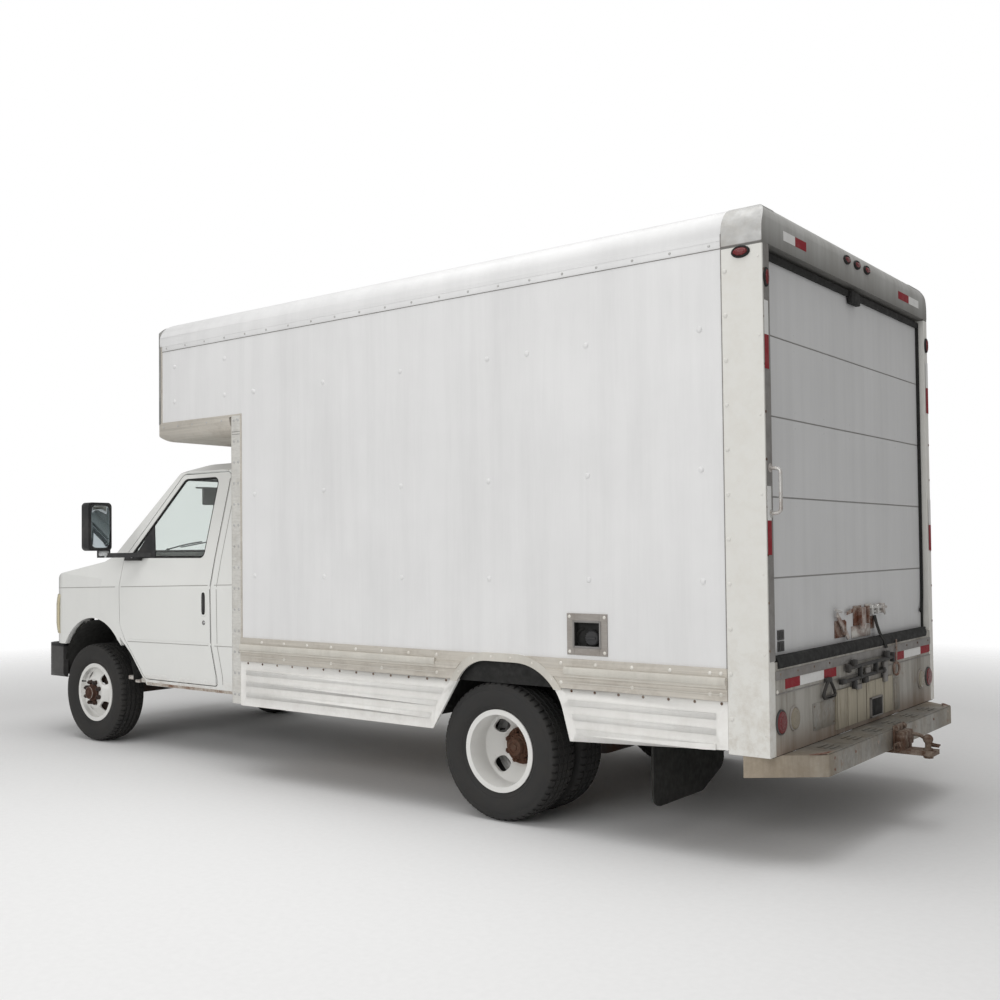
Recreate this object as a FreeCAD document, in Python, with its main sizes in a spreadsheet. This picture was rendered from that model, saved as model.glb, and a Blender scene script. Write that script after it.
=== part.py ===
import FreeCAD, Part
import math
import os
import Sketcher

# A box truck: van cab on a ladder frame, twin rear wheels, and a moving body with an attic
# over the cab. Millimetres; +X is forward, +Y is the driver's side and +Z is up.
# The origin is on the ground, at the middle of the length.

# Driving sizes: alias, millimetres, what it is.
SIZES = (
    # overall
    ("wheelbase", 4013, "front axle to rear axle"),
    ("front_overhang", 740, "bumper face ahead of the front axle"),
    ("body_rear", 1542, "rear face of the body behind the rear axle"),
    ("step_reach", 168, "step bumper behind the body"),
    ("hitch_reach", 190, "tow ball and its plate behind the step bumper"),
    ("panel_gap", 6, "clearance round a panel that opens"),
    # wheels
    ("tyre_radius", 370, "outside radius of a tyre"),
    ("tyre_half", 117, "half of the section's width, at the corner before rounding"),
    ("tyre_bulge_drop", 75, "sidewall's widest place inside the tread"),
    ("tyre_side_round", 55, "rounding of the sidewall"),
    ("tread_half", 92, "half of the tread's width"),
    ("shoulder_round", 22, "rounding of the shoulder"),
    ("bead_radius", 203, "radius of the bead seat"),
    ("bead_half", 76, "half of the width between the flanges"),
    ("flange_radius", 220, "outside radius of the rim's flange"),
    ("flange_thickness", 12, "thickness of the flange"),
    ("barrel_radius", 192, "inside radius of the rim's barrel"),
    ("disc_offset", 136, "rear disc's mounting face to the rim's middle"),
    ("front_disc_offset", 100, "front disc's outward face to the rim's middle"),
    ("disc_thickness", 10, "thickness of the wheel disc"),
    ("disc_shoulder", 112, "radius of the flat part of the disc"),
    ("disc_dish", 86, "depth of the disc from its face to the barrel"),
    ("disc_bend", 30, "rounding where the disc's face turns back"),
    ("disc_hole", 62, "radius of the disc's centre hole"),
    ("hand_hole_long", 88, "length of a hand hole round the wheel"),
    ("hand_hole_tall", 60, "width of a hand hole"),
    ("hand_hole_place", 147, "hand hole from the wheel's axis"),
    ("hub_radius", 65, "radius of the hub's flange"),
    ("front_rim_middle", 881, "middle of a front rim from the centre line"),
    ("dual_middle", 950, "face where twin discs meet, from the centre line"),
    ("hub_nose", 46, "radius of a hub's nose"),
    ("hub_flange", 14, "hub's flange outside its disc"),
    ("front_hub_reach", 45, "front hub's nose outside its disc"),
    ("rear_hub_reach", 75, "rear hub's nose outside the discs"),
    ("drum_width", 90, "brake drum's width"),
    # steering
    ("kingpin_place", 790, "kingpin from the centre line"),
    ("kingpin_radius", 20, "kingpin's radius"),
    ("kingpin_half", 95, "half of the knuckle's height"),
    ("beam_height", 76, "front beam's depth"),
    ("beam_width", 90, "front beam's width"),
    # frame
    ("rail_place", 430, "outer face of a frame rail from the centre line"),
    ("rail_width", 70, "flange of a frame rail"),
    ("rail_web", 8, "thickness of a rail's web and flanges"),
    ("rail_height", 180, "depth of a frame rail"),
    ("rail_drop_clear", 10, "start of the rails' step behind the cab"),
    ("rail_drop_run", 300, "length of the rails' step"),
    ("rail_front", 560, "front end of the rails ahead of the front axle"),
    ("crossmember_width", 90, "width of a crossmember"),
    ("engine_member", 60, "crossmember under the engine behind the front axle"),
    ("gearbox_member", 1300, "crossmember under the gearbox behind the front axle"),
    ("middle_member", 1300, "middle crossmember ahead of the rear axle"),
    ("axle_member", 420, "crossmember at the springs ahead of the rear axle"),
    # load body
    ("body_half", 1219, "half of the body's width over its posts"),
    ("panel_inset", 6, "side panel inside the posts' faces"),
    ("wall_thickness", 38, "thickness of a wall"),
    ("floor_bottom", 741, "underside of the floor's sills"),
    ("floor_tall", 159, "height of the floor over its sills' underside"),
    ("deck_thickness", 40, "thickness of the floor's planks"),
    ("sill_width", 60, "width of a floor sill"),
    ("sill_count", 9, "floor sills"),
    ("roof_height", 3030, "top of the roof"),
    ("cove_drop", 170, "depth of the roof's cove below the roof's top"),
    ("cove_round", 150, "radius of the cove"),
    ("roof_thickness", 40, "thickness of the roof"),
    ("cab_gap", 23, "room between the cab and the load body"),
    ("front_post_width", 108, "front corner post seen from the side"),
    ("post_round", 36, "rounding of the front corner posts"),
    ("post_lift", 7, "front corner post's lower end above the skirts'"),
    ("attic_reach", 795, "attic ahead of the body's front"),
    ("attic_clear", 127, "attic's underside above the cab's roof"),
    ("attic_trim", 118, "height of the trim below the attic's side panel"),
    ("attic_round", 88, "rounding of the attic's upright corners"),
    ("attic_nose_round", 110, "rounding of the attic's lower edges"),
    ("rear_post_depth", 200, "rear post seen from the side"),
    ("rear_post_face", 65, "rear post seen from behind"),
    ("step_clear", 2.5, "rear posts above the step"),
    ("header_tall", 205, "height of the rear header"),
    ("header_round", 85, "rounding of the header's upper rear edge"),
    ("rear_panel_thickness", 25, "thickness of the rear lower panel"),
    ("rail_strip_drop", 9, "rub rail's upper edge below the deck"),
    ("rail_strip_thickness", 10, "rub rail's thickness"),
    ("bead_width", 36, "half-round bead on the rub rail"),
    ("skirt_thickness", 14, "thickness of a skirt"),
    ("skirt_tall", 283, "height of a skirt"),
    ("rib_height", 30, "height of a skirt's raised rib"),
    ("rib_depth", 10, "rib's height above the skirt"),
    ("rib_count", 3, "ribs on a skirt"),
    ("arch_front", 418, "wheel opening's front lower corner ahead of the rear axle"),
    ("arch_back", 488, "wheel opening's rear lower corner behind the rear axle"),
    ("arch_room", 113, "rear wheel opening above the tyre"),
    ("arch_trim", 44, "width of the trim round the wheel opening"),
    ("arch_flat_front", 160, "wheel opening's top ahead of the axle, before its corner is rounded"),
    ("arch_flat_back", 380, "wheel opening's top behind the axle, before its corner is rounded"),
    ("arch_round", 225, "rounding of the wheel opening's upper front corner"),
    ("arch_round_back", 300, "rounding of the wheel opening's upper rear corner"),
    ("arch_trim_depth", 8, "trim's height above the rear posts' faces"),
    ("arch_trim_foot", 12, "trim's feet below the rub rail"),
    # rear door
    ("door_recess", 45, "rear door inside the body's rear face"),
    ("door_top_gap", 20, "rear door's top below the header"),
    ("door_panel_count", 5, "rear door panels"),
    ("door_panel_thickness", 38, "thickness of the rear door"),
    ("door_joint", 6, "groove between rear door panels"),
    ("door_sill", 30, "rear door above the deck"),
    # step bumper and hitch
    ("step_top", 500, "top of the step bumper"),
    ("step_height", 100, "depth of the step bumper"),
    ("step_front", 1405, "step bumper's ends behind the rear axle"),
    ("step_inset", 14, "step bumper's ends inside the body's sides"),
    ("step_taper", 245, "step bumper's end taper"),
    ("ball_radius", 25, "tow ball's radius"),
    ("hitch_height", 400, "top of the hitch plate"),
    ("hitch_half", 110, "half of the hitch plate's width"),
    ("hitch_thickness", 24, "thickness of the hitch plate"),
    ("ball_neck", 40, "height of the tow ball's neck"),
    ("ball_rise", 55, "tow ball's middle above its plate"),
    # cab
    ("cab_half", 1008, "half of the cab's width at its belt"),
    ("sill_tuck", 78, "cab's sill inside its belt"),
    ("cab_bottom", 462, "underside of the cab's sill"),
    ("belt_drop", 208, "belt crease below the side glass"),
    ("tuck_share", 0.4643, "lower crease's share of the height from sill to belt crease"),
    ("glass_lift", 26, "side glass's lower edge above the cowl"),
    ("glass_tuck", 46, "side glass's lower edge inside the cab's belt"),
    ("drip_drop", 58, "drip rail below the cab's roof"),
    ("drip_tuck", 206, "drip rail inside the cab's belt"),
    ("roof_side_round", 110, "rounding of the cab roof's sides"),
    ("cab_roof", 2078, "top of the cab's roof"),
    ("cab_back", 1860, "back of the cab behind the front axle"),
    ("cab_skin", 60, "thickness of the cab's walls and doors"),
    ("cab_floor_height", 660, "top of the cab's floor"),
    ("cab_floor_thickness", 40, "thickness of the cab's floor"),
    ("cowl_front", 130, "front of the cowl behind the front axle"),
    ("cowl_height", 1372, "height of the cowl"),
    ("screen_foot_back", 105, "windscreen's foot behind the cowl's front"),
    ("screen_foot_lift", 40, "windscreen's foot above the cowl"),
    ("screen_head", 850, "windscreen's head behind the front axle"),
    ("screen_head_drop", 48, "windscreen's head below the roof"),
    ("screen_head_round", 150, "rounding of the roof over the windscreen"),
    ("roof_crest", 1060, "start of the level roof behind the front axle"),
    ("roof_crest_round", 350, "rounding of the roof where it turns level"),
    ("screen_margin", 62, "frame round the windscreen"),
    ("screen_reach", 200, "screen's cutting shape past the glass"),
    ("glass_thickness", 6, "thickness of the glass"),
    ("glass_depth", 9, "side glass inside the cab's skin"),
    ("door_frame", 24, "thickness of the door's frame beside the glass"),
    # cab doors
    ("door_front", 365, "front edge of the cab door behind the front axle"),
    ("door_rear", 1430, "rear edge of the cab door behind the front axle"),
    ("door_foot_front", 590, "front lower corner of the cab door behind the front axle"),
    ("door_foot_lift", 43, "cab door's lower edge above the sill"),
    ("door_knee_lift", 100, "bend of the door's front edge above the lower crease"),
    ("door_top_drop", 68, "cab door's top below the roof"),
    ("door_top_back", 32, "door's upper front corner behind the windscreen's head"),
    ("door_round", 40, "rounding of the cab door's corners"),
    ("door_knee_round", 120, "rounding of the door's edge over the wheel"),
    ("window_front_back", 60, "side window's front corner behind the door's front edge"),
    ("window_top_back", 30, "window's upper front corner behind the door's"),
    ("window_top_drop", 36, "side window's top below the door's"),
    ("window_rear_ahead", 130, "side window's rear edge ahead of the door's"),
    ("window_round", 40, "rounding of the side window's corners"),
    ("sail_long", 321, "mirror's sail behind the window's front corner"),
    ("sail_tall", 236, "height of the mirror's sail"),
    ("sail_setback", 60, "sail behind the window's front edge"),
    ("hinge_inset", 20, "door hinge's axis inside the cab's side"),
    ("hinge_reach", 30, "door hinge's axis ahead of the door's opening"),
    ("hinge_low_lift", 60, "lower door hinge above the bend of the door's edge"),
    ("hinge_high_drop", 45, "upper door hinge below the belt crease"),
    ("hinge_half", 12, "half of the height of a hinge's arm"),
    ("hinge_pin", 4.5, "radius of a hinge's pin"),
    ("hinge_pocket", 45, "half of the height of a hinge's pocket"),
    ("door_lip", 12, "thickness of the door's outer lip"),
    ("hood_hinge", 600, "hood's hinge from the centre line"),
    ("column_radius", 20, "steering column's radius"),
    ("mirror_reach", 142, "mirror's head outside the cab's belt"),
    ("mirror_width", 195, "width of the mirror's head"),
    ("mirror_lift", 57, "mirror's head above the side glass's lower edge"),
    ("mirror_tall", 350, "height of the mirror's head"),
    ("mirror_depth", 85, "depth of the mirror's head"),
    ("mirror_back", 35, "mirror's head behind the door's front edge"),
    ("mirror_arm", 34, "thickness of the mirror's arm"),
    ("mirror_arm_root", 140, "length of the mirror's arm along the sail"),
    ("mirror_round", 32, "rounding of the mirror's head"),
    # front of the cab
    ("nose_setback", 110, "nose behind the bumper's face"),
    ("nose_corner", 230, "rounding of the nose's corners seen from above"),
    ("nose_tuck", 23, "nose's side inside the cab's belt"),
    ("nose_flare", 15, "nose wider at the doors than at its corners"),
    ("hood_front_drop", 237, "hood's front edge below the cowl"),
    ("hood_front_round", 85, "rounding of the hood's front edge"),
    ("hood_brow_setback", 155, "hood's brow behind the nose"),
    ("hood_brow_drop", 98, "hood's brow below the cowl"),
    ("hood_brow_round", 240, "rounding of the hood's brow"),
    ("hood_tuck", 208, "hood's side inside the cab's belt"),
    ("hood_side_drop", 157, "hood's side seam below the cowl"),
    ("wing_skin", 40, "thickness of the hood and wings"),
    ("wing_lip", 60, "lip left at the wings' lower edge"),
    ("front_arch_room", 70, "front wheel arch's radius over the tyre's"),
    ("front_arch_lift", 130, "centre of the front wheel arch above the axle"),
    ("lamp_bottom_lift", 70, "headlamps' lower edge above the bumper"),
    ("lamp_top_drop", 12, "headlamps' upper edge below the hood's front edge"),
    ("lamp_inner", 610, "inner edge of a headlamp from the centre line"),
    ("lamp_long", 135, "length of a headlamp"),
    ("grille_bar", 26, "height of a grille bar"),
    ("grille_bars", 6, "grille bars"),
    ("grille_depth", 45, "depth of the grille"),
    ("bumper_bottom", 455, "lower edge of the front bumper"),
    ("bumper_top", 720, "upper edge of the front bumper"),
    ("bumper_tuck", 43, "front bumper's end inside the cab's belt"),
    ("bumper_long", 300, "length of the front bumper along its ends"),
    ("bumper_bow", 22, "bumper's corners behind its middle"),
    ("bumper_round", 155, "rounding of the bumper's corners"),
    ("bumper_low_round", 40, "rounding of the bumper's lower edge"),
    ("bumper_high_round", 26, "rounding of the bumper's upper edge"),
    ("bumper_skin", 45, "thickness of the bumper"),
    # inside the cab
    ("dash_front", 420, "front of the dashboard behind the front axle"),
    ("dash_long", 240, "dashboard's depth"),
    ("dash_clear", 42, "dashboard above the engine cover"),
    ("dash_top_drop", 27, "top of the dashboard below the cowl"),
    ("dash_slope", 50, "fall of the dashboard's top towards the screen"),
    ("dash_brow", 90, "fall of the dashboard's top towards the seats"),
    ("seat_middle", 500, "middle of a seat from the centre line"),
    ("seat_width", 500, "width of a seat"),
    ("seat_front", 1010, "front of a seat behind the front axle"),
    ("seat_depth", 500, "depth of a seat's cushion"),
    ("seat_height", 1060, "top of a seat's cushion"),
    ("seat_pad", 150, "thickness of a seat's cushion"),
    ("seat_round", 40, "rounding of a seat's edges"),
    ("seat_back_tall", 520, "height of a seat's back over its cushion"),
    ("seat_back_thickness", 120, "thickness of a seat's back"),
    ("seat_rake", 90, "lean of a seat's back"),
    ("engine_half", 270, "half of the engine block's width"),
    ("engine_front", 420, "front of the engine block ahead of the front axle"),
    ("engine_back", 330, "back of the engine block behind the front axle"),
    ("engine_tall", 475, "height of the engine block"),
    ("engine_clear", 15, "room round the engine under its cover"),
    ("cover_skin", 20, "thickness of the engine cover"),
    ("cover_back", 960, "back of the engine cover behind the front axle"),
    ("wheel_ring", 190, "steering wheel's radius"),
    ("wheel_grip", 15, "steering wheel rim's radius"),
    ("column_tilt", 32, "degrees that the steering column leans"),
    ("wheel_back", 190, "steering wheel's middle behind the dashboard"),
    ("wheel_drop", 120, "steering wheel's middle below the dashboard's top"),
    ("wheel_side", 500, "steering wheel's middle from the centre line"),
    # below the floor
    ("tank_front", 560, "front of the fuel tank behind the rear axle"),
    ("tank_length", 620, "length of the fuel tank"),
    ("tank_half", 330, "half of the fuel tank's width"),
    ("tank_round", 60, "rounding of the fuel tank's corners"),
    ("tank_tall", 240, "height of the fuel tank"),
    ("tank_drop", 101, "top of the fuel tank below the rails' top"),
    ("strap", 20, "thickness of the bars that carry the tank"),
    ("axle_tube", 55, "radius of the rear axle's tube"),
    ("diff_radius", 165, "radius of the differential's housing"),
    ("spring_place", 500, "leaf spring from the centre line"),
    ("running_gap", 0.3, "clearance of a shaft or pin in its seat"),
    ("leaf_width", 70, "width of a leaf spring"),
    ("leaf_pack", 55, "thickness of the leaf pack"),
    ("leaf_half", 640, "half of a leaf spring's length"),
    ("coil_radius", 65, "radius of a front coil spring"),
    ("coil_place", 560, "front coil spring from the centre line"),
    ("shaft_radius", 45, "drive shaft's radius"),
    ("shaft_front", 1250, "drive shaft's front end behind the front axle"),
    ("shaft_rise", 20, "drive shaft above the axles' centre line"),
    ("pipe_radius", 32, "exhaust pipe's radius"),
    ("muffler_radius", 105, "muffler's radius"),
    ("muffler_length", 560, "muffler's length"),
    ("muffler_place", 1500, "front of the muffler ahead of the rear axle"),
    ("pipe_start", 1000, "front end of the exhaust pipe behind the front axle"),
    ("pipe_end", 560, "rear end of the exhaust pipe ahead of the rear axle"),
    ("exhaust_side", 620, "exhaust from the centre line"),
    ("exhaust_height", 470, "height of the exhaust"),
    ("flap_inner", 445, "inner edge of a mud flap from the centre line"),
    ("flap_slant", 250, "width of the slant at a mud flap's lower inner corner"),
    ("flap_slope", 100, "height of that slant"),
    ("flap_round", 70, "rounding of a mud flap's lower corners"),
    ("flap_thickness", 12, "thickness of a mud flap"),
    ("flap_bottom", 200, "lower edge of a mud flap"),
    ("flap_place", 935, "mud flaps behind the rear axle"),
    # fittings
    ("filler_front", 472, "fuel filler's front edge behind the rear axle"),
    ("filler_width", 236, "width of the fuel filler's frame"),
    ("filler_lift", 12, "fuel filler's frame above the deck"),
    ("filler_tall", 208, "height of the fuel filler's frame"),
    ("filler_border", 42, "border of the fuel filler's frame"),
    ("filler_depth", 30, "depth of the fuel filler's cup"),
    ("lamp_radius", 58, "radius of a round rear lamp"),
    ("lamp_lift", 150, "round lamps above the rear posts' lower ends"),
    ("lamp_depth", 16, "round lamp's height above its panel"),
    ("lamp_inset", 121, "outer round lamp inside the body's side"),
    ("lamp_pitch", 150, "from one round lamp to the next"),
    ("marker_place", 60, "side marker lamp ahead of the body's rear face"),
    ("marker_long", 83, "length of a side marker lamp"),
    ("marker_tall", 52, "height of a side marker lamp"),
    ("marker_depth", 14, "side marker lamp's height above its post"),
    ("marker_drop", 212, "top of a side marker lamp below the roof"),
    ("ramp_half", 430, "half of the loading ramp's width"),
    ("ramp_lift", 25, "ramp above the rear posts' lower ends"),
    ("ramp_tall", 190, "height of the ramp's end"),
    ("latch_half", 330, "half of the latch's width"),
    ("latch_lift", 175, "latch bar above the rear door's lower edge"),
    ("latch_plate_tall", 120, "height of the latch's plate"),
    ("latch_bar", 14, "radius of the latch's bar"),
    ("latch_stay", 40, "width of a stay of the latch"),
    ("latch_stay_depth", 30, "latch's stay in front of the door"),
    ("latch_stay_drop", 60, "latch's stay below the bar"),
)

doc = FreeCAD.newDocument("box_truck")
sheet = doc.addObject("Spreadsheet::Sheet", "dims")
for row, (alias, value, meaning) in enumerate(SIZES, 1):
    sheet.set(f"A{row}", alias)
    sheet.set(f"B{row}", str(value))
    sheet.set(f"C{row}", meaning)
    sheet.setAlias(f"B{row}", alias)
doc.recompute()


class Size:
    """A length from the sheet: its value now, and the expression that binds it."""

    def __init__(self, value, text):
        self.value = float(value)
        self.text = text

    @staticmethod
    def of(other):
        return other if isinstance(other, Size) else Size(other, repr(float(other)))

    def __add__(self, other):
        other = Size.of(other)
        return Size(self.value + other.value, f"({self.text} + {other.text})")

    def __sub__(self, other):
        other = Size.of(other)
        return Size(self.value - other.value, f"({self.text} - {other.text})")

    def __mul__(self, other):
        other = Size.of(other)
        return Size(self.value * other.value, f"({self.text} * {other.text})")

    def __truediv__(self, other):
        other = Size.of(other)
        return Size(self.value / other.value, f"({self.text} / {other.text})")

    def __radd__(self, other):
        return Size.of(other) + self

    def __rsub__(self, other):
        return Size.of(other) - self

    def __rmul__(self, other):
        return Size.of(other) * self

    def __neg__(self):
        return Size(-self.value, f"(-{self.text})")

    def __float__(self):
        return self.value


class Dims:
    """The sheet's cells by name."""

    def __getattr__(self, alias):
        return Size(sheet.get(alias), f"dims.{alias}")


D = Dims()
ZERO = Size(0, "0")

# Stations along the truck
rear_overhang = D.body_rear + D.step_reach + D.hitch_reach
front_axle = (D.wheelbase + rear_overhang - D.front_overhang) / 2
rear_axle = front_axle - D.wheelbase
axle_height = D.tyre_radius
body_back = rear_axle - D.body_rear
tyre_top = D.tyre_radius * 2
front_disc = D.front_rim_middle + D.front_disc_offset
spindle_end = front_disc - D.disc_thickness
post_front = body_back + D.rear_post_depth
box_face = front_axle - D.cab_back - D.cab_gap
panel_front = box_face - D.front_post_width
attic_face = box_face + D.attic_reach
attic_panel_front = attic_face - D.attic_round
panel_outer = D.body_half - D.panel_inset
wall_inner = panel_outer - D.wall_thickness
rail_top = D.floor_bottom
front_rail_top = D.cab_floor_height - D.cab_floor_thickness
engine_seat = front_rail_top - D.rail_height + D.rail_web * 6
cover_half = D.engine_half + D.engine_clear + D.cover_skin
cover_top = engine_seat + D.engine_tall + D.engine_clear + D.cover_skin
wing_bottom = D.bumper_top + D.panel_gap

# Heights, half widths and stations that follow from other sizes
cove_bottom = D.roof_height - D.cove_drop
header_bottom = D.roof_height - D.header_tall
attic_bottom = D.cab_roof + D.attic_clear
attic_panel_bottom = attic_bottom + D.attic_trim
deck_height = D.floor_bottom + D.floor_tall
rail_strip_top = deck_height - D.rail_strip_drop
skirt_bottom = D.floor_bottom - D.skirt_tall
front_post_bottom = skirt_bottom + D.post_lift
filler_bottom = deck_height + D.filler_lift
door_bottom = deck_height + D.door_sill
rear_post_bottom = D.step_top + D.step_clear
ramp_bottom = rear_post_bottom + D.ramp_lift
lamp_height = rear_post_bottom + D.lamp_lift
latch_height = door_bottom + D.latch_lift
marker_top = D.roof_height - D.marker_drop
step_half = D.body_half - D.step_inset
lamp_place = D.body_half - D.lamp_inset
tank_top = D.floor_bottom - D.tank_drop
tank_bottom = tank_top - D.tank_tall
arch_top = tyre_top + D.arch_room
tyre_bulge_radius = D.tyre_radius - D.tyre_bulge_drop
front_arch_radius = D.tyre_radius + D.front_arch_room
front_arch_height = axle_height + D.front_arch_lift
sill_half = D.cab_half - D.sill_tuck
glass_half = D.cab_half - D.glass_tuck
drip_half = D.cab_half - D.drip_tuck
nose_half = D.cab_half - D.nose_tuck
bumper_half = D.cab_half - D.bumper_tuck
hood_half = D.cab_half - D.hood_tuck
mirror_inner = D.cab_half + D.mirror_reach
drip_height = D.cab_roof - D.drip_drop
door_top = D.cab_roof - D.door_top_drop
window_top = door_top - D.window_top_drop
screen_head_height = D.cab_roof - D.screen_head_drop
screen_foot_height = D.cowl_height + D.screen_foot_lift
glass_bottom = D.cowl_height + D.glass_lift
belt_height = glass_bottom - D.belt_drop
tuck_height = D.cab_bottom + (belt_height - D.cab_bottom) * D.tuck_share
hood_front_height = D.cowl_height - D.hood_front_drop
hood_brow_height = D.cowl_height - D.hood_brow_drop
hood_side_height = D.cowl_height - D.hood_side_drop
dash_top = D.cowl_height - D.dash_top_drop
dash_bottom = cover_top + D.dash_clear
wheel_height = dash_top - D.wheel_drop
lamp_top = hood_front_height - D.lamp_top_drop
lamp_bottom = D.bumper_top + D.lamp_bottom_lift
door_knee = tuck_height + D.door_knee_lift
door_foot = D.cab_bottom + D.door_foot_lift
hinge_low = door_knee + D.hinge_low_lift
hinge_high = belt_height - D.hinge_high_drop
mirror_bottom = glass_bottom + D.mirror_lift
sail_top = glass_bottom + D.sail_tall
seat_top = D.seat_height + D.seat_back_tall
screen_foot = D.cowl_front + D.screen_foot_back
window_front = D.door_front + D.window_front_back
sail_rear = window_front + D.sail_long
window_rear = D.door_rear - D.window_rear_ahead
door_top_front = D.screen_head + D.door_top_back
window_top_front = door_top_front + D.window_top_back
mirror_place = D.door_front + D.mirror_back
rail_drop_back = D.cab_back + D.rail_drop_clear
nose = D.front_overhang - D.nose_setback
hood_brow = nose - D.hood_brow_setback
lamp_back = nose - D.lamp_long
bumper_back = D.front_overhang - D.bumper_long
dash_back = D.dash_front + D.dash_long
wheel_place = dash_back + D.wheel_back
door_panel_height = (header_bottom - D.door_top_gap - door_bottom) / D.door_panel_count


# --- drawing helpers -------------------------------------------------------------------


def block(name, x, y, z):
    """A box between a low and a high limit on each axis."""
    box = doc.addObject("Part::Box", name)
    for side, place, (low, high) in (("Length", "x", x), ("Width", "y", y), ("Height", "z", z)):
        low = Size.of(low)
        box.setExpression(side, (high - low).text)
        box.setExpression(f".Placement.Base.{place}", low.text)
    return box


TURNS = {
    "x": FreeCAD.Rotation(FreeCAD.Vector(0, 1, 0), 90),
    "y": FreeCAD.Rotation(FreeCAD.Vector(1, 0, 0), -90),
    "z": FreeCAD.Rotation(),
}


def rod(name, axis, radius, low, high, centre):
    """A cylinder along an axis; centre gives its place on the other two, in X, Y, Z order."""
    cylinder = doc.addObject("Part::Cylinder", name)
    cylinder.Placement = FreeCAD.Placement(FreeCAD.Vector(), TURNS[axis])
    cylinder.setExpression("Radius", Size.of(radius).text)
    cylinder.setExpression("Height", (high - low).text)
    places = dict(zip([letter for letter in "xyz" if letter != axis], centre))
    places[axis] = low
    for letter, place in places.items():
        cylinder.setExpression(f".Placement.Base.{letter}", Size.of(place).text)
    return cylinder


def direction(start, end):
    vector = FreeCAD.Vector(end[0].value - start[0].value, end[1].value - start[1].value, 0)
    return vector.normalize()


def outline_sketch(body, name, plane, outline):
    """A closed sketch on an origin plane. Each corner is (across, up) or (across, up, rounding)."""
    sketch = body.newObject("Sketcher::SketchObject", name)
    origin_plane = next(f for f in body.Origin.OriginFeatures if f.Role == plane)
    sketch.AttachmentSupport = (origin_plane, [""])
    sketch.MapMode = "FlatFace"
    corners = [tuple(Size.of(value) for value in corner) for corner in outline]
    count = len(corners)
    starts, ends, bends = [], [], []
    for index, corner in enumerate(corners):
        before = direction(corners[index - 1], corner)
        after = direction(corner, corners[(index + 1) % count])
        point = FreeCAD.Vector(corner[0].value, corner[1].value, 0)
        if len(corner) == 3:
            turn = before.x * after.y - before.y * after.x
            setback = corner[2].value * math.tan(before.getAngle(after) / 2)
            side = 1 if turn > 0 else -1
            enter = point - before * setback
            leave = point + after * setback
            centre = enter + FreeCAD.Vector(-before.y, before.x, 0) * corner[2].value * side
            bends.append((centre, side, enter, leave))
        else:
            enter = leave = point
            bends.append(None)
        ends.append(enter)
        starts.append(leave)
    for index in range(count):
        following = (index + 1) % count
        sketch.addGeometry(Part.LineSegment(starts[index], ends[following]), False)
    for index, corner in enumerate(corners):
        arriving = (index - 1) % count
        held, held_end = index, 1
        if bends[index] is None:
            sketch.addConstraint(Sketcher.Constraint("Coincident", arriving, 2, index, 1))
        else:
            centre, side, enter, leave = bends[index]
            circle = Part.Circle(centre, FreeCAD.Vector(0, 0, 1), corner[2].value)
            angles = [math.atan2(p.y - centre.y, p.x - centre.x) for p in (enter, leave)]
            arc = sketch.addGeometry(Part.ArcOfCircle(circle, *angles[::side]), False)
            first, last = (1, 2) if side > 0 else (2, 1)
            sketch.addConstraint(Sketcher.Constraint("Tangent", arriving, 2, arc, first))
            sketch.addConstraint(Sketcher.Constraint("Tangent", arc, last, index, 1))
            radius = sketch.addConstraint(Sketcher.Constraint("Radius", arc, corner[2].value))
            sketch.renameConstraint(radius, f"round_{index}")
            sketch.setExpression(f"Constraints.round_{index}", corner[2].text)
            point = FreeCAD.Vector(corner[0].value, corner[1].value, 0)
            held = sketch.addGeometry(Part.Point(point), True)
            sketch.addConstraint(Sketcher.Constraint("PointOnObject", held, 1, arriving))
            sketch.addConstraint(Sketcher.Constraint("PointOnObject", held, 1, index))
        for kind, word, place in (("DistanceX", "across", 0), ("DistanceY", "up", 1)):
            held_size = sketch.addConstraint(
                Sketcher.Constraint(kind, -1, 1, held, held_end, corner[place].value)
            )
            sketch.renameConstraint(held_size, f"{word}_{index}")
            sketch.setExpression(f"Constraints.{word}_{index}", corner[place].text)
    return sketch


def prism(name, plane, outline, low, high):
    """A padded sketch: XY outlines rise along Z, XZ ones span Y, and YZ ones span X."""
    body = doc.addObject("PartDesign::Body", name)
    sketch = outline_sketch(body, f"{name}_outline", f"{plane}_Plane", outline)
    offset = -high if plane == "XZ" else low
    sketch.setExpression(".AttachmentOffset.Base.z", Size.of(offset).text)
    pad = body.newObject("PartDesign::Pad", f"{name}_pad")
    pad.Profile = sketch
    pad.setExpression("Length", (high - low).text)
    return body


def turned(name, outline, centre, outward):
    """A sketch of (along Y, radius) corners turned about the Y axis, then put at centre."""
    body = doc.addObject("PartDesign::Body", name)
    sketch = outline_sketch(body, f"{name}_section", "YZ_Plane", outline)
    revolution = body.newObject("PartDesign::Revolution", f"{name}_turned")
    revolution.Profile = sketch
    revolution.ReferenceAxis = (sketch, ["H_Axis"])
    revolution.Angle = 360
    turn = 0 if outward > 0 else 180
    body.Placement = FreeCAD.Placement(
        FreeCAD.Vector(), FreeCAD.Rotation(FreeCAD.Vector(0, 0, 1), turn)
    )
    for letter, place in zip("xyz", centre):
        body.setExpression(f".Placement.Base.{letter}", Size.of(place).text)
    return body


def fused(name, pieces):
    union = doc.addObject("Part::MultiFuse", name)
    union.Shapes = pieces
    return union


def common(name, pieces):
    shared = doc.addObject("Part::MultiCommon", name)
    shared.Shapes = pieces
    return shared


def cut(name, base, tools):
    difference = doc.addObject("Part::Cut", name)
    difference.Base = base
    difference.Tool = tools[0] if len(tools) == 1 else together(f"{name}_tools", tools)
    return difference


def together(name, pieces):
    group = doc.addObject("Part::Compound", name)
    group.Links = pieces
    return group


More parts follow.
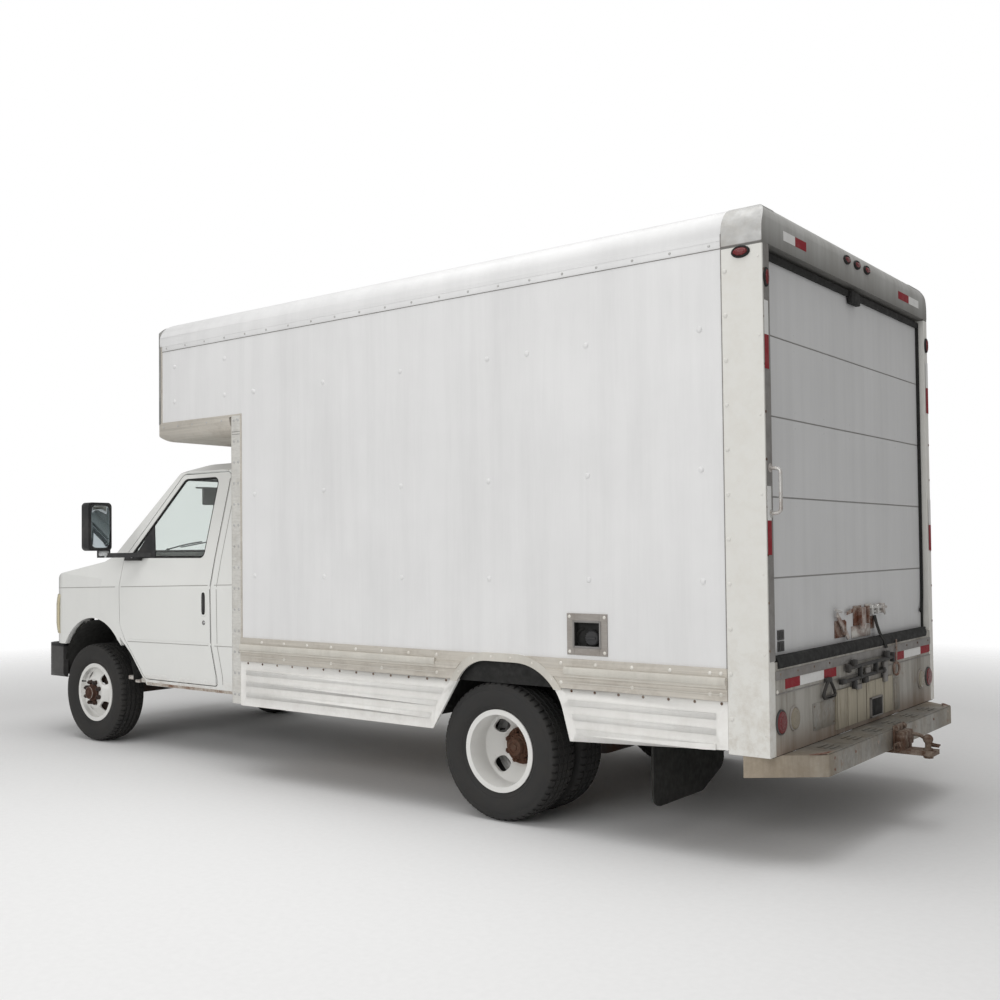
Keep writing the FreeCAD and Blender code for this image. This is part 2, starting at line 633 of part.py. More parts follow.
def mirrored(name, source):
    """The same piece on the other side of the centre line."""
    copy = doc.addObject("Part::Mirroring", name)
    copy.Source = source
    copy.Normal = FreeCAD.Vector(0, 1, 0)
    return copy


def both_sides(name, source):
    return together(name, [source, mirrored(f"{name}_other", source)])


def ordered(*ends):
    """Lengths with the smallest first."""
    return sorted(ends, key=float)


def behind(distance):
    """A station behind the front axle."""
    return front_axle - distance


nodes = []


def node(piece, label):
    """Marks a finished sub-part; its label names its file."""
    piece.Label = label
    nodes.append(piece)
    return piece


# --- frame, axles and drive ------------------------------------------------------------


def make_frame():
    low = front_rail_top
    drop = behind(rail_drop_back)
    kick = drop - D.rail_drop_run
    front = front_axle + D.rail_front
    back = body_back + D.rear_panel_thickness
    side = prism(
        "rail_side",
        "XZ",
        (
            (front, low - D.rail_height),
            (front, low),
            (drop, low),
            (kick, rail_top),
            (back, rail_top),
            (back, rail_top - D.rail_height),
            (kick, rail_top - D.rail_height),
            (drop, low - D.rail_height),
        ),
        D.rail_place - D.rail_width,
        D.rail_place,
    )
    web = D.rail_web
    hollow = prism(
        "rail_hollow",
        "XZ",
        (
            (front + 1, low - D.rail_height + web),
            (front + 1, low - web),
            (drop, low - web),
            (kick, rail_top - web),
            (back - 1, rail_top - web),
            (back - 1, rail_top - D.rail_height + web),
            (kick, rail_top - D.rail_height + web),
            (drop, low - D.rail_height + web),
        ),
        D.rail_place - D.rail_width - 1,
        D.rail_place - web,
    )
    rail = cut("rail_left", side, [hollow])
    reach = D.rail_place - web
    # crossmembers: name, middle along X, underside, top
    members = (
        ("nose", front - D.crossmember_width, low - D.rail_height + web, low - web),
        ("engine", behind(D.engine_member), low - D.rail_height + web, engine_seat),
        ("gearbox", behind(D.gearbox_member), low - D.rail_height + web, low - web * 5),
        ("middle", rear_axle + D.middle_member, rail_top - D.rail_height + web * 9, rail_top - web),
        ("axle", rear_axle + D.axle_member, rail_top - D.rail_height + web * 9, rail_top - web),
        ("tail", back + D.crossmember_width, rail_top - D.rail_height + web, rail_top - web),
    )
    half = D.crossmember_width / 2
    pieces = [rail, mirrored("rail_right", rail)]
    for name, middle, bottom, top in members:
        pieces.append(
            block(f"member_{name}", (middle - half, middle + half), (-reach, reach), (bottom, top))
        )
    node(fused("frame_fused", pieces), "frame")


def make_front_axle():
    half_width = D.beam_width / 2
    half_height = D.beam_height / 2
    inner = D.kingpin_place - D.kingpin_radius * 2
    axis_low = axle_height - D.kingpin_half
    axis_high = axle_height + D.kingpin_half
    beam = block(
        "beam",
        (front_axle - half_width, front_axle + half_width),
        (-inner, inner),
        (axle_height - half_height, axle_height + half_height),
    )
    pieces = [beam]
    for side, word in ((1, "left"), (-1, "right")):
        centre = (front_axle, D.kingpin_place * side)
        pieces.append(
            rod(
                f"beam_eye_{word}",
                "z",
                D.kingpin_radius * 2.1,
                axle_height - half_height,
                axle_height + half_height,
                centre,
            )
        )
        low = front_rail_top
        pieces.append(
            rod(
                f"coil_{word}",
                "z",
                D.coil_radius,
                axle_height + half_height,
                low - D.rail_web,
                (front_axle, D.coil_place * side),
            )
        )
        edges = ordered(D.coil_place * side, D.rail_place * side)
        pieces.append(
            block(
                f"coil_seat_{word}",
                (front_axle - D.coil_radius * 1.2, front_axle + D.coil_radius * 1.2),
                (edges[0], edges[1]),
                (low - D.rail_web * 4, low - D.rail_web),
            )
        )
    bores = []
    for side, word in ((1, "left"), (-1, "right")):
        bores.append(
            rod(
                f"beam_bore_{word}",
                "z",
                D.kingpin_radius + D.running_gap,
                axis_low,
                axis_high,
                (front_axle, D.kingpin_place * side),
            )
        )
    node(cut("front_axle_cut", fused("front_axle_fused", pieces), bores), "front_axle")


def make_knuckle(side, word):
    """Fork above and below the beam's eye, with the spindle that carries the wheel."""
    y = D.kingpin_place * side
    half_height = D.beam_height / 2
    gap = D.panel_gap
    radius = D.kingpin_radius * 2.1
    top = rod(
        f"fork_top_{word}",
        "z",
        radius,
        axle_height + half_height + gap,
        axle_height + D.kingpin_half,
        (front_axle, y),
    )
    bottom = rod(
        f"fork_bottom_{word}",
        "z",
        radius,
        axle_height - D.kingpin_half,
        axle_height - half_height - gap,
        (front_axle, y),
    )
    pin = rod(
        f"kingpin_{word}",
        "z",
        D.kingpin_radius,
        axle_height - D.kingpin_half + 1,
        axle_height + D.kingpin_half - 1,
        (front_axle, y),
    )
    cheek_inner = D.kingpin_place + radius + gap
    cheek_outer = cheek_inner + D.flange_thickness
    edges = ordered(cheek_inner * side, cheek_outer * side)
    cheek = block(
        f"fork_cheek_{word}",
        (front_axle - radius, front_axle + radius),
        (edges[0], edges[1]),
        (axle_height - D.kingpin_half, axle_height + D.kingpin_half),
    )
    bridges = []
    for low, high, place in (
        (axle_height + half_height + gap, axle_height + D.kingpin_half, "top"),
        (axle_height - D.kingpin_half, axle_height - half_height - gap, "bottom"),
    ):
        span = ordered(y, cheek_outer * side)
        bridges.append(
            block(
                f"fork_bridge_{place}_{word}",
                (front_axle - radius * 0.8, front_axle + radius * 0.8),
                (span[0], span[1]),
                (low, high),
            )
        )
    ends = ordered(cheek_inner * side, spindle_end * side)
    spindle = rod(
        f"spindle_{word}", "y", D.kingpin_radius, ends[0], ends[1], (front_axle, axle_height)
    )
    node(fused(f"knuckle_{word}_fused", [top, bottom, pin, cheek, *bridges, spindle]), f"knuckle_{word}")


def make_rear_axle():
    outer = D.dual_middle - D.drum_width - D.running_gap
    tube = rod("axle_tube_rod", "y", D.axle_tube, -outer, outer, (rear_axle, axle_height))
    housing = rod(
        "diff_housing", "y", D.diff_radius, -D.diff_radius * 0.8, D.diff_radius * 0.8,
        (rear_axle, axle_height),
    )
    pieces = [tube, housing]
    shaft_back = rear_axle + D.diff_radius * 0.9
    shaft = rod(
        "drive_shaft",
        "x",
        D.shaft_radius,
        shaft_back,
        behind(D.shaft_front),
        (ZERO, axle_height + D.shaft_rise),
    )
    pieces.append(shaft)
    for side, word in ((1, "left"), (-1, "right")):
        y = D.spring_place * side
        half = D.leaf_width / 2
        seat = axle_height + D.axle_tube
        rise = rail_top - D.rail_height - seat
        leaf = prism(
            f"leaf_{word}",
            "XZ",
            (
                (rear_axle + D.leaf_half, seat + rise * 0.75),
                (rear_axle + D.leaf_half, seat + rise * 0.75 + D.leaf_pack * 0.4),
                (rear_axle, seat + D.leaf_pack, D.leaf_half * 3),
                (rear_axle - D.leaf_half, seat + rise * 0.75 + D.leaf_pack * 0.4),
                (rear_axle - D.leaf_half, seat + rise * 0.75),
                (rear_axle, seat - 8, D.leaf_half * 2),
            ),
            y - half,
            y + half,
        )
        pieces.append(leaf)
        pieces.append(
            block(
                f"spring_saddle_{word}",
                (rear_axle - D.leaf_pack, rear_axle + D.leaf_pack),
                (y - half, y + half),
                (axle_height, seat + D.leaf_pack / 2),
            )
        )
        edges = ordered(D.rail_place * side, (D.spring_place + D.leaf_width / 2) * side)
        for end, place in ((D.leaf_half, "front"), (-D.leaf_half, "back")):
            pieces.append(
                block(
                    f"spring_hanger_{place}_{word}",
                    (rear_axle + end - D.leaf_pack / 2, rear_axle + end + D.leaf_pack / 2),
                    (edges[0], edges[1]),
                    (seat + rise * 0.7, rail_top - D.rail_web * 4),
                )
            )
    node(fused("rear_axle_fused", pieces), "rear_axle")


def make_drive():
    node(
        block(
            "engine_block",
            (behind(D.engine_back), front_axle + D.engine_front),
            (-D.engine_half, D.engine_half),
            (engine_seat, engine_seat + D.engine_tall),
        ),
        "engine",
    )
    tank_start = rear_axle - D.tank_front
    tank = prism(
        "tank",
        "YZ",
        (
            (-D.tank_half, tank_bottom, D.tank_round),
            (D.tank_half, tank_bottom, D.tank_round),
            (D.tank_half, tank_top, D.tank_round * 0.6),
            (-D.tank_half, tank_top, D.tank_round * 0.6),
        ),
        tank_start - D.tank_length,
        tank_start,
    )
    reach = D.rail_place - D.rail_web
    straps = []
    for index, share in enumerate((0.2, 0.8)):
        middle = tank_start - D.tank_length * share
        straps.append(
            block(
                f"tank_bar_{index}",
                (middle - D.strap, middle + D.strap),
                (-reach, reach),
                (tank_top - 1, tank_top + D.strap),
            )
        )
    node(fused("tank_fused", [tank, *straps]), "fuel_tank")
    y = -D.exhaust_side
    height = D.exhaust_height
    muffler_front = rear_axle + D.muffler_place
    muffler = rod(
        "muffler", "x", D.muffler_radius, muffler_front - D.muffler_length, muffler_front, (y, height)
    )
    pipe = rod(
        "exhaust_pipe", "x", D.pipe_radius, rear_axle + D.pipe_end, behind(D.pipe_start), (y, height)
    )
    hook = sill_start(6) + D.sill_width / 2
    hanger = block(
        "exhaust_hanger",
        (hook - D.strap, hook + D.strap),
        (y - D.rail_web, y + D.rail_web),
        (height + D.muffler_radius - D.rail_web, D.floor_bottom),
    )
    node(fused("exhaust_fused", [muffler, pipe, hanger]), "exhaust")


# --- wheels ----------------------------------------------------------------------------


def rim_section(offset):
    """Rim and disc from the wheel's axis outwards, the disc on the outward side."""
    edge = D.bead_half + D.flange_thickness
    root = offset - D.disc_dish
    back = offset - D.disc_thickness
    return (
        (-edge, D.barrel_radius),
        (-edge, D.flange_radius),
        (-D.bead_half, D.flange_radius),
        (-D.bead_half, D.bead_radius),
        (D.bead_half, D.bead_radius),
        (D.bead_half, D.flange_radius),
        (edge, D.flange_radius),
        (edge, D.barrel_radius),
        (root + D.disc_thickness, D.barrel_radius, D.disc_bend / 2),
        (offset, D.disc_shoulder, D.disc_bend),
        (offset, D.disc_hole),
        (back, D.disc_hole),
        (back, D.disc_shoulder - D.disc_thickness / 2, D.disc_bend * 0.8),
        (root, D.barrel_radius - D.disc_thickness / 4, D.disc_bend / 3),
        (root - D.disc_thickness, D.barrel_radius),
    )


def rim(name, centre, outward, offset):
    """A wheel with four oval hand holes through its disc."""
    body = turned(name, rim_section(offset), centre, outward)
    doc.recompute()
    half_long = D.hand_hole_long / 2
    low = D.hand_hole_place - D.hand_hole_tall / 2
    high = D.hand_hole_place + D.hand_hole_tall / 2
    bend = D.hand_hole_tall * 0.47
    outline = (
        (half_long, low, bend),
        (half_long, high, bend),
        (-half_long, high, bend),
        (-half_long, low, bend),
    )
    pocket = body.newObject("PartDesign::Pocket", f"{name}_hole")
    pocket.Profile = outline_sketch(body, f"{name}_hole_outline", "XZ_Plane", outline)
    pocket.setExpression("Length", (D.disc_offset * 2).text)
    pocket.Reversed = False
    pattern = body.newObject("PartDesign::PolarPattern", f"{name}_holes")
    pattern.Originals = [pocket]
    y_axis = next(f for f in body.Origin.OriginFeatures if f.Role == "Y_Axis")
    pattern.Axis = (y_axis, [""])
    pattern.Angle = 360
    pattern.Occurrences = 4
    body.Tip = pattern
    eighth = FreeCAD.Rotation(FreeCAD.Vector(0, 1, 0), 45)
    body.Placement = FreeCAD.Placement(body.Placement.Base, body.Placement.Rotation * eighth)
    return body


def tyre(name, centre):
    clear = D.flange_radius + D.disc_thickness / 5
    section = (
        (-D.bead_half, D.bead_radius),
        (-D.bead_half, clear),
        (-D.tyre_half, tyre_bulge_radius, D.tyre_side_round),
        (-D.tread_half, D.tyre_radius, D.shoulder_round),
        (D.tread_half, D.tyre_radius, D.shoulder_round),
        (D.tyre_half, tyre_bulge_radius, D.tyre_side_round),
        (D.bead_half, clear),
        (D.bead_half, D.bead_radius),
    )
    return turned(name, section, centre, 1)


def make_front_wheel(side, word):
    middle = D.front_rim_middle * side
    centre = (front_axle, middle, axle_height)
    axle = (front_axle, axle_height)
    pieces = [rim(f"front_rim_{word}", centre, side, D.front_disc_offset)]
    for part, radius, reach in (
        ("flange", D.hub_radius, D.hub_flange),
        ("nose", D.hub_nose, D.front_hub_reach),
    ):
        low, high = ordered((front_disc - D.disc_thickness * 3) * side, (front_disc + reach) * side)
        pieces.append(rod(f"front_hub_{part}_{word}", "y", radius, low, high, axle))
    low, high = ordered(
        (front_disc - D.disc_thickness * 3 - 1) * side, (spindle_end + D.panel_gap * 2) * side
    )
    bore = rod(
        f"front_hub_bore_{word}", "y", D.kingpin_radius + D.running_gap, low, high, axle
    )
    wheel = fused(f"front_wheel_{word}_fused", pieces)
    node(cut(f"front_wheel_{word}", wheel, [bore]), f"rim_front_{word}")
    node(tyre(f"front_tyre_{word}_turned", centre), f"tyre_front_{word}")


def make_rear_wheels(side, word):
    pieces = []
    tyres = []
    for offset, place in ((D.disc_offset, "outer"), (-D.disc_offset, "inner")):
        middle = (D.dual_middle + offset) * side
        centre = (rear_axle, middle, axle_height)
        facing = -side if place == "outer" else side
        pieces.append(rim(f"rear_rim_{place}_{word}", centre, facing, D.disc_offset))
        tyres.append(tyre(f"rear_tyre_{place}_{word}", centre))
    for part, radius, reach in (
        ("flange", D.hub_radius, D.hub_flange * 2),
        ("nose", D.hub_nose, D.rear_hub_reach),
    ):
        low, high = ordered((D.dual_middle - D.drum_width) * side, (D.dual_middle + reach) * side)
        pieces.append(
            rod(f"rear_hub_{part}_{word}", "y", radius, low, high, (rear_axle, axle_height))
        )
    node(fused(f"rear_rims_{word}_fused", pieces), f"rims_rear_{word}")
    node(together(f"rear_tyres_{word}_pair", tyres), f"tyres_rear_{word}")


# --- load body -------------------------------------------------------------------------


def sill_start(index):
    """Rear face of a floor sill."""
    back = body_back + D.rear_panel_thickness
    front = box_face - D.wall_thickness
    return back + (front - back - D.sill_width) / (D.sill_count - 1) * index


def make_box_floor():
    back = body_back + D.rear_panel_thickness
    front = box_face - D.wall_thickness
    deck_bottom = deck_height - D.deck_thickness
    tail_half = D.body_half - D.rear_post_face
    deck = block("deck", (post_front, front), (-wall_inner, wall_inner), (deck_bottom, deck_height))
    tail = block("deck_tail", (back, post_front), (-tail_half, tail_half), (deck_bottom, deck_height))
    pieces = [deck, tail]
    count = int(D.sill_count.value)
    for index in range(count):
        start = sill_start(index)
        middle = start.value + D.sill_width.value / 2
        near_wheel = abs(middle - rear_axle.value) < D.tyre_radius.value + D.sill_width.value
        reach = D.rail_place + D.rail_width if near_wheel else tail_half
        pieces.append(
            block(
                f"sill_{index}",
                (start, start + D.sill_width),
                (-reach, reach),
                (D.floor_bottom, deck_bottom),
            )
        )
    node(fused("box_floor_fused", pieces), "box_floor")


def make_box_side(side, word):
    faces = ordered(wall_inner * side, panel_outer * side)
    panel = prism(
        f"side_panel_{word}",
        "XZ",
        (
            (post_front, D.floor_bottom),
            (panel_front, D.floor_bottom),
            (panel_front, attic_panel_bottom),
            (attic_panel_front, attic_panel_bottom),
            (attic_panel_front, cove_bottom),
            (post_front, cove_bottom),
        ),
        faces[0],
        faces[1],
    )
    middle = rear_axle - (D.arch_back - D.arch_front) / 2
    reach = (D.arch_front + D.arch_back) / 2
    well = block(
        f"side_arch_{word}",
        (middle - reach, middle + reach),
        (faces[0] - 1, faces[1] + 1),
        (D.floor_bottom - 1, arch_top),
    )
    tools = [well]
    if side > 0:
        inner_front = rear_axle - D.filler_front - D.filler_border
        inner_bottom = filler_bottom + D.filler_border
        tools.append(
            block(
                "filler_hole",
                (inner_front - D.filler_width + D.filler_border * 2, inner_front),
                (panel_outer - D.filler_depth, panel_outer + 1),
                (inner_bottom, inner_bottom + D.filler_tall - D.filler_border * 2),
            )
        )
    node(cut(f"box_side_{word}_cut", panel, tools), f"box_side_{word}")


def make_box_front():
    wall = block(
        "front_wall",
        (box_face - D.wall_thickness, box_face),
        (-wall_inner, wall_inner),
        (D.floor_bottom, attic_bottom + D.wall_thickness),
    )
    post = prism(
        "front_post",
        "XY",
        (
            (panel_front, wall_inner),
            (box_face, wall_inner),
            (box_face, D.body_half, D.post_round),
            (panel_front, D.body_half),
        ),
        front_post_bottom,
        attic_panel_bottom,
    )
    node(fused("box_front_fused", [wall, post, mirrored("front_post_right", post)]), "box_front")


def make_attic():
    top = cove_bottom
    plan = prism(
        "attic_plan",
        "XY",
        (
            (box_face, -D.body_half),
            (attic_face, -D.body_half, D.attic_round),
            (attic_face, D.body_half, D.attic_round),
            (box_face, D.body_half),
        ),
        attic_bottom,
        top,
    )
    section = prism(
        "attic_section",
        "YZ",
        (
            (-D.body_half, attic_bottom, D.attic_nose_round),
            (D.body_half, attic_bottom, D.attic_nose_round),
            (D.body_half, top),
            (-D.body_half, top),
        ),
        box_face,
        attic_face,
    )
    profile = prism(
        "attic_profile",
        "XZ",
        (
            (box_face, attic_bottom),
            (attic_face, attic_bottom, D.attic_nose_round),
            (attic_face, top),
            (box_face, top),
        ),
        -D.body_half,
        D.body_half,
    )
    shell = common("attic_outer", [plan, section, profile])
    floor_top = attic_bottom + D.wall_thickness
    tools = [
        block(
            "attic_room",
            (box_face - 1, attic_face - D.wall_thickness),
            (-wall_inner, wall_inner),
            (floor_top, top + 1),
        )
    ]
    for side, word in ((1, "left"), (-1, "right")):
        edges = ordered(wall_inner * side, (D.body_half + 1) * side)
        tools.append(
            block(
                f"attic_side_{word}",
                (box_face - 1, attic_panel_front),
                (edges[0], edges[1]),
                (attic_panel_bottom, top + 1),
            )
        )
    node(cut("attic_cut", shell, tools), "attic")


def roof_section(inset, low):
    half = D.body_half - inset
    top = D.roof_height - inset
    return (
        (-half, low),
        (half, low),
        (half, top, D.cove_round - inset / 2),
        (-half, top, D.cove_round - inset / 2),
    )


def make_box_roof():
    section = prism("roof_section", "YZ", roof_section(ZERO, cove_bottom), post_front, attic_face)
    profile = prism(
        "roof_profile",
        "XZ",
        (
            (post_front, cove_bottom),
            (attic_face, cove_bottom),
            (attic_face, D.roof_height, D.cove_round),
            (post_front, D.roof_height),
        ),
        -D.body_half,
        D.body_half,
    )
    plan = prism(
        "roof_plan",
        "XY",
        (
            (post_front, -D.body_half),
            (attic_face, -D.body_half, D.attic_round),
            (attic_face, D.body_half, D.attic_round),
            (post_front, D.body_half),
        ),
        cove_bottom,
        D.roof_height,
    )
    outer = common("roof_outer", [section, profile, plan])
    room = prism(
        "roof_room",
        "YZ",
        roof_section(D.roof_thickness, cove_bottom - 1),
        post_front - 1,
        attic_face - D.roof_thickness,
    )
    node(cut("box_roof_cut", outer, [room]), "box_roof")


def make_rear_frame():
    inner = D.body_half - D.rear_post_face
    post = block(
        "rear_post",
        (body_back, post_front),
        (inner, D.body_half),
        (rear_post_bottom, header_bottom),
    )
    header_section = prism(
        "header_section", "YZ", roof_section(ZERO, header_bottom), body_back, post_front
    )
    header_profile = prism(
        "header_profile",
        "XZ",
        (
            (body_back, header_bottom),
            (post_front, header_bottom),
            (post_front, D.roof_height),
            (body_back, D.roof_height, D.header_round),
        ),
        -D.body_half,
        D.body_half,
    )
    header = common("header", [header_section, header_profile])
    panel = block(
        "rear_panel",
        (body_back, body_back + D.rear_panel_thickness),
        (-inner, inner),
        (rear_post_bottom, deck_height),
    )
    sill = block(
        "rear_sill",
        (body_back, body_back + D.rear_panel_thickness),
        (-inner, inner),
        (rail_strip_top, door_bottom - D.door_joint),
    )
    ramp_slot = block(
        "ramp_slot",
        (body_back - 1, body_back + D.rear_panel_thickness + 1),
        (-D.ramp_half, D.ramp_half),
        (ramp_bottom, ramp_bottom + D.ramp_tall),
    )
    frame = fused("rear_frame_fused", [post, mirrored("rear_post_right", post), header, panel, sill])
    node(cut("rear_frame_cut", frame, [ramp_slot]), "rear_frame")
    node(
        block(
            "ramp_end",
            (body_back - D.rail_web, body_back + D.rear_panel_thickness),
            (-D.ramp_half, D.ramp_half),
            (ramp_bottom, ramp_bottom + D.ramp_tall),
        ),
        "ramp",
    )


def make_rear_door():
    half = D.body_half - D.rear_post_face
    face = body_back + D.door_recess
    back = face + D.door_panel_thickness
    pieces = []
    count = int(D.door_panel_count.value)
    for index in range(count):
        low = door_bottom + door_panel_height * index
        high = low + door_panel_height - D.door_joint
        pieces.append(block(f"door_panel_{index}", (face, back), (-half, half), (low, high)))
    top = door_bottom + door_panel_height * count
    pieces.append(
        block("door_backing", (face + D.door_joint, back), (-half, half), (door_bottom, top))
    )
    node(fused("rear_door_fused", pieces), "rear_door")
    plate = block(
        "latch_plate",
        (face - D.rail_web, face),
        (-D.latch_half / 3, D.latch_half / 3),
        (latch_height - D.latch_plate_tall, latch_height),
    )
    bar = rod(
        "latch_bar",
        "y",
        D.latch_bar,
        -D.latch_half,
        D.latch_half,
        (face - D.latch_bar - D.rail_web / 2, latch_height),
    )
    stays = []
    for side, word in ((1, "left"), (-1, "right")):
        y = D.latch_half * side * 0.8
        stays.append(
            block(
                f"latch_stay_{word}",
                (face - D.latch_stay_depth, face),
                (y - D.latch_stay / 2, y + D.latch_stay / 2),
                (latch_height - D.latch_stay_drop, latch_height + D.latch_stay / 2),
            )
        )
    node(fused("latch_fused", [plate, bar, *stays]), "door_latch")


def wheel_opening(grow):
    """Corners of the wheel opening's edge, from its front foot over the top to its rear foot."""
    top = arch_top + grow
    return (
        (rear_axle + D.arch_front + grow, skirt_bottom - 1),
        (rear_axle + D.arch_flat_front + grow / 2, top, D.arch_round + grow),
        (rear_axle - D.arch_flat_back - grow / 2, top, D.arch_round_back + grow),
        (rear_axle - D.arch_back - grow, skirt_bottom - 1),
    )


def make_side_trim():
    """Rub rails, skirts and the band round the wheel opening, all cut back to that opening."""
    outer = D.body_half + D.rail_strip_thickness / 2
    reach = outer + D.bead_width
    strip = block(
        "rub_strip",
        (post_front, panel_front),
        (panel_outer, outer),
        (D.floor_bottom, rail_strip_top),
    )
    bead_middle = (D.floor_bottom + rail_strip_top) / 2
    bead = block(
        "rub_bead",
        (post_front, panel_front),
        (outer - 1, outer + D.bead_width / 4),
        (bead_middle - D.bead_width / 2, bead_middle + D.bead_width / 2),
    )
    trim_room = prism("trim_room", "XZ", wheel_opening(D.arch_trim), wall_inner - 1, reach)
    rail = cut("rub_rail_left", fused("rub_rail_fused", [strip, bead]), [trim_room])
    node(both_sides("rub_rails_pair", rail), "rub_rails")

    sheet_of_metal = block(
        "skirt_sheet",
        (post_front, panel_front),
        (D.body_half - D.skirt_thickness, D.body_half),
        (skirt_bottom, D.floor_bottom),
    )
    ribs = []
    margin = D.rib_height * 2
    count = int(D.rib_count.value)
    pitch = (D.floor_bottom - skirt_bottom) / (count + 1)
    for index in range(count):
        middle = skirt_bottom + pitch * (index + 1)
        ribs.append(
            block(
                f"skirt_rib_{index}",
                (post_front + margin, panel_front - margin),
                (D.body_half - 1, D.body_half + D.rib_depth),
                (middle - D.rib_height / 2, middle + D.rib_height / 2),
            )
        )
    rib_room = prism("rib_room", "XZ", wheel_opening(margin), wall_inner - 1, reach)
    ribbing = cut("skirt_ribs", fused("skirt_ribs_fused", ribs), [rib_room])
    band = prism(
        "arch_band", "XZ", wheel_opening(D.arch_trim), panel_outer, D.body_half + D.arch_trim_depth
    )
    foot = D.floor_bottom - D.arch_trim_foot
    below = block(
        "arch_band_end",
        (post_front, panel_front),
        (panel_outer - 1, reach),
        (skirt_bottom - 2, foot),
    )
    opening = prism("wheel_opening", "XZ", wheel_opening(ZERO), wall_inner - 1, reach)
    trim = cut("arch_trim_left", band, [below])
    skirt = cut("skirt_left", fused("skirt_fused", [sheet_of_metal, ribbing, trim]), [opening])
    node(both_sides("skirts_pair", skirt), "skirts")


def make_filler():
    front = rear_axle - D.filler_front
    back = front - D.filler_width
    top = filler_bottom + D.filler_tall
    border = D.filler_border
    plate = block("filler_plate", (back, front), (panel_outer, panel_outer + 6), (filler_bottom, top))
    hole = block(
        "filler_opening",
        (back + border, front - border),
        (panel_outer - 1, panel_outer + 7),
        (filler_bottom + border, top - border),
    )
    cap_middle = (back + border + D.filler_width * 0.27, filler_bottom + D.filler_tall / 2)
    cap = rod(
        "filler_cap", "y", D.filler_border * 0.9, panel_outer - D.filler_depth, panel_outer,
        cap_middle,
    )
    frame = cut("filler_frame", plate, [hole])
    node(together("filler_pair", [frame, cap]), "fuel_filler")


def make_step_bumper():
    back = body_back - D.step_reach
    low = D.step_top - D.step_height
    front = rear_axle - D.step_front
    inner = step_half - D.step_taper
    tread = prism(
        "step_tread",
        "XY",
        (
            (front, step_half),
            (front, inner),
            (body_back, inner),
            (body_back, -inner),
            (front, -inner),
            (front, -step_half),
            (back, -inner),
            (back, inner),
        ),
        low,
        D.step_top,
    )
    brackets = []
    for side, word in ((1, "left"), (-1, "right")):
        rail_edges = ordered((D.rail_place - D.rail_width) * side, D.rail_place * side)
        for place, start, bottom, top in (
            ("low", body_back, low, D.step_top),
            ("high", body_back + D.rear_panel_thickness, low, rail_top - D.rail_height),
        ):
            brackets.append(
                block(
                    f"step_bracket_{place}_{word}",
                    (start, body_back + D.rear_post_depth),
                    (rail_edges[0], rail_edges[1]),
                    (bottom, top),
                )
            )
    node(fused("step_bumper_fused", [tread, *brackets]), "step_bumper")
    plate_front = body_back
    plate_back = back - D.hitch_reach
    plate = block(
        "hitch_plate",
        (plate_back, plate_front),
        (-D.hitch_half / 2, D.hitch_half / 2),
        (D.hitch_height - D.hitch_thickness, D.hitch_height),
    )
    ball_x = plate_back + D.ball_radius * 1.6
    shank = rod(
        "ball_shank",
        "z",
        D.ball_radius * 0.6,
        D.hitch_height,
        D.hitch_height + D.ball_neck,
        (ball_x, ZERO),
    )
    ball = doc.addObject("Part::Sphere", "ball")
    ball.setExpression("Radius", D.ball_radius.text)
    for letter, place in (("x", ball_x), ("y", ZERO), ("z", D.hitch_height + D.ball_rise)):
        ball.setExpression(f".Placement.Base.{letter}", place.text)
    node(fused("hitch_fused", [plate, shank, ball]), "hitch")


def make_mud_flaps():
    """Flaps behind the rear wheels, each hung from the deck on a plate."""
    outer = D.body_half - D.skirt_thickness - 2
    back = rear_axle - D.flap_place
    flap = prism(
        "mud_flap_sheet",
        "YZ",
        (
            (D.flap_inner, D.flap_bottom + D.flap_slope, D.flap_round),
            (D.flap_inner + D.flap_slant, D.flap_bottom, D.flap_round),
            (outer, D.flap_bottom, D.flap_round),
            (outer, D.floor_bottom),
            (D.flap_inner, D.floor_bottom),
        ),
        back - D.flap_thickness,
        back,
    )
    hanger = block(
        "mud_flap_hanger",
        (back - D.flap_thickness, back),
        (D.flap_inner + D.flap_slant, wall_inner - D.panel_gap),
        (D.floor_bottom - 1, deck_height - D.deck_thickness),
    )
    node(both_sides("mud_flaps_pair", fused("mud_flap", [flap, hanger])), "mud_flaps")


def make_lamps():
    pieces = []
    for index in range(2):
        y = lamp_place - D.lamp_pitch * index
        pieces.append(
            rod(
                f"round_lamp_{index}",
                "x",
                D.lamp_radius,
                body_back - D.lamp_depth,
                body_back,
                (y, lamp_height),
            )
        )
    pieces.append(
        block(
            "side_marker",
            (body_back + D.marker_place, body_back + D.marker_place + D.marker_long),
            (D.body_half, D.body_half + D.marker_depth),
            (marker_top - D.marker_tall, marker_top),
        )
    )
    pairs = [*pieces, *[mirrored(f"lamp_other_{n}", piece) for n, piece in enumerate(pieces)]]
    node(together("lamps_group", pairs), "lamps")


# --- cab -------------------------------------------------------------------------------


def cab_section(inset, low):
    """The cab's cross-section above a low limit, drawn inside its outer faces by inset."""
    right = [
        (sill_half - inset, low),
        (D.cab_half - inset - 6, tuck_height),
        (D.cab_half - inset, belt_height),
        (glass_half - inset, glass_bottom),
        (drip_half - inset, drip_height),
        (drip_half - D.roof_side_round - inset, D.cab_roof - inset),
    ]
    left = [(-y, z) for y, z in reversed(right)]
    return tuple(right + left)


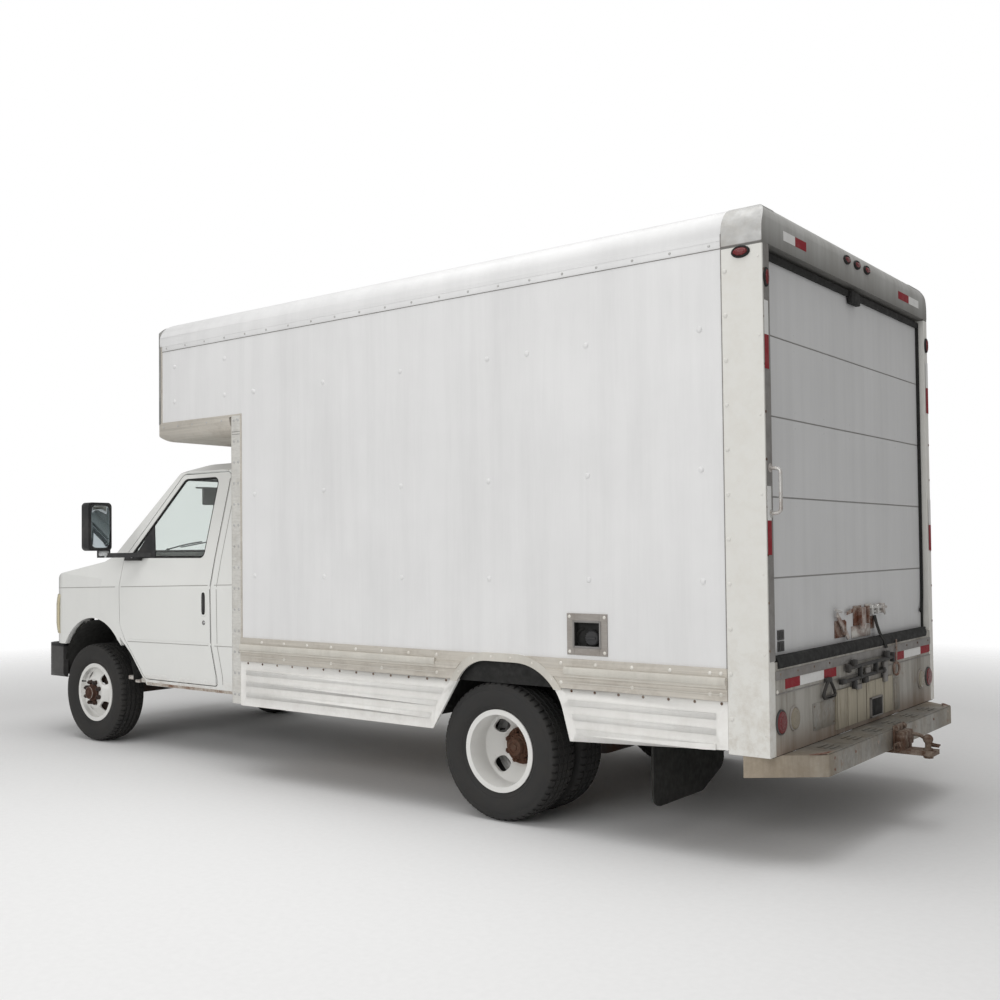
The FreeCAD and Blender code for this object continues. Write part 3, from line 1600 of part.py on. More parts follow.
def cab_profile(inset):
    """The cabin seen from the side, drawn inside its outer faces by inset."""
    back = behind(D.cab_back) + inset
    front = behind(D.cowl_front) - inset
    arch = front_arch_radius
    return (
        (back, D.cab_bottom + inset),
        (behind(arch * 1.36) - inset, D.cab_bottom + inset),
        (behind(arch * 1.06) - inset, front_arch_height + arch * 0.45),
        (behind(arch * 0.7) - inset, front_arch_height + arch * 0.86 + inset / 2),
        (front, front_arch_height + arch * 1.12 + inset / 2),
        (front, D.cowl_height - inset),
        (behind(screen_foot) - inset * 0.6, screen_foot_height - inset),
        (behind(D.screen_head) - inset * 0.4, screen_head_height - inset, D.screen_head_round),
        (behind(D.roof_crest), D.cab_roof - inset, D.roof_crest_round),
        (back, D.cab_roof - inset),
    )


def door_outline(gap):
    """A cab door seen from the side, smaller all round by gap."""
    front = behind(D.door_front) - gap
    rear = behind(D.door_rear) + gap
    return (
        (rear, door_foot + gap, D.door_round),
        (behind(D.door_foot_front) - gap, door_foot + gap, D.door_round * 1.5),
        (front, door_knee, D.door_knee_round),
        (front, glass_bottom - gap / 2),
        (behind(door_top_front) - gap, door_top - gap, D.door_round),
        (rear, door_top - gap, D.door_round * 1.25),
    )


def window_outline():
    return (
        (behind(window_rear), glass_bottom, D.window_round),
        (behind(window_front), glass_bottom, D.window_round / 2),
        (behind(window_top_front), window_top, D.window_round * 1.5),
        (behind(window_rear), window_top, D.window_round * 1.5),
    )


def hinge_pockets(side, word, deep):
    """Room in the cab's side for the two goosenecks of a door."""
    edge = behind(D.door_front)
    y = ordered((D.cab_half - deep) * side, (D.cab_half - D.glass_depth) * side)
    return [
        block(
            f"hinge_pocket_{place}_{word}",
            (edge - 1, edge + D.hinge_reach * 1.5),
            (y[0], y[1]),
            (height - D.hinge_pocket, height + D.hinge_pocket),
        )
        for place, height in (("low", hinge_low), ("high", hinge_high))
    ]


def hinge_pins(side, word):
    """Pins on brackets of the cab, one for each gooseneck."""
    edge = behind(D.door_front)
    axis_x = edge + D.hinge_reach
    axis_y = D.cab_half - D.hinge_inset
    wide = D.hinge_pin * 2
    inner = D.cab_half - D.cab_skin + 2
    middle = D.cab_half - D.wing_skin - D.hinge_half
    plate = (
        (axis_x - wide, (axis_y + wide) * side),
        (axis_x + wide, (axis_y + wide) * side),
        (axis_x + wide, middle * side),
        (axis_x + D.hinge_reach, middle * side),
        (axis_x + D.hinge_reach, inner * side),
        (axis_x - wide, inner * side),
    )
    pieces = []
    for place, height in (("low", hinge_low), ("high", hinge_high)):
        low = height - D.hinge_pocket
        high = height + D.hinge_pocket
        pieces.append(
            rod(
                f"hinge_pin_{place}_{word}",
                "z",
                D.hinge_pin,
                low + D.panel_gap,
                high - D.panel_gap,
                (axis_x, axis_y * side),
            )
        )
        for end, start in (("bottom", low + D.panel_gap), ("top", high - D.hinge_half - D.panel_gap)):
            pieces.append(
                prism(f"hinge_plate_{end}_{place}_{word}", "XY", plate, start, start + D.hinge_half)
            )
    return pieces


def hinge_arms(side, word):
    """A door's goosenecks: barrel, leg into the cab, arm along the door's inner face."""
    edge = behind(D.door_front)
    axis_x = edge + D.hinge_reach
    axis_y = D.cab_half - D.hinge_inset
    wide = D.hinge_pin * 2
    inner = D.cab_half - D.cab_skin + 2
    deep = inner - D.hinge_half
    bend = (
        (edge - D.cab_skin, inner * side),
        (edge - D.cab_skin, deep * side),
        (axis_x + wide, deep * side),
        (axis_x + wide, axis_y * side),
        (axis_x - wide, axis_y * side),
        (axis_x - wide, inner * side),
    )
    pieces = []
    for place, height in (("low", hinge_low), ("high", hinge_high)):
        span = (height - D.hinge_half, height + D.hinge_half)
        arm = prism(f"hinge_bend_{place}_{word}", "XY", bend, *span)
        centre = (axis_x, axis_y * side)
        barrel = rod(f"hinge_barrel_{place}_{word}", "z", wide, *span, centre)
        bore = rod(
            f"hinge_bore_{place}_{word}",
            "z",
            D.hinge_pin + D.running_gap,
            span[0] - 1,
            span[1] + 1,
            centre,
        )
        whole = fused(f"hinge_arm_{place}_{word}", [arm, barrel])
        pieces.append(cut(f"hinge_ready_{place}_{word}", whole, [bore]))
    return pieces


def make_cab_shell(wings):
    span = (behind(D.cab_back), behind(D.cowl_front))
    wide = D.cab_half + D.cab_skin / 6
    outer = common(
        "cab_outer",
        [
            prism("cab_outer_section", "YZ", cab_section(ZERO, D.cab_bottom), *span),
            prism("cab_outer_profile", "XZ", cab_profile(ZERO), -wide, wide),
        ],
    )
    skin = D.cab_skin
    inner = common(
        "cab_inner",
        [
            prism("cab_inner_section", "YZ", cab_section(skin, D.cab_bottom + skin), *span),
            prism("cab_inner_profile", "XZ", cab_profile(skin), -wide, wide),
        ],
    )
    doors = prism("door_openings", "XZ", door_outline(ZERO), -wide, wide)
    door_tools = []
    for side, word in ((1, "left"), (-1, "right")):
        edges = ordered(drip_half * side * 0.72, wide * side)
        reach = block(
            f"door_side_{word}",
            (span[0], span[1]),
            (edges[0], edges[1]),
            (D.cab_bottom, D.cab_roof),
        )
        door_tools.append(common(f"door_opening_{word}", [doors, reach]))
    screen_half = drip_half - D.screen_margin
    foot_half = glass_half - D.screen_margin * 1.4
    margin = D.screen_margin
    foot_x, foot_z = behind(screen_foot), screen_foot_height
    head_x, head_z = behind(D.screen_head), screen_head_height
    opening_side = prism(
        "screen_opening_side",
        "XZ",
        (
            (foot_x + D.screen_reach, foot_z + margin * 0.4),
            (head_x + D.screen_reach, head_z - margin * 0.7),
            (head_x - D.screen_reach * 0.7, head_z - margin * 0.7),
            (foot_x - D.screen_reach, foot_z + margin * 0.4),
        ),
        -wide,
        wide,
    )
    opening_face = prism(
        "screen_opening_face",
        "YZ",
        (
            (foot_half, foot_z - margin),
            (screen_half, head_z),
            (-screen_half, head_z),
            (-foot_half, foot_z - margin),
        ),
        head_x - D.screen_reach * 1.5,
        foot_x + D.screen_reach * 1.5,
    )
    screen_hole = common("screen_hole", [opening_side, opening_face])
    underside = block(
        "cab_underside",
        (span[0] - 1, span[1]),
        (-sill_half + skin * 2, sill_half - skin * 2),
        (D.cab_bottom - 1, D.cab_floor_height - D.cab_floor_thickness),
    )
    bay = block(
        "engine_bay",
        (behind(D.cover_back), span[1] + 1),
        (-cover_half, cover_half),
        (D.cab_bottom - 1, cover_top),
    )
    tools = [inner, *door_tools, screen_hole, underside, bay, wings]
    pins = []
    for side, word in ((1, "left"), (-1, "right")):
        tools += hinge_pockets(side, word, D.cab_skin * 2)
        pins += hinge_pins(side, word)
    cradles = []
    axis_x = behind(D.cowl_front) + D.panel_gap
    axis_z = D.cowl_height - D.panel_gap
    for side, word in ((1, "left"), (-1, "right")):
        y = D.hood_hinge * side
        lug = block(
            f"hood_lug_{word}",
            (behind(D.cowl_front) - 1, axis_x + D.hinge_pin / 2),
            (y - D.hinge_half, y + D.hinge_half),
            (axis_z - D.hinge_half, axis_z),
        )
        cradle = rod(
            f"hood_cradle_{word}",
            "y",
            D.hinge_pin + D.running_gap,
            y - D.hinge_half * 2,
            y + D.hinge_half * 2,
            (axis_x, axis_z),
        )
        cradles.append(cut(f"hood_seat_{word}", lug, [cradle]))
    bare = cut("cab_shell_cut", outer, tools)
    node(fused("cab_shell_fused", [bare, *pins, *cradles]), "cab_shell")
    glass = prism(
        "screen_glass_side",
        "XZ",
        (
            (foot_x - D.glass_thickness * 2, foot_z + margin * 0.4),
            (foot_x - D.glass_thickness * 3.5, foot_z + margin * 0.4),
            (head_x - D.glass_thickness * 3.5 + margin * 0.7, head_z - margin * 0.7),
            (head_x - D.glass_thickness * 2 + margin * 0.7, head_z - margin * 0.7),
        ),
        -wide,
        wide,
    )
    face = prism(
        "screen_glass_face",
        "YZ",
        (
            (foot_half, foot_z - margin),
            (screen_half, head_z),
            (-screen_half, head_z),
            (-foot_half, foot_z - margin),
        ),
        head_x - D.screen_reach * 1.5,
        foot_x + D.screen_reach * 1.5,
    )
    node(common("windshield_common", [glass, face]), "windshield")


def side_wall(name, outer_inset, inner_inset, low, high, side):
    """A slab that follows the cab's side between two insets and two heights of its section."""
    levels = (
        (sill_half, D.cab_bottom),
        (D.cab_half - 6, tuck_height),
        (D.cab_half, belt_height),
        (glass_half, glass_bottom),
        (drip_half, drip_height),
    )
    outline = [((y - outer_inset) * side, z) for y, z in levels]
    for index, (y, z) in reversed(list(enumerate(levels))):
        beside_glass = index > 2 and inner_inset.value > D.door_frame.value
        inset = D.door_frame if beside_glass else inner_inset
        outline.append(((y - inset) * side, z))
    return prism(name, "YZ", outline, low, high)


def make_cab_door(side, word):
    wide = D.cab_half + D.cab_skin / 6
    span = (behind(D.cab_back), behind(D.cowl_front))
    wall = side_wall(f"door_wall_{word}", ZERO, D.cab_skin, *span, side)
    edges = ordered(drip_half * side / 2, wide * side)
    core_line = door_outline(D.panel_gap * 2.5)
    core = prism(f"door_core_{word}", "XZ", core_line, edges[0], edges[1])
    lip_wall = side_wall(f"door_lip_wall_{word}", ZERO, D.door_lip, *span, side)
    lip_line = door_outline(D.panel_gap)
    lip = prism(f"door_lip_{word}", "XZ", lip_line, edges[0], edges[1])
    halves = [
        common(f"door_inside_{word}", [wall, core]),
        common(f"door_outside_{word}", [lip_wall, lip]),
    ]
    window = prism(f"door_window_{word}", "XZ", window_outline(), edges[0], edges[1])
    door = fused(f"door_whole_{word}", halves)
    open_door = cut(f"door_cut_{word}", door, [window])
    node(fused(f"door_hung_{word}", [open_door, *hinge_arms(side, word)]), f"door_{word}")
    pane = side_wall(
        f"door_pane_{word}", D.glass_depth, D.glass_depth + D.glass_thickness, *span, side
    )
    pane_shape = prism(f"pane_shape_{word}", "XZ", window_outline(), edges[0], edges[1])
    node(common(f"pane_common_{word}", [pane, pane_shape]), f"door_glass_{word}")
    sail_inner = D.glass_depth - D.running_gap
    sail_wall = side_wall(f"sail_wall_{word}", ZERO, sail_inner, *span, side)
    slope = (window_top_front - window_front) / (window_top - glass_bottom)
    sail_front_top = window_front + slope * (sail_top - glass_bottom)
    sail_shape = prism(
        f"sail_shape_{word}",
        "XZ",
        (
            (behind(window_front + D.sail_setback), glass_bottom),
            (behind(sail_front_top + D.sail_setback / 2), sail_top),
            (behind(sail_rear), glass_bottom),
        ),
        edges[0],
        edges[1],
    )
    sail = common(f"sail_{word}", [sail_wall, sail_shape])
    arm_root = glass_half - sail_inner
    place = behind(mirror_place)
    arm = prism(
        f"mirror_arm_{word}",
        "XY",
        (
            (behind(sail_rear - D.sail_setback), arm_root * side),
            (behind(sail_rear - D.sail_setback - D.mirror_arm_root), arm_root * side),
            (place, (mirror_inner + D.mirror_arm) * side),
            (place - D.mirror_arm * 2, (mirror_inner + D.mirror_arm) * side),
        ),
        glass_bottom + 6,
        glass_bottom + 6 + D.mirror_arm,
    )
    head_edges = ordered(mirror_inner * side, (mirror_inner + D.mirror_width) * side)
    stem_edges = ordered(mirror_inner * side, (mirror_inner + D.mirror_arm * 2) * side)
    stem = block(
        f"mirror_stem_{word}",
        (place - D.mirror_arm * 2, place),
        (stem_edges[0], stem_edges[1]),
        (glass_bottom + 6, mirror_bottom + D.mirror_round),
    )
    head = prism(
        f"mirror_head_{word}",
        "YZ",
        (
            (head_edges[0], mirror_bottom, D.mirror_round),
            (head_edges[1], mirror_bottom, D.mirror_round),
            (head_edges[1], mirror_bottom + D.mirror_tall, D.mirror_round),
            (head_edges[0], mirror_bottom + D.mirror_tall, D.mirror_round),
        ),
        place - D.mirror_depth,
        place,
    )
    node(fused(f"mirror_{word}_fused", [sail, arm, stem, head]), f"mirror_{word}")


def nose_solid(name, inset):
    """The front of the cab as one solid, drawn inside its outer faces by inset."""
    back = behind(D.door_front)
    front = front_axle + nose - inset
    half = nose_half - inset
    plan = prism(
        f"{name}_plan",
        "XY",
        (
            (back, -half - D.nose_flare),
            (front, -half, D.nose_corner),
            (front, half, D.nose_corner),
            (back, half + D.nose_flare),
        ),
        D.bumper_bottom,
        D.cab_roof,
    )
    section = prism(f"{name}_section", "YZ", cab_section(inset, D.cab_bottom), back, front)
    profile = prism(
        f"{name}_profile",
        "XZ",
        (
            (back, D.cab_bottom),
            (front, D.cab_bottom),
            (front, hood_front_height - inset, D.hood_front_round),
            (front_axle + hood_brow - inset, hood_brow_height - inset, D.hood_brow_round),
            (behind(D.cowl_front), D.cowl_height - inset),
            (back, D.cowl_height - inset + D.nose_flare),
        ),
        -D.cab_half,
        D.cab_half,
    )
    return common(name, [plan, section, profile])


def make_nose():
    """Hood, wings, headlamps and grille, all cut from one shell."""
    outer = nose_solid("nose_outer", ZERO)
    inner = nose_solid("nose_inner", D.wing_skin)
    back = behind(D.door_front)
    front = front_axle + nose + 1
    low_room = block(
        "nose_low_room",
        (back - 1, front - 1 - D.wing_skin),
        (-nose_half + D.wing_skin, nose_half - D.wing_skin),
        (D.cab_bottom - 1, wing_bottom + D.wing_lip),
    )
    shell = cut("nose_shell", outer, [inner, low_room])
    hood_back = behind(D.cowl_front)
    gap = D.panel_gap
    seam = hood_side_height
    hood_room = block(
        "hood_room", (hood_back + gap * 2, front), (-hood_half, hood_half), (seam, D.cab_roof)
    )
    hood = common("hood_common", [shell, hood_room])
    axis_z = D.cowl_height - gap
    hung = [hood]
    for side, word in ((1, "left"), (-1, "right")):
        y = D.hood_hinge * side
        reach = D.hinge_half * 3
        centre = (hood_back + gap, axis_z)
        hung.append(rod(f"hood_pin_{word}", "y", D.hinge_pin, y - reach, y + reach, centre))
        for end, low in (("inner", y - reach), ("outer", y + reach - D.hinge_half)):
            hung.append(
                block(
                    f"hood_ear_{end}_{word}",
                    (hood_back + gap, hood_back + gap * 4),
                    (low, low + D.hinge_half),
                    (axis_z - D.hinge_pin, axis_z),
                )
            )
    node(fused("hood_hung", hung), "hood")
    hood_clear = block(
        "hood_clear",
        (back - 1, front),
        (-hood_half - gap, hood_half + gap),
        (seam - gap, D.cab_roof),
    )
    cowl_clear = block(
        "cowl_clear", (back - 1, behind(D.cowl_front)), (-glass_half, glass_half),
        (D.cab_bottom, D.cab_roof),
    )
    lamp_span = (front_axle + lamp_back, front)
    lamp_edges = (D.lamp_inner, D.cab_half)
    lamp_room = block("lamp_room", lamp_span, lamp_edges, (lamp_bottom, lamp_top))
    lamp = common("headlamp_left", [shell, lamp_room])
    node(both_sides("headlamps_pair", lamp), "headlamps")
    grille_room = block(
        "grille_room",
        (front_axle + lamp_back - D.lamp_long, front),
        (-D.lamp_inner, D.lamp_inner),
        (lamp_bottom, lamp_top),
    )
    arches = []
    reach = D.cab_half + D.cab_skin / 6
    arches.append(
        rod(
            "front_arches",
            "y",
            front_arch_radius,
            -reach,
            reach,
            (front_axle, front_arch_height),
        )
    )
    arches.append(
        prism(
            "front_arch_feet",
            "XZ",
            (
                (behind(front_arch_radius * 1.02), front_arch_height),
                (behind(front_arch_radius * 1.36), D.cab_bottom - 1),
                (front + 1, D.cab_bottom - 1),
                (front + 1, wing_bottom),
                (front_axle + front_arch_radius * 0.8, wing_bottom),
                (front_axle, front_arch_height),
            ),
            -reach,
            reach,
        )
    )
    door_shape = prism("wing_door_line", "XZ", door_outline(ZERO), -reach, reach)
    lamp_other = mirrored("lamp_room_right", lamp_room)
    wings = cut(
        "wings_cut",
        shell,
        [
            hood_clear,
            cowl_clear,
            lamp_room,
            lamp_other,
            grille_room,
            *arches,
            door_shape,
            *hinge_pockets(1, "wing_left", D.cab_skin * 2),
            *hinge_pockets(-1, "wing_right", D.cab_skin * 2),
        ],
    )
    node(wings, "wings")
    bars = []
    count = int(D.grille_bars.value)
    face = front_axle + nose
    pitch = (lamp_top - lamp_bottom - D.grille_bar) / (count - 1)
    for index in range(count):
        low = lamp_bottom + pitch * index
        bars.append(
            block(
                f"grille_bar_{index}",
                (face - D.grille_depth, face),
                (-D.lamp_inner, D.lamp_inner),
                (low, low + D.grille_bar),
            )
        )
    for index, place in enumerate((-1, 0, 1)):
        y = (D.lamp_inner - D.grille_bar / 2) * place
        bars.append(
            block(
                f"grille_post_{index}",
                (face - D.grille_depth, face - 4),
                (y - D.grille_bar / 2, y + D.grille_bar / 2),
                (lamp_bottom, lamp_top),
            )
        )
    node(fused("grille_fused", bars), "grille")
    return wings


def bumper_plan(inset):
    front = front_axle + D.front_overhang - inset
    back = front_axle + bumper_back
    half = bumper_half - inset
    return (
        (back - (0 if inset is ZERO else 1), -half),
        (front - D.bumper_bow, -half, D.bumper_round - inset),
        (front, -half * 0.62, D.bumper_round * 1.5),
        (front, half * 0.62, D.bumper_round * 1.5),
        (front - D.bumper_bow, half, D.bumper_round - inset),
        (back - (0 if inset is ZERO else 1), half),
    )


def make_front_bumper():
    plan = prism("bumper_plan", "XY", bumper_plan(ZERO), D.bumper_bottom, D.bumper_top)
    front = front_axle + D.front_overhang
    profile = prism(
        "bumper_profile",
        "XZ",
        (
            (front_axle, D.bumper_bottom),
            (front, D.bumper_bottom, D.bumper_low_round),
            (front, D.bumper_top, D.bumper_high_round),
            (front_axle, D.bumper_top),
        ),
        -D.cab_half,
        D.cab_half,
    )
    section = prism(
        "bumper_section",
        "YZ",
        (
            (-bumper_half, D.bumper_bottom, D.bumper_low_round),
            (bumper_half, D.bumper_bottom, D.bumper_low_round),
            (bumper_half, D.bumper_top, D.bumper_high_round),
            (-bumper_half, D.bumper_top, D.bumper_high_round),
        ),
        front_axle,
        front,
    )
    outer = common("bumper_outer", [plan, profile, section])
    inner = prism(
        "bumper_inner", "XY", bumper_plan(D.bumper_skin), D.bumper_bottom - 1, D.bumper_top + 1
    )
    shell = cut("bumper_shell", outer, [inner])
    pieces = [shell]
    for side, word in ((1, "left"), (-1, "right")):
        edges = ordered((D.rail_place - D.rail_width) * side, D.rail_place * side)
        pieces.append(
            block(
                f"bumper_bracket_{word}",
                (front_axle + D.rail_front, front_axle + D.front_overhang - D.bumper_skin),
                (edges[0], edges[1]),
                (D.bumper_bottom + D.bumper_skin, front_rail_top - D.bumper_skin / 2),
            )
        )
    node(fused("front_bumper_fused", pieces), "front_bumper")


def make_cabin():
    """Floor, engine cover, dashboard, seats and steering wheel."""
    half = sill_half - D.cab_skin
    low = D.cab_floor_height - D.cab_floor_thickness
    floor = block(
        "cabin_floor_plate",
        (behind(D.cab_back - D.cab_skin), behind(front_arch_radius * 1.6)),
        (-half + D.panel_gap * 2, half - D.panel_gap * 2),
        (low, D.cab_floor_height),
    )
    cover = block(
        "engine_cover",
        (behind(D.cover_back), behind(D.cowl_front)),
        (-cover_half, cover_half),
        (low, cover_top),
    )
    under = block(
        "engine_cover_room",
        (behind(D.cover_back - D.cover_skin), front_axle),
        (D.cover_skin - cover_half, cover_half - D.cover_skin),
        (low - 1, cover_top - D.cover_skin),
    )
    node(cut("cab_floor_cut", fused("cab_floor_fused", [floor, cover]), [under]), "cab_floor")
    dash = prism(
        "dash_prism",
        "XZ",
        (
            (behind(D.cowl_front + D.cab_skin), dash_bottom + D.dash_slope),
            (behind(D.cowl_front + D.cab_skin), dash_top - D.dash_slope),
            (behind(D.dash_front), dash_top),
            (behind(dash_back), dash_top - D.dash_brow, D.dash_slope),
            (behind(dash_back - D.dash_slope), dash_bottom),
        ),
        -glass_half + D.cab_skin * 1.5,
        glass_half - D.cab_skin * 1.5,
    )
    tilt = math.radians(D.column_tilt.value)
    far = D.wheel_grip + D.running_gap
    column = doc.addObject("Part::Cylinder", "steering_column")
    column.Placement = FreeCAD.Placement(
        FreeCAD.Vector(),
        FreeCAD.Rotation(FreeCAD.Vector(0, 1, 0), 90 + D.column_tilt.value),
    )
    column_foot = (
        ("x", behind(wheel_place) + far * math.cos(tilt)),
        ("y", D.wheel_side),
        ("z", wheel_height - far * math.sin(tilt)),
    )
    for letter, place in column_foot:
        column.setExpression(f".Placement.Base.{letter}", place.text)
    column.setExpression("Radius", D.column_radius.text)
    column.setExpression("Height", (wheel_place - dash_back + D.wheel_ring * 0.6).text)
    node(fused("dash_fused", [dash, column]), "dash")
    seats = []
    for side, word in ((1, "left"), (-1, "right")):
        middle = D.seat_middle * side
        low_y = middle - D.seat_width / 2
        high_y = middle + D.seat_width / 2
        start = behind(D.seat_front)
        back = start - D.seat_depth
        outline = (
            (start, D.seat_height - D.seat_pad, D.seat_round),
            (start, D.seat_height, D.seat_round * 1.25),
            (back + D.seat_round / 4, D.seat_height - D.seat_round * 0.75),
            (back - D.seat_rake, seat_top, D.seat_round),
            (back - D.seat_rake - D.seat_back_thickness, seat_top, D.seat_round),
            (back - D.seat_back_thickness, D.seat_height - D.seat_pad, D.seat_round),
        )
        seats.append(prism(f"seat_{word}", "XZ", outline, low_y, high_y))
        seats.append(
            block(
                f"seat_base_{word}",
                (back - D.seat_round, start - D.seat_round * 1.5),
                (low_y + D.seat_round, high_y - D.seat_round),
                (D.cab_floor_height, D.seat_height - D.seat_pad + 1),
            )
        )
    node(fused("seats_fused", seats), "seats")
    turn = FreeCAD.Rotation(FreeCAD.Vector(0, 1, 0), D.column_tilt.value - 90)
    places = (("x", behind(wheel_place)), ("y", D.wheel_side), ("z", wheel_height))
    grip = doc.addObject("Part::Torus", "wheel_grip_ring")
    hub = doc.addObject("Part::Cylinder", "wheel_boss")
    for piece in (grip, hub):
        piece.Placement = FreeCAD.Placement(FreeCAD.Vector(), turn)
        for letter, place in places:
            piece.setExpression(f".Placement.Base.{letter}", place.text)
    grip.setExpression("Radius1", D.wheel_ring.text)
    grip.setExpression("Radius2", D.wheel_grip.text)
    hub.setExpression("Radius", (D.wheel_grip * 4).text)
    hub.setExpression("Height", (D.wheel_grip * 2).text)
    hub.setExpression(
        ".Placement.Base.x", (behind(wheel_place) + D.wheel_grip * math.cos(tilt)).text
    )
    hub.setExpression(
        ".Placement.Base.z", (wheel_height - D.wheel_grip * math.sin(tilt)).text
    )
    spokes = []
    for index, angle in enumerate((0, 90, 180)):
        spoke = doc.addObject("Part::Cylinder", f"wheel_spoke_{index}")
        spoke.setExpression("Radius", (D.wheel_grip * 0.8).text)
        spoke.setExpression("Height", D.wheel_ring.text)
        swing = FreeCAD.Rotation(FreeCAD.Vector(0, 0, 1), angle)
        lay = FreeCAD.Rotation(FreeCAD.Vector(1, 0, 0), -90)
        spoke.Placement = FreeCAD.Placement(
            FreeCAD.Vector(), turn.multiply(swing).multiply(lay)
        )
        for letter, place in places:
            spoke.setExpression(f".Placement.Base.{letter}", place.text)
        spokes.append(spoke)
    node(fused("steering_wheel_fused", [grip, hub, *spokes]), "steering_wheel")


make_frame()
make_front_axle()
make_rear_axle()
make_drive()
for side, word in ((1, "left"), (-1, "right")):
    make_knuckle(side, word)
    make_front_wheel(side, word)
    make_rear_wheels(side, word)
    make_box_side(side, word)
    make_cab_door(side, word)
make_box_floor()
make_box_front()
make_attic()
make_box_roof()
make_rear_frame()
make_rear_door()
make_side_trim()
make_filler()
make_step_bumper()
make_mud_flaps()
make_lamps()
make_cab_shell(make_nose())
make_front_bumper()
make_cabin()

doc.recompute()
for thing in doc.Objects:
    if "Invalid" in thing.State or "Error" in thing.State:
        raise RuntimeError(f"{thing.Label} failed: {thing.State}")
os.makedirs("parts", exist_ok=True)
for piece in nodes:
    if piece.Shape.isNull() or not piece.Shape.isValid():
        raise RuntimeError(f"{piece.Label} has no valid shape")
    piece.Shape.exportStep(f"parts/{piece.Label}.step")
box = Part.makeCompound([piece.Shape for piece in nodes]).BoundBox
print(f"{len(nodes)} sub-parts, {box.XLength:.0f} x {box.YLength:.0f} x {box.ZLength:.0f} mm")
print(f"X {box.XMin:.1f} to {box.XMax:.1f}, Y {box.YMin:.1f} to {box.YMax:.1f}, Z {box.ZMin:.1f}")
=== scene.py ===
"""Looks of the box truck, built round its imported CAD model, in metres."""

import math

import bmesh
import bpy
from mathutils import Matrix, Vector
from mathutils.bvhtree import BVHTree


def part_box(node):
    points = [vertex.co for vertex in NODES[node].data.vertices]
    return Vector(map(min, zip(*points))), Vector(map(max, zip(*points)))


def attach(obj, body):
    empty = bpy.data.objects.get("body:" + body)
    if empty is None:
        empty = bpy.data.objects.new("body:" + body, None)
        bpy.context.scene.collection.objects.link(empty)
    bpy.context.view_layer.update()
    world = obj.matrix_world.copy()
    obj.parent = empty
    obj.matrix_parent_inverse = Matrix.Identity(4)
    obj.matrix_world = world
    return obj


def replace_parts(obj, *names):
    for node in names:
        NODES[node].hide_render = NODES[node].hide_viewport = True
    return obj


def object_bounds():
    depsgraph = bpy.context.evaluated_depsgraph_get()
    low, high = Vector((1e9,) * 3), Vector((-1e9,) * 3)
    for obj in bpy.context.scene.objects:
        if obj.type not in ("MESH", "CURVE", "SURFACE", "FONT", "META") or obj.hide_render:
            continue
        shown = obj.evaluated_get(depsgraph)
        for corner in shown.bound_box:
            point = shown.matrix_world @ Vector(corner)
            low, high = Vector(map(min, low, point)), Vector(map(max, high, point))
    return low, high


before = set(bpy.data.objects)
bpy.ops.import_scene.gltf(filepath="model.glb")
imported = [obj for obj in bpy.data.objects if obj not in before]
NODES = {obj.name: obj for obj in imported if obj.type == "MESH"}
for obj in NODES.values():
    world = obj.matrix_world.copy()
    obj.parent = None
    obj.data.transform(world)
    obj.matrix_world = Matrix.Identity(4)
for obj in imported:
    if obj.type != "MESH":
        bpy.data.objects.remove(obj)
cad_low, cad_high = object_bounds()
SIDES = ((1, "left"), (-1, "right"))


def low(node):
    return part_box(node)[0]


def high(node):
    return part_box(node)[1]


def middle(node):
    return (low(node) + high(node)) / 2


# stations that many pieces share
front_axle = middle("rim_front_left")
rear_axle = middle("rims_rear_left")
post_face = high("rear_frame").y
body_rear = low("rear_frame").x
post_front = high("rear_frame").x
box_face = high("box_front").x
corner_back = low("box_front").x
attic_face = high("attic").x
attic_low = low("attic").z
cove_low = low("box_roof").z
roof_top = high("box_roof").z
panel_front = low("box_front").x
panel_face = high("box_side_left").y
rail_top = high("rub_rails").z
rail_low = low("rub_rails").z
DOMED = 60  # degrees: rivet heads and round bars are shaded smooth below this


# ---------------------------------------------------------------- materials


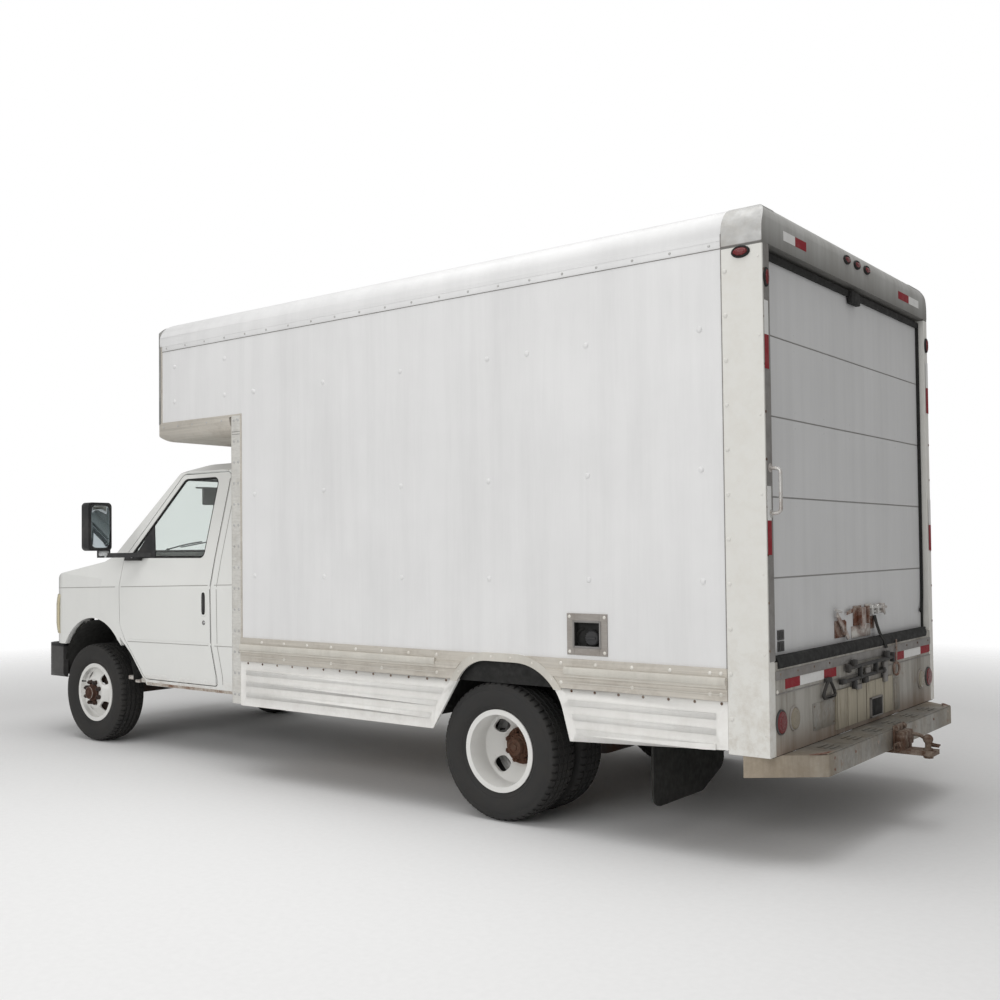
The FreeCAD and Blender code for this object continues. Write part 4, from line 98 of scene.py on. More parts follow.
class Look:
    """A procedural material: one Principled shader, and short calls that add nodes to it."""

    def __init__(self, name, colour, rough=0.5, metal=0.0, **sockets):
        self.material = bpy.data.materials.new(name)
        self.material.use_nodes = True
        self.tree = self.material.node_tree
        self.shader = self.tree.nodes["Principled BSDF"]
        self.place = self.add("ShaderNodeTexCoord").outputs["Object"]
        self.height = None
        self.shader.inputs["Base Color"].default_value = (*colour, 1)
        self.shader.inputs["Roughness"].default_value = rough
        self.shader.inputs["Metallic"].default_value = metal
        for socket, value in sockets.items():
            self.shader.inputs[socket.replace("_", " ")].default_value = value

    def add(self, kind, **settings):
        made = self.tree.nodes.new(kind)
        for name, value in settings.items():
            setattr(made, name, value)
        return made

    def feed(self, socket, value):
        if isinstance(value, bpy.types.NodeSocket):
            self.tree.links.new(value, socket)
        elif isinstance(value, tuple) and len(value) == 3 and len(socket.default_value) == 4:
            socket.default_value = (*value, 1)
        else:
            socket.default_value = value

    def node(self, kind, output, values, **settings):
        """Adds a node, feeds its inputs by name or place and returns one of its outputs."""
        made = self.add(kind, **settings)
        for name, value in values.items():
            self.feed(made.inputs[name], value)
        return made.outputs[output]

    def stretched(self, stretch):
        return self.node("ShaderNodeMapping", "Vector", {"Scale": stretch, "Vector": self.place})

    def noise(self, scale, detail=3, rough=0.55, stretch=(1, 1, 1)):
        return self.node("ShaderNodeTexNoise", "Fac", {
            "Vector": self.stretched(stretch), "Scale": scale, "Detail": detail, "Roughness": rough,
        })

    def cells(self, scale, feature="F1", output="Distance"):
        return self.node(
            "ShaderNodeTexVoronoi", output, {"Vector": self.place, "Scale": scale}, feature=feature
        )

    def wave(self, scale, axis="X"):
        return self.node("ShaderNodeTexWave", "Fac", {
            "Vector": self.place, "Scale": scale, "Distortion": 0.0, "Detail": 0.0,
        }, bands_direction=axis)

    def axis(self, letter):
        return self.node("ShaderNodeSeparateXYZ", letter.upper(), {0: self.place})

    def maths(self, operation, first, second=0.0):
        return self.node("ShaderNodeMath", 0, {0: first, 1: second}, operation=operation)

    def span(self, value, start, end, first=0.0, last=1.0):
        return self.node("ShaderNodeMapRange", "Result", {
            "From Min": start, "From Max": end, "To Min": first, "To Max": last, "Value": value,
        })

    def mixed(self, factor, first, second, kind="MIX"):
        return self.node(
            "ShaderNodeMix", 2, {0: factor, 6: first, 7: second}, data_type="RGBA", blend_type=kind
        )

    def colour(self, value):
        self.feed(self.shader.inputs["Base Color"], value)
        return self

    def roughness(self, value):
        self.feed(self.shader.inputs["Roughness"], value)
        return self

    def bump(self, value, strength=0.3, distance=0.001):
        values = {"Strength": strength, "Distance": distance, "Height": value}
        if self.height:
            values["Normal"] = self.height
        self.height = self.node("ShaderNodeBump", "Normal", values)
        self.feed(self.shader.inputs["Normal"], self.height)
        return self


def painted(
    name, colour, rough, streaks=0.05, dirt=(0.30, 0.25, 0.19), dirt_top=0.9, dirt_amount=0.35, coat=0.0,
    grain=0.08,
):
    """Paint with faint mottling, rain streaks, and dirt that gathers towards the ground."""
    look = Look(name, colour, rough, Coat_Weight=coat, Coat_Roughness=0.12)
    mottle = look.span(look.noise(2.3, 4), 0.3, 0.7, 1 - streaks, 1.0)
    rain = look.span(look.noise(7, 5, 0.7, (1, 1, 0.06)), 0.42, 0.75, 1.0, 1 - streaks * 1.6)
    shade = look.maths("MULTIPLY", mottle, rain)
    base = look.mixed(1.0, colour, shade, "MULTIPLY")
    fall = look.span(look.axis("z"), dirt_top, 0.42, 0.0, 1.0)
    patch = look.span(look.noise(9, 6, 0.7), 0.42, 0.72)
    amount = look.maths("MULTIPLY", look.maths("MULTIPLY", fall, patch), dirt_amount)
    look.colour(look.mixed(amount, base, dirt))
    look.roughness(look.span(amount, 0.0, 0.6, rough, min(1, rough * 2)))
    look.bump(look.noise(90, 3), grain, 0.0006)
    return look


def bare_metal(
    name, colour, rough, metal=0.85, grain=(1, 40, 40), stain=(0.20, 0.15, 0.10), stain_amount=0.3
):
    """Rolled or cast metal with a grain along one way and blotches of dirt."""
    look = Look(name, colour, rough, metal)
    line = look.span(look.noise(6, 4, 0.6, grain), 0.3, 0.7, 0.88, 1.08)
    base = look.mixed(1.0, colour, line, "MULTIPLY")
    patch = look.span(look.noise(6, 7, 0.72), 0.48, 0.72, 0.0, stain_amount)
    look.colour(look.mixed(patch, base, stain))
    look.roughness(look.span(look.noise(20, 5), 0.3, 0.7, rough * 0.8, min(1, rough * 1.35)))
    look.bump(look.noise(60, 4), 0.15, 0.0008)
    return look


def plastic(name, colour, rough, grain=450, dusty=0.16):
    """Moulded plastic with a fine grain and a little dust."""
    look = Look(name, colour, rough)
    dust = look.span(look.noise(5, 6, 0.7), 0.45, 0.8, 0.0, dusty)
    look.colour(look.mixed(dust, colour, (0.34, 0.32, 0.29)))
    look.roughness(look.span(look.noise(30, 3), 0.3, 0.7, rough * 0.85, min(1, rough * 1.2)))
    look.bump(look.cells(grain), 0.25, 0.0003)
    return look


def rusty(name, colour, rust, amount=0.6, rough=0.75):
    """Iron or steel that rust has eaten into."""
    look = Look(name, colour, rough, 0.35)
    patch = look.span(look.noise(11, 8, 0.75), 0.5 - amount * 0.3, 0.75 - amount * 0.3)
    tone = look.mixed(look.noise(45, 4), rust, (rust[0] * 0.45, rust[1] * 0.38, rust[2] * 0.4))
    look.colour(look.mixed(patch, colour, tone))
    look.roughness(look.span(patch, 0, 1, rough * 0.7, min(1, rough * 1.2)))
    look.bump(look.noise(120, 5, 0.7), 0.5, 0.001)
    return look


def panel_white():
    look = painted("body_white", (0.80, 0.80, 0.80), 0.38, 0.05, dirt_top=1.1, dirt_amount=0.10, grain=0.03)
    look.bump(look.noise(4.5, 2, 0.4, (1, 1, 0.10)), 0.22, 0.004)
    return look


def rear_paint():
    """Cream posts under a grey header that darkens towards its lower edge as painted shade, with a
    rain-streaked galvanised panel between their feet.
    """
    look = Look("rear_paint", (0.70, 0.69, 0.65), 0.45)
    inner = post_face - 0.066
    across = look.maths("ABSOLUTE", look.axis("y"))
    below = look.maths("LESS_THAN", look.axis("z"), low("rear_door").z + 0.01)
    between = look.maths("LESS_THAN", across, inner)
    panel = look.maths("MULTIPLY", below, between)
    header = look.maths("GREATER_THAN", look.axis("z"), high("rear_door").z + 0.012)
    rain = look.span(look.noise(7, 6, 0.72, (1, 1, 0.10)), 0.40, 0.68)
    blotch = look.span(look.noise(10, 7, 0.75), 0.45, 0.70)
    cream = look.mixed(look.maths("MULTIPLY", blotch, 0.18), (0.755, 0.748, 0.71), (0.56, 0.51, 0.42))
    low_dirt = look.maths("MULTIPLY", look.span(look.axis("z"), 1.1, 0.5), blotch)
    cream = look.mixed(look.maths("MULTIPLY", low_dirt, 0.5), cream, (0.40, 0.34, 0.26))
    # painted shade: the header's grey runs from dark at the door's top to light near the cove
    height = look.span(look.axis("z"), high("rear_door").z, cove_low + 0.10)
    grey = look.mixed(height, (0.15, 0.147, 0.138), (0.47, 0.47, 0.455))
    grey = look.mixed(look.maths("MULTIPLY", rain, 0.35), grey, (0.22, 0.21, 0.19))
    zinc = look.mixed(rain, (0.40, 0.385, 0.35), (0.20, 0.18, 0.15))
    rust = look.span(look.noise(9, 8, 0.8), 0.57, 0.70, 0.0, 0.75)
    feet = look.span(look.axis("z"), 0.62, 0.50)
    zinc = look.mixed(
        look.maths("MAXIMUM", look.maths("MULTIPLY", feet, 0.6), rust), zinc, (0.22, 0.13, 0.08)
    )
    look.colour(look.mixed(panel, look.mixed(header, cream, grey), zinc))
    look.roughness(look.span(rain, 0, 1, 0.45, 0.75))
    look.bump(look.noise(60, 5), 0.15, 0.0008)
    return look


def ramp_boards():
    """Weathered boards on edge, with a dark seam between neighbours."""
    look = Look("ramp_boards", (0.42, 0.38, 0.29), 0.75)
    grain = look.noise(5, 7, 0.7, (6, 14, 0.7))
    tone = look.mixed(grain, (0.30, 0.26, 0.19), (0.56, 0.52, 0.42))
    plank = look.maths("FRACT", look.maths("MULTIPLY", look.axis("y"), 7.2))
    seam = look.span(look.maths("ABSOLUTE", look.maths("SUBTRACT", plank, 0.5)), 0.465, 0.49, 0.0, 0.85)
    stain = look.span(look.noise(8, 7, 0.75, (1, 1, 0.25)), 0.5, 0.7, 0.0, 0.7)
    look.colour(look.mixed(seam, look.mixed(stain, tone, (0.15, 0.12, 0.09)), (0.06, 0.05, 0.04)))
    look.bump(look.maths("SUBTRACT", grain, seam), 0.4, 0.0015)
    return look


def bumper_plastic():
    """Grey moulded plastic with a black rubber step pad along its top."""
    look = plastic("bumper_grey", (0.062, 0.061, 0.060), 0.5, 350)
    top = look.maths("GREATER_THAN", look.axis("z"), high("front_bumper").z - 0.022)
    dust = look.span(look.noise(5, 6, 0.7), 0.45, 0.8, 0.0, 0.16)
    grey = look.mixed(dust, (0.062, 0.061, 0.060), (0.30, 0.29, 0.27))
    look.colour(look.mixed(top, grey, (0.016, 0.016, 0.017)))
    return look


def headlamp_lens():
    """A ribbed lens: clear in front, amber round the corner."""
    look = Look(
        "headlamp_lens", (0.80, 0.79, 0.74), 0.10, Transmission_Weight=0.35, IOR=1.49, Coat_Weight=0.7
    )
    outer = look.maths("GREATER_THAN", look.maths("ABSOLUTE", look.axis("y")), high("hood").y + 0.06)
    grid = look.maths("MULTIPLY", look.wave(95, "Y"), look.wave(45, "Z"))
    clear = look.mixed(look.span(grid, 0, 1, 0.0, 0.5), (0.84, 0.83, 0.79), (0.50, 0.50, 0.49))
    amber = look.mixed(look.span(grid, 0, 1, 0.0, 0.5), (0.80, 0.42, 0.13), (0.50, 0.20, 0.05))
    look.colour(look.mixed(outer, clear, amber))
    look.bump(grid, 0.5, 0.001)
    return look


def mirrored_glass():
    look = Look("mirror_glass", (0.62, 0.70, 0.76), 0.05, 1.0)
    film = look.span(look.noise(9, 6, 0.7), 0.4, 0.75)
    look.colour(look.mixed(film, (0.62, 0.70, 0.76), (0.55, 0.60, 0.64)))
    look.roughness(look.span(film, 0, 1, 0.03, 0.12))
    return look


def galvanised():
    look = Look("galvanised", (0.47, 0.47, 0.45), 0.5, 0.7)
    spangle = look.cells(55, output="Color")
    grey = look.span(look.maths("FRACT", look.maths("MULTIPLY", spangle, 3.7)), 0, 1, 0.82, 1.05)
    base = look.mixed(1.0, (0.35, 0.34, 0.315), grey, "MULTIPLY")
    ends = look.span(look.maths("ABSOLUTE", look.axis("y")), 0.80, 1.10, 0.0, 0.8)
    base = look.mixed(ends, base, (0.56, 0.47, 0.36))
    rain = look.span(look.noise(5, 6, 0.72, (1, 1, 0.15)), 0.42, 0.7, 0.0, 0.55)
    dirty = look.mixed(rain, base, (0.24, 0.215, 0.18))
    rust = look.span(look.noise(8, 8, 0.8), 0.60, 0.74, 0.0, 0.8)
    grime = look.maths("MULTIPLY", look.span(look.noise(6, 6, 0.7), 0.42, 0.66), 0.55)
    look.colour(look.mixed(rust, look.mixed(grime, dirty, (0.27, 0.22, 0.16)), (0.26, 0.13, 0.07)))
    look.roughness(look.span(rain, 0, 0.55, 0.42, 0.75))
    look.bump(look.noise(70, 5), 0.2, 0.001)
    return look


def rubber_tyre():
    look = Look("tyre_black", (0.024, 0.023, 0.022), 0.82)
    dust = look.span(look.noise(7, 7, 0.7), 0.42, 0.78, 0.0, 0.45)
    look.colour(look.mixed(dust, (0.020, 0.0195, 0.019), (0.062, 0.056, 0.049)))
    look.roughness(look.span(dust, 0, 0.45, 0.72, 0.95))
    look.bump(look.noise(260, 3), 0.25, 0.0006)
    return look


def wheel_white():
    """White wheel paint, browned by the hub's rust and brake dust towards the axle."""
    look = Look("wheel_white", (0.76, 0.755, 0.73), 0.38, Coat_Weight=0.25)
    up = look.maths("SUBTRACT", look.axis("z"), front_axle.z)
    halfway = (front_axle.x + rear_axle.x) / 2
    ahead = look.maths("GREATER_THAN", look.axis("x"), halfway)
    centre = look.span(ahead, 0, 1, rear_axle.x, front_axle.x)
    along = look.maths("SUBTRACT", look.axis("x"), centre)
    radius = look.maths(
        "SQRT", look.maths("ADD", look.maths("MULTIPLY", along, along), look.maths("MULTIPLY", up, up))
    )
    patch = look.span(look.noise(16, 7, 0.75), 0.36, 0.68)
    near = look.span(look.maths("ADD", radius, look.maths("MULTIPLY", ahead, 0.045)), 0.118, 0.085, 0.0, 1.0)
    brown = look.maths("MINIMUM", look.maths("MULTIPLY", near, look.maths("ADD", patch, 0.25)), 0.9)
    specks = look.span(look.noise(60, 8, 0.8), 0.60, 0.72, 0.0, 0.5)
    base = look.mixed(specks, (0.77, 0.765, 0.74), (0.42, 0.33, 0.24))
    look.colour(look.mixed(brown, base, (0.25, 0.15, 0.09)))
    look.roughness(look.span(brown, 0, 0.9, 0.33, 0.8))
    look.bump(look.noise(80, 4), 0.12, 0.0006)
    return look


def deck_planks():
    look = Look("deck_wood", (0.36, 0.25, 0.15), 0.7)
    grain = look.noise(3, 8, 0.7, (0.6, 18, 6))
    tone = look.mixed(grain, (0.20, 0.13, 0.08), (0.50, 0.36, 0.22))
    plank = look.maths("FRACT", look.maths("MULTIPLY", look.axis("y"), 7.0))
    seam = look.span(look.maths("ABSOLUTE", look.maths("SUBTRACT", plank, 0.5)), 0.47, 0.5, 0.0, 0.85)
    look.colour(look.mixed(seam, tone, (0.05, 0.04, 0.03)))
    look.bump(look.maths("SUBTRACT", grain, seam), 0.4, 0.002)
    return look


def woven(name, colour, pale):
    look = Look(name, colour, 0.9, Sheen_Weight=0.35, Sheen_Roughness=0.5)
    across = look.maths("MULTIPLY", look.wave(260, "X"), look.wave(260, "Y"))
    thread = look.maths("ADD", across, look.wave(260, "Z"))
    look.colour(look.mixed(look.span(thread, 0, 2, 0.0, 0.7), colour, pale))
    look.bump(thread, 0.5, 0.0006)
    return look


def tinted(name, colour, clear=0.85):
    look = Look(name, colour, 0.03, Transmission_Weight=clear, IOR=1.05, Specular_IOR_Level=0.9)
    film = look.span(look.noise(5, 5, 0.7), 0.4, 0.8, 0.02, 0.09)
    look.roughness(film)
    return look


def lens(name, colour, ribs=220, clear=0.25):
    look = Look(name, colour, 0.22, Transmission_Weight=clear, IOR=1.49, Coat_Weight=0.15)
    grid = look.maths("MULTIPLY", look.wave(ribs, "Y"), look.wave(ribs, "Z"))
    look.colour(look.mixed(look.span(grid, 0, 1, 0.0, 0.35), colour, tuple(c * 0.45 for c in colour)))
    look.bump(grid, 0.5, 0.001)
    return look


def tape(name, colour):
    """Retroreflective tape: tiny cells under a clear face."""
    look = Look(name, colour, 0.55, Specular_IOR_Level=0.2)
    cell = look.cells(300, "DISTANCE_TO_EDGE")
    dull = look.span(look.noise(20, 6, 0.7), 0.45, 0.75, 0.0, 0.3)
    shade = look.mixed(look.span(cell, 0.0, 0.06, 0.3, 0.0), colour, tuple(c * 0.6 for c in colour))
    look.colour(look.mixed(look.maths("MULTIPLY", dull, 0.5), shade, (0.36, 0.33, 0.30)))
    look.bump(cell, 0.15, 0.0003)
    return look


LOOKS = {
    "body_white": panel_white(),
    "cab_white": painted(
        "cab_white", (0.845, 0.85, 0.825), 0.26, 0.012, (0.33, 0.24, 0.16), 0.56, 0.9, coat=0.6, grain=0.01
    ),
    "post_cream": painted("post_cream", (0.76, 0.75, 0.71), 0.42, 0.05, dirt_top=1.5, dirt_amount=0.25),
    "rear_paint": rear_paint(),
    "skirt_white": painted("skirt_white", (0.89, 0.88, 0.85), 0.42, 0.04, dirt_top=0.85, dirt_amount=0.22),
    "arch_cream": painted("arch_cream", (0.66, 0.635, 0.575), 0.45, 0.10, dirt_top=1.2, dirt_amount=0.4),
    "wheel_white": wheel_white(),
    "shutter_grey": painted("shutter_grey", (0.68, 0.685, 0.69), 0.45, 0.05, dirt_top=1.3, dirt_amount=0.16),
    "rail_aluminium": bare_metal("rail_aluminium", (0.62, 0.585, 0.525), 0.50, 0.45, (0.5, 30, 30)),
    "corner_sheet": bare_metal(
        "corner_sheet", (0.70, 0.69, 0.655), 0.5, 0.3, (3, 3, 12), (0.40, 0.36, 0.29), 0.35
    ),
    "casting_grey": bare_metal(
        "casting_grey", (0.53, 0.53, 0.52), 0.60, 0.35, (3, 3, 3), (0.40, 0.37, 0.32), 0.5
    ),
    "frame_grey": bare_metal("frame_grey", (0.28, 0.27, 0.26), 0.55, 0.5, (3, 3, 3), (0.15, 0.12, 0.10), 0.5),
    "filler_grey": bare_metal(
        "filler_grey", (0.36, 0.335, 0.31), 0.55, 0.4, (3, 3, 30), (0.22, 0.18, 0.15), 0.5
    ),
    "rivet_pale": bare_metal(
        "rivet_pale", (0.78, 0.76, 0.71), 0.45, 0.4, (3, 3, 3), (0.45, 0.38, 0.28), 0.35
    ),
    "wrap_grey": bare_metal("wrap_grey", (0.30, 0.30, 0.29), 0.55, 0.5, (8, 8, 30), (0.62, 0.61, 0.58), 0.8),
    "ramp_boards": ramp_boards(),
    "worn_white": rusty("worn_white", (0.66, 0.64, 0.60), (0.24, 0.10, 0.06), 0.25, 0.5),
    "bright_steel": rusty("bright_steel", (0.58, 0.57, 0.55), (0.28, 0.18, 0.12), 0.12, 0.35),
    "lamp_dull": lens("lamp_dull", (0.27, 0.235, 0.17), 120, 0.0),
    "galvanised": galvanised(),
    "rusty_steel": rusty("rusty_steel", (0.48, 0.44, 0.39), (0.22, 0.085, 0.045), 0.55),
    "rusty_iron": rusty("rusty_iron", (0.34, 0.29, 0.24), (0.17, 0.10, 0.065), 0.62),
    "axle_iron": rusty("axle_iron", (0.10, 0.09, 0.085), (0.19, 0.11, 0.07), 0.45),
    "hub_rust": rusty("hub_rust", (0.10, 0.065, 0.045), (0.15, 0.075, 0.045), 0.8),
    "hub_front": rusty("hub_front", (0.09, 0.05, 0.035), (0.12, 0.06, 0.04), 0.8),
    "nut_dark": rusty("nut_dark", (0.045, 0.04, 0.038), (0.11, 0.06, 0.04), 0.35),
    "chassis_black": painted("chassis_black", (0.035, 0.035, 0.036), 0.6, 0.3, (0.16, 0.13, 0.10), 1.0, 0.7),
    "axle_black": rusty("axle_black", (0.045, 0.042, 0.04), (0.16, 0.10, 0.07), 0.25),
    "engine_iron": rusty("engine_iron", (0.13, 0.13, 0.13), (0.14, 0.11, 0.09), 0.3),
    "exhaust_steel": rusty("exhaust_steel", (0.30, 0.28, 0.26), (0.25, 0.15, 0.09), 0.5),
    "tank_black": plastic("tank_black", (0.03, 0.03, 0.032), 0.6),
    "bumper_grey": bumper_plastic(),
    "trim_black": plastic("trim_black", (0.018, 0.018, 0.02), 0.42),
    "cab_lining": plastic("cab_lining", (0.16, 0.155, 0.15), 0.6),
    "flap_rubber": plastic("flap_rubber", (0.009, 0.009, 0.0075), 0.85, 200, 0.04),
    "tyre_black": rubber_tyre(),
    "deck_wood": deck_planks(),
    "seat_cloth": woven("seat_cloth", (0.030, 0.031, 0.035), (0.085, 0.088, 0.095)),
    "tinted_glass": tinted("tinted_glass", (0.84, 0.875, 0.86), 0.95),
    "headlamp_lens": headlamp_lens(),
    "lamp_clear": lens("lamp_clear", (0.80, 0.80, 0.78), 160, 0.55),
    "lamp_red": lens("lamp_red", (0.21, 0.004, 0.007)),
    "lamp_amber": lens("lamp_amber", (0.72, 0.30, 0.05), 160),
    "mirror_glass": mirrored_glass(),
    # grey for painted shade along the cab's creases, and for seams, shutter joints and hinges
    "crease_grey": painted("crease_grey", (0.36, 0.35, 0.33), 0.5, 0.02, dirt_amount=0.2),
    "clamp_pale": plastic("clamp_pale", (0.62, 0.64, 0.65), 0.45),
    "door_slots": plastic("door_slots", (0.055, 0.055, 0.055), 0.6),
    "grille_grey": plastic("grille_grey", (0.16, 0.165, 0.17), 0.45),
    "lamp_cream": lens("lamp_cream", (0.74, 0.66, 0.44), 150, 0.1),
    "sill_rust": rusty("sill_rust", (0.60, 0.56, 0.50), (0.30, 0.15, 0.08), 0.35, 0.6),
    "chrome": bare_metal("chrome", (0.66, 0.66, 0.66), 0.16, 1.0, (3, 3, 3), (0.30, 0.25, 0.2), 0.12),
    "tape_red": tape("tape_red", (0.27, 0.004, 0.014)),
    "tape_white": tape("tape_white", (0.78, 0.78, 0.77)),
    "seal_black": plastic("seal_black", (0.010, 0.010, 0.0095), 0.8, 200, 0.03),
}


# ---------------------------------------------------------------- shapes


def placed(name, data):
    """A new object of the scene that shows the data."""
    made = bpy.data.objects.new(name, data)
    bpy.context.scene.collection.objects.link(made)
    return made


def squarish(count, half_wide, half_tall, power):
    """Corners of a rectangle with well-rounded corners, as (across, up) pairs round its middle."""
    turns = (2 * math.pi * k / count for k in range(count))
    return [
        (half_wide * math.copysign(abs(math.cos(a)) ** power, math.cos(a)),
         half_tall * math.copysign(abs(math.sin(a)) ** power, math.sin(a)))
        for a in turns
    ]


def ring_profile(middle_radius, thick, count):
    """The round section of a ring that is turned about its axis."""
    turns = (2 * math.pi * k / count for k in range(count))
    return [(middle_radius + thick * math.cos(a), thick * math.sin(a)) for a in turns]


class Shape:
    """A mesh under construction, in the shared frame, joined from simple forms."""

    def __init__(self):
        self.mesh = bmesh.new()

    def join(self, other, matrix=None):
        """Takes in a copy of another shape's mesh, moved by matrix."""
        data = bpy.data.meshes.new("part")
        other.mesh.to_mesh(data)
        if matrix is not None:
            data.transform(matrix)
        self.mesh.from_mesh(data)
        bpy.data.meshes.remove(data)
        return self

    def box(self, start, end, bevel=0.0, segments=2):
        """A block between two corners, with its edges rounded by bevel."""
        a = [min(p, q) for p, q in zip(start, end)]
        b = [max(p, q) for p, q in zip(start, end)]
        made = bmesh.ops.create_cube(self.mesh, size=1.0)["verts"]
        size = Vector(q - p for p, q in zip(a, b))
        centre = (Vector(a) + Vector(b)) / 2
        for v in made:
            v.co = Vector(v.co[i] * size[i] for i in range(3)) + centre
        if bevel:
            edges = list({e for v in made for e in v.link_edges})
            bmesh.ops.bevel(
                self.mesh, geom=edges, offset=min(bevel, min(size) * 0.49), segments=segments,
                profile=0.5, affect="EDGES",
            )
        return self

    def ring(self, centre, normal, radius, sides, turn=0.0, squash=1.0, aim=None):
        """Corners of a flat circle or oval across normal."""
        normal = Vector(normal).normalized()
        first = Vector(aim) if aim else (Vector((0, 0, 1)) if abs(normal.z) < 0.9 else Vector((1, 0, 0)))
        first = (first - normal * first.dot(normal)).normalized()
        second = normal.cross(first)
        return [
            self.mesh.verts.new(
                Vector(centre)
                + first * (radius * math.cos(a))
                + second * (radius * squash * math.sin(a))
            )
            for a in (turn + 2 * math.pi * i / sides for i in range(sides))
        ]

    def skin(self, rings, close_ends=True):
        """Faces between neighbouring rings of equally many corners."""
        for lower, upper in zip(rings, rings[1:]):
            count = len(lower)
            for i in range(count):
                j = (i + 1) % count
                self.mesh.faces.new((lower[i], lower[j], upper[j], upper[i]))
        if close_ends:
            self.mesh.faces.new(list(reversed(rings[0])))
            self.mesh.faces.new(rings[-1])
        return self

    def rod(self, start, end, radius, sides=16, round_end=0.0, squash=1.0, aim=None):
        """A round bar from start to end; round_end chamfers its far rim."""
        start, end = Vector(start), Vector(end)
        along = end - start
        stations = [(start, radius), (end - along.normalized() * round_end, radius)]
        if round_end:
            stations.append((end, max(radius - round_end, radius * 0.3)))
        rings = [self.ring(p, along, r, sides, squash=squash, aim=aim) for p, r in stations]
        return self.skin(rings)

    def dome(self, centre, normal, radius, height, sides=10):
        """A rivet's or bolt's rounded head standing on a surface."""
        normal = Vector(normal).normalized()
        rings = []
        steps = 3
        for k in range(steps):
            a = k / steps * math.pi / 2
            rings.append(
                self.ring(
                    Vector(centre) + normal * (height * math.sin(a)), normal, radius * math.cos(a), sides
                )
            )
        top = self.mesh.verts.new(Vector(centre) + normal * height)
        self.skin(rings, close_ends=False)
        last = rings[-1]
        for i in range(sides):
            self.mesh.faces.new((last[i], last[(i + 1) % sides], top))
        self.mesh.faces.new(list(reversed(rings[0])))
        return self

    def nut(self, centre, normal, across, height, turn=0.0):
        """A hexagonal nut with a chamfered top."""
        normal = Vector(normal).normalized()
        radius = across / math.sqrt(3)
        centre = Vector(centre)
        rings = [
            self.ring(centre, normal, radius, 6, turn),
            self.ring(centre + normal * height * 0.85, normal, radius, 6, turn),
            self.ring(centre + normal * height, normal, radius * 0.86, 6, turn),
        ]
        return self.skin(rings)

    def tube(self, points, radius, sides=10, smooth=0):
        """A round bar bent along points; smooth rounds its corners."""
        path = [Vector(p) for p in points]
        for _ in range(smooth):
            cut = [path[0]]
            for a, b in zip(path, path[1:]):
                cut += [a.lerp(b, 0.25), a.lerp(b, 0.75)]
            path = cut + [path[-1]]
        rings = []
        aim = None
        for i, p in enumerate(path):
            way = (path[min(i + 1, len(path) - 1)] - path[max(i - 1, 0)]).normalized()
            if aim is None:
                aim = Vector((0, 0, 1)) if abs(way.z) < 0.9 else Vector((1, 0, 0))
            aim = (aim - way * aim.dot(way)).normalized()
            rings.append(self.ring(p, way, radius, sides, aim=aim))
        return self.skin(rings)

    def slab(self, outline, way, depth, bevel=0.0, segments=2):
        """A plate: an outline of points, thickened by depth along way."""
        way = Vector(way).normalized() * depth
        first = [self.mesh.verts.new(Vector(p)) for p in outline]
        second = [self.mesh.verts.new(Vector(p) + way) for p in outline]
        made = [self.mesh.faces.new(first), self.mesh.faces.new(list(reversed(second)))]
        count = len(first)
        for i in range(count):
            j = (i + 1) % count
            made.append(self.mesh.faces.new((first[j], first[i], second[i], second[j])))
        if bevel:
            rims = list({e for f in made[:2] for e in f.edges})
            bmesh.ops.bevel(
                self.mesh, geom=rims, offset=bevel, segments=segments, profile=0.5, affect="EDGES"
            )
        return self

    def lathe(self, profile, centre, axis, steps=48, closed=False):
        """A profile of (radius, along) pairs turned about an axis through centre."""
        axis = Vector(axis).normalized()
        first = Vector((0, 0, 1)) if abs(axis.z) < 0.9 else Vector((1, 0, 0))
        first = (first - axis * first.dot(axis)).normalized()
        second = axis.cross(first)
        rings = []
        for s in range(steps):
            a = 2 * math.pi * s / steps
            way = first * math.cos(a) + second * math.sin(a)
            rings.append(
                [self.mesh.verts.new(Vector(centre) + way * r + axis * t) for r, t in profile]
            )
        count = len(profile)
        last = count if closed else count - 1
        for s in range(steps):
            one, two = rings[s], rings[(s + 1) % steps]
            for i in range(last):
                j = (i + 1) % count
                self.mesh.faces.new((one[i], one[j], two[j], two[i]))
        return self

    def piece(self, name, look, body, slot, angle=32, thickness=0.0):
        """Makes the object, gives it its look and lets it ride on its body."""
        bmesh.ops.remove_doubles(self.mesh, verts=self.mesh.verts, dist=1e-6)
        bmesh.ops.recalc_face_normals(self.mesh, faces=self.mesh.faces)
        data = bpy.data.meshes.new(name)
        self.mesh.to_mesh(data)
        self.mesh.free()
        made = placed(name, data)
        for face in data.polygons:
            face.use_smooth = True
        data.set_sharp_from_angle(angle=math.radians(angle))
        if thickness:
            solid = made.modifiers.new("thickness", "SOLIDIFY")
            solid.thickness = thickness
            solid.offset = 0
        data.materials.append(LOOKS[look].material)
        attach(made, body)
        return made


def dress(node, look, bevel):
    """Gives a CAD node its material, soft shading and slightly rounded edges."""
    target = NODES[node]
    target.data.materials.clear()
    target.data.materials.append(LOOKS[look].material)
    weld = target.modifiers.new("weld", "WELD")
    weld.merge_threshold = 0.00005
    if bevel:
        rounding = target.modifiers.new("rounding", "BEVEL")
        rounding.width = bevel
        rounding.segments = 2
        rounding.limit_method = "ANGLE"
        rounding.angle_limit = math.radians(32)
        rounding.harden_normals = True


# ---------------------------------------------------------------- the CAD model's own surfaces

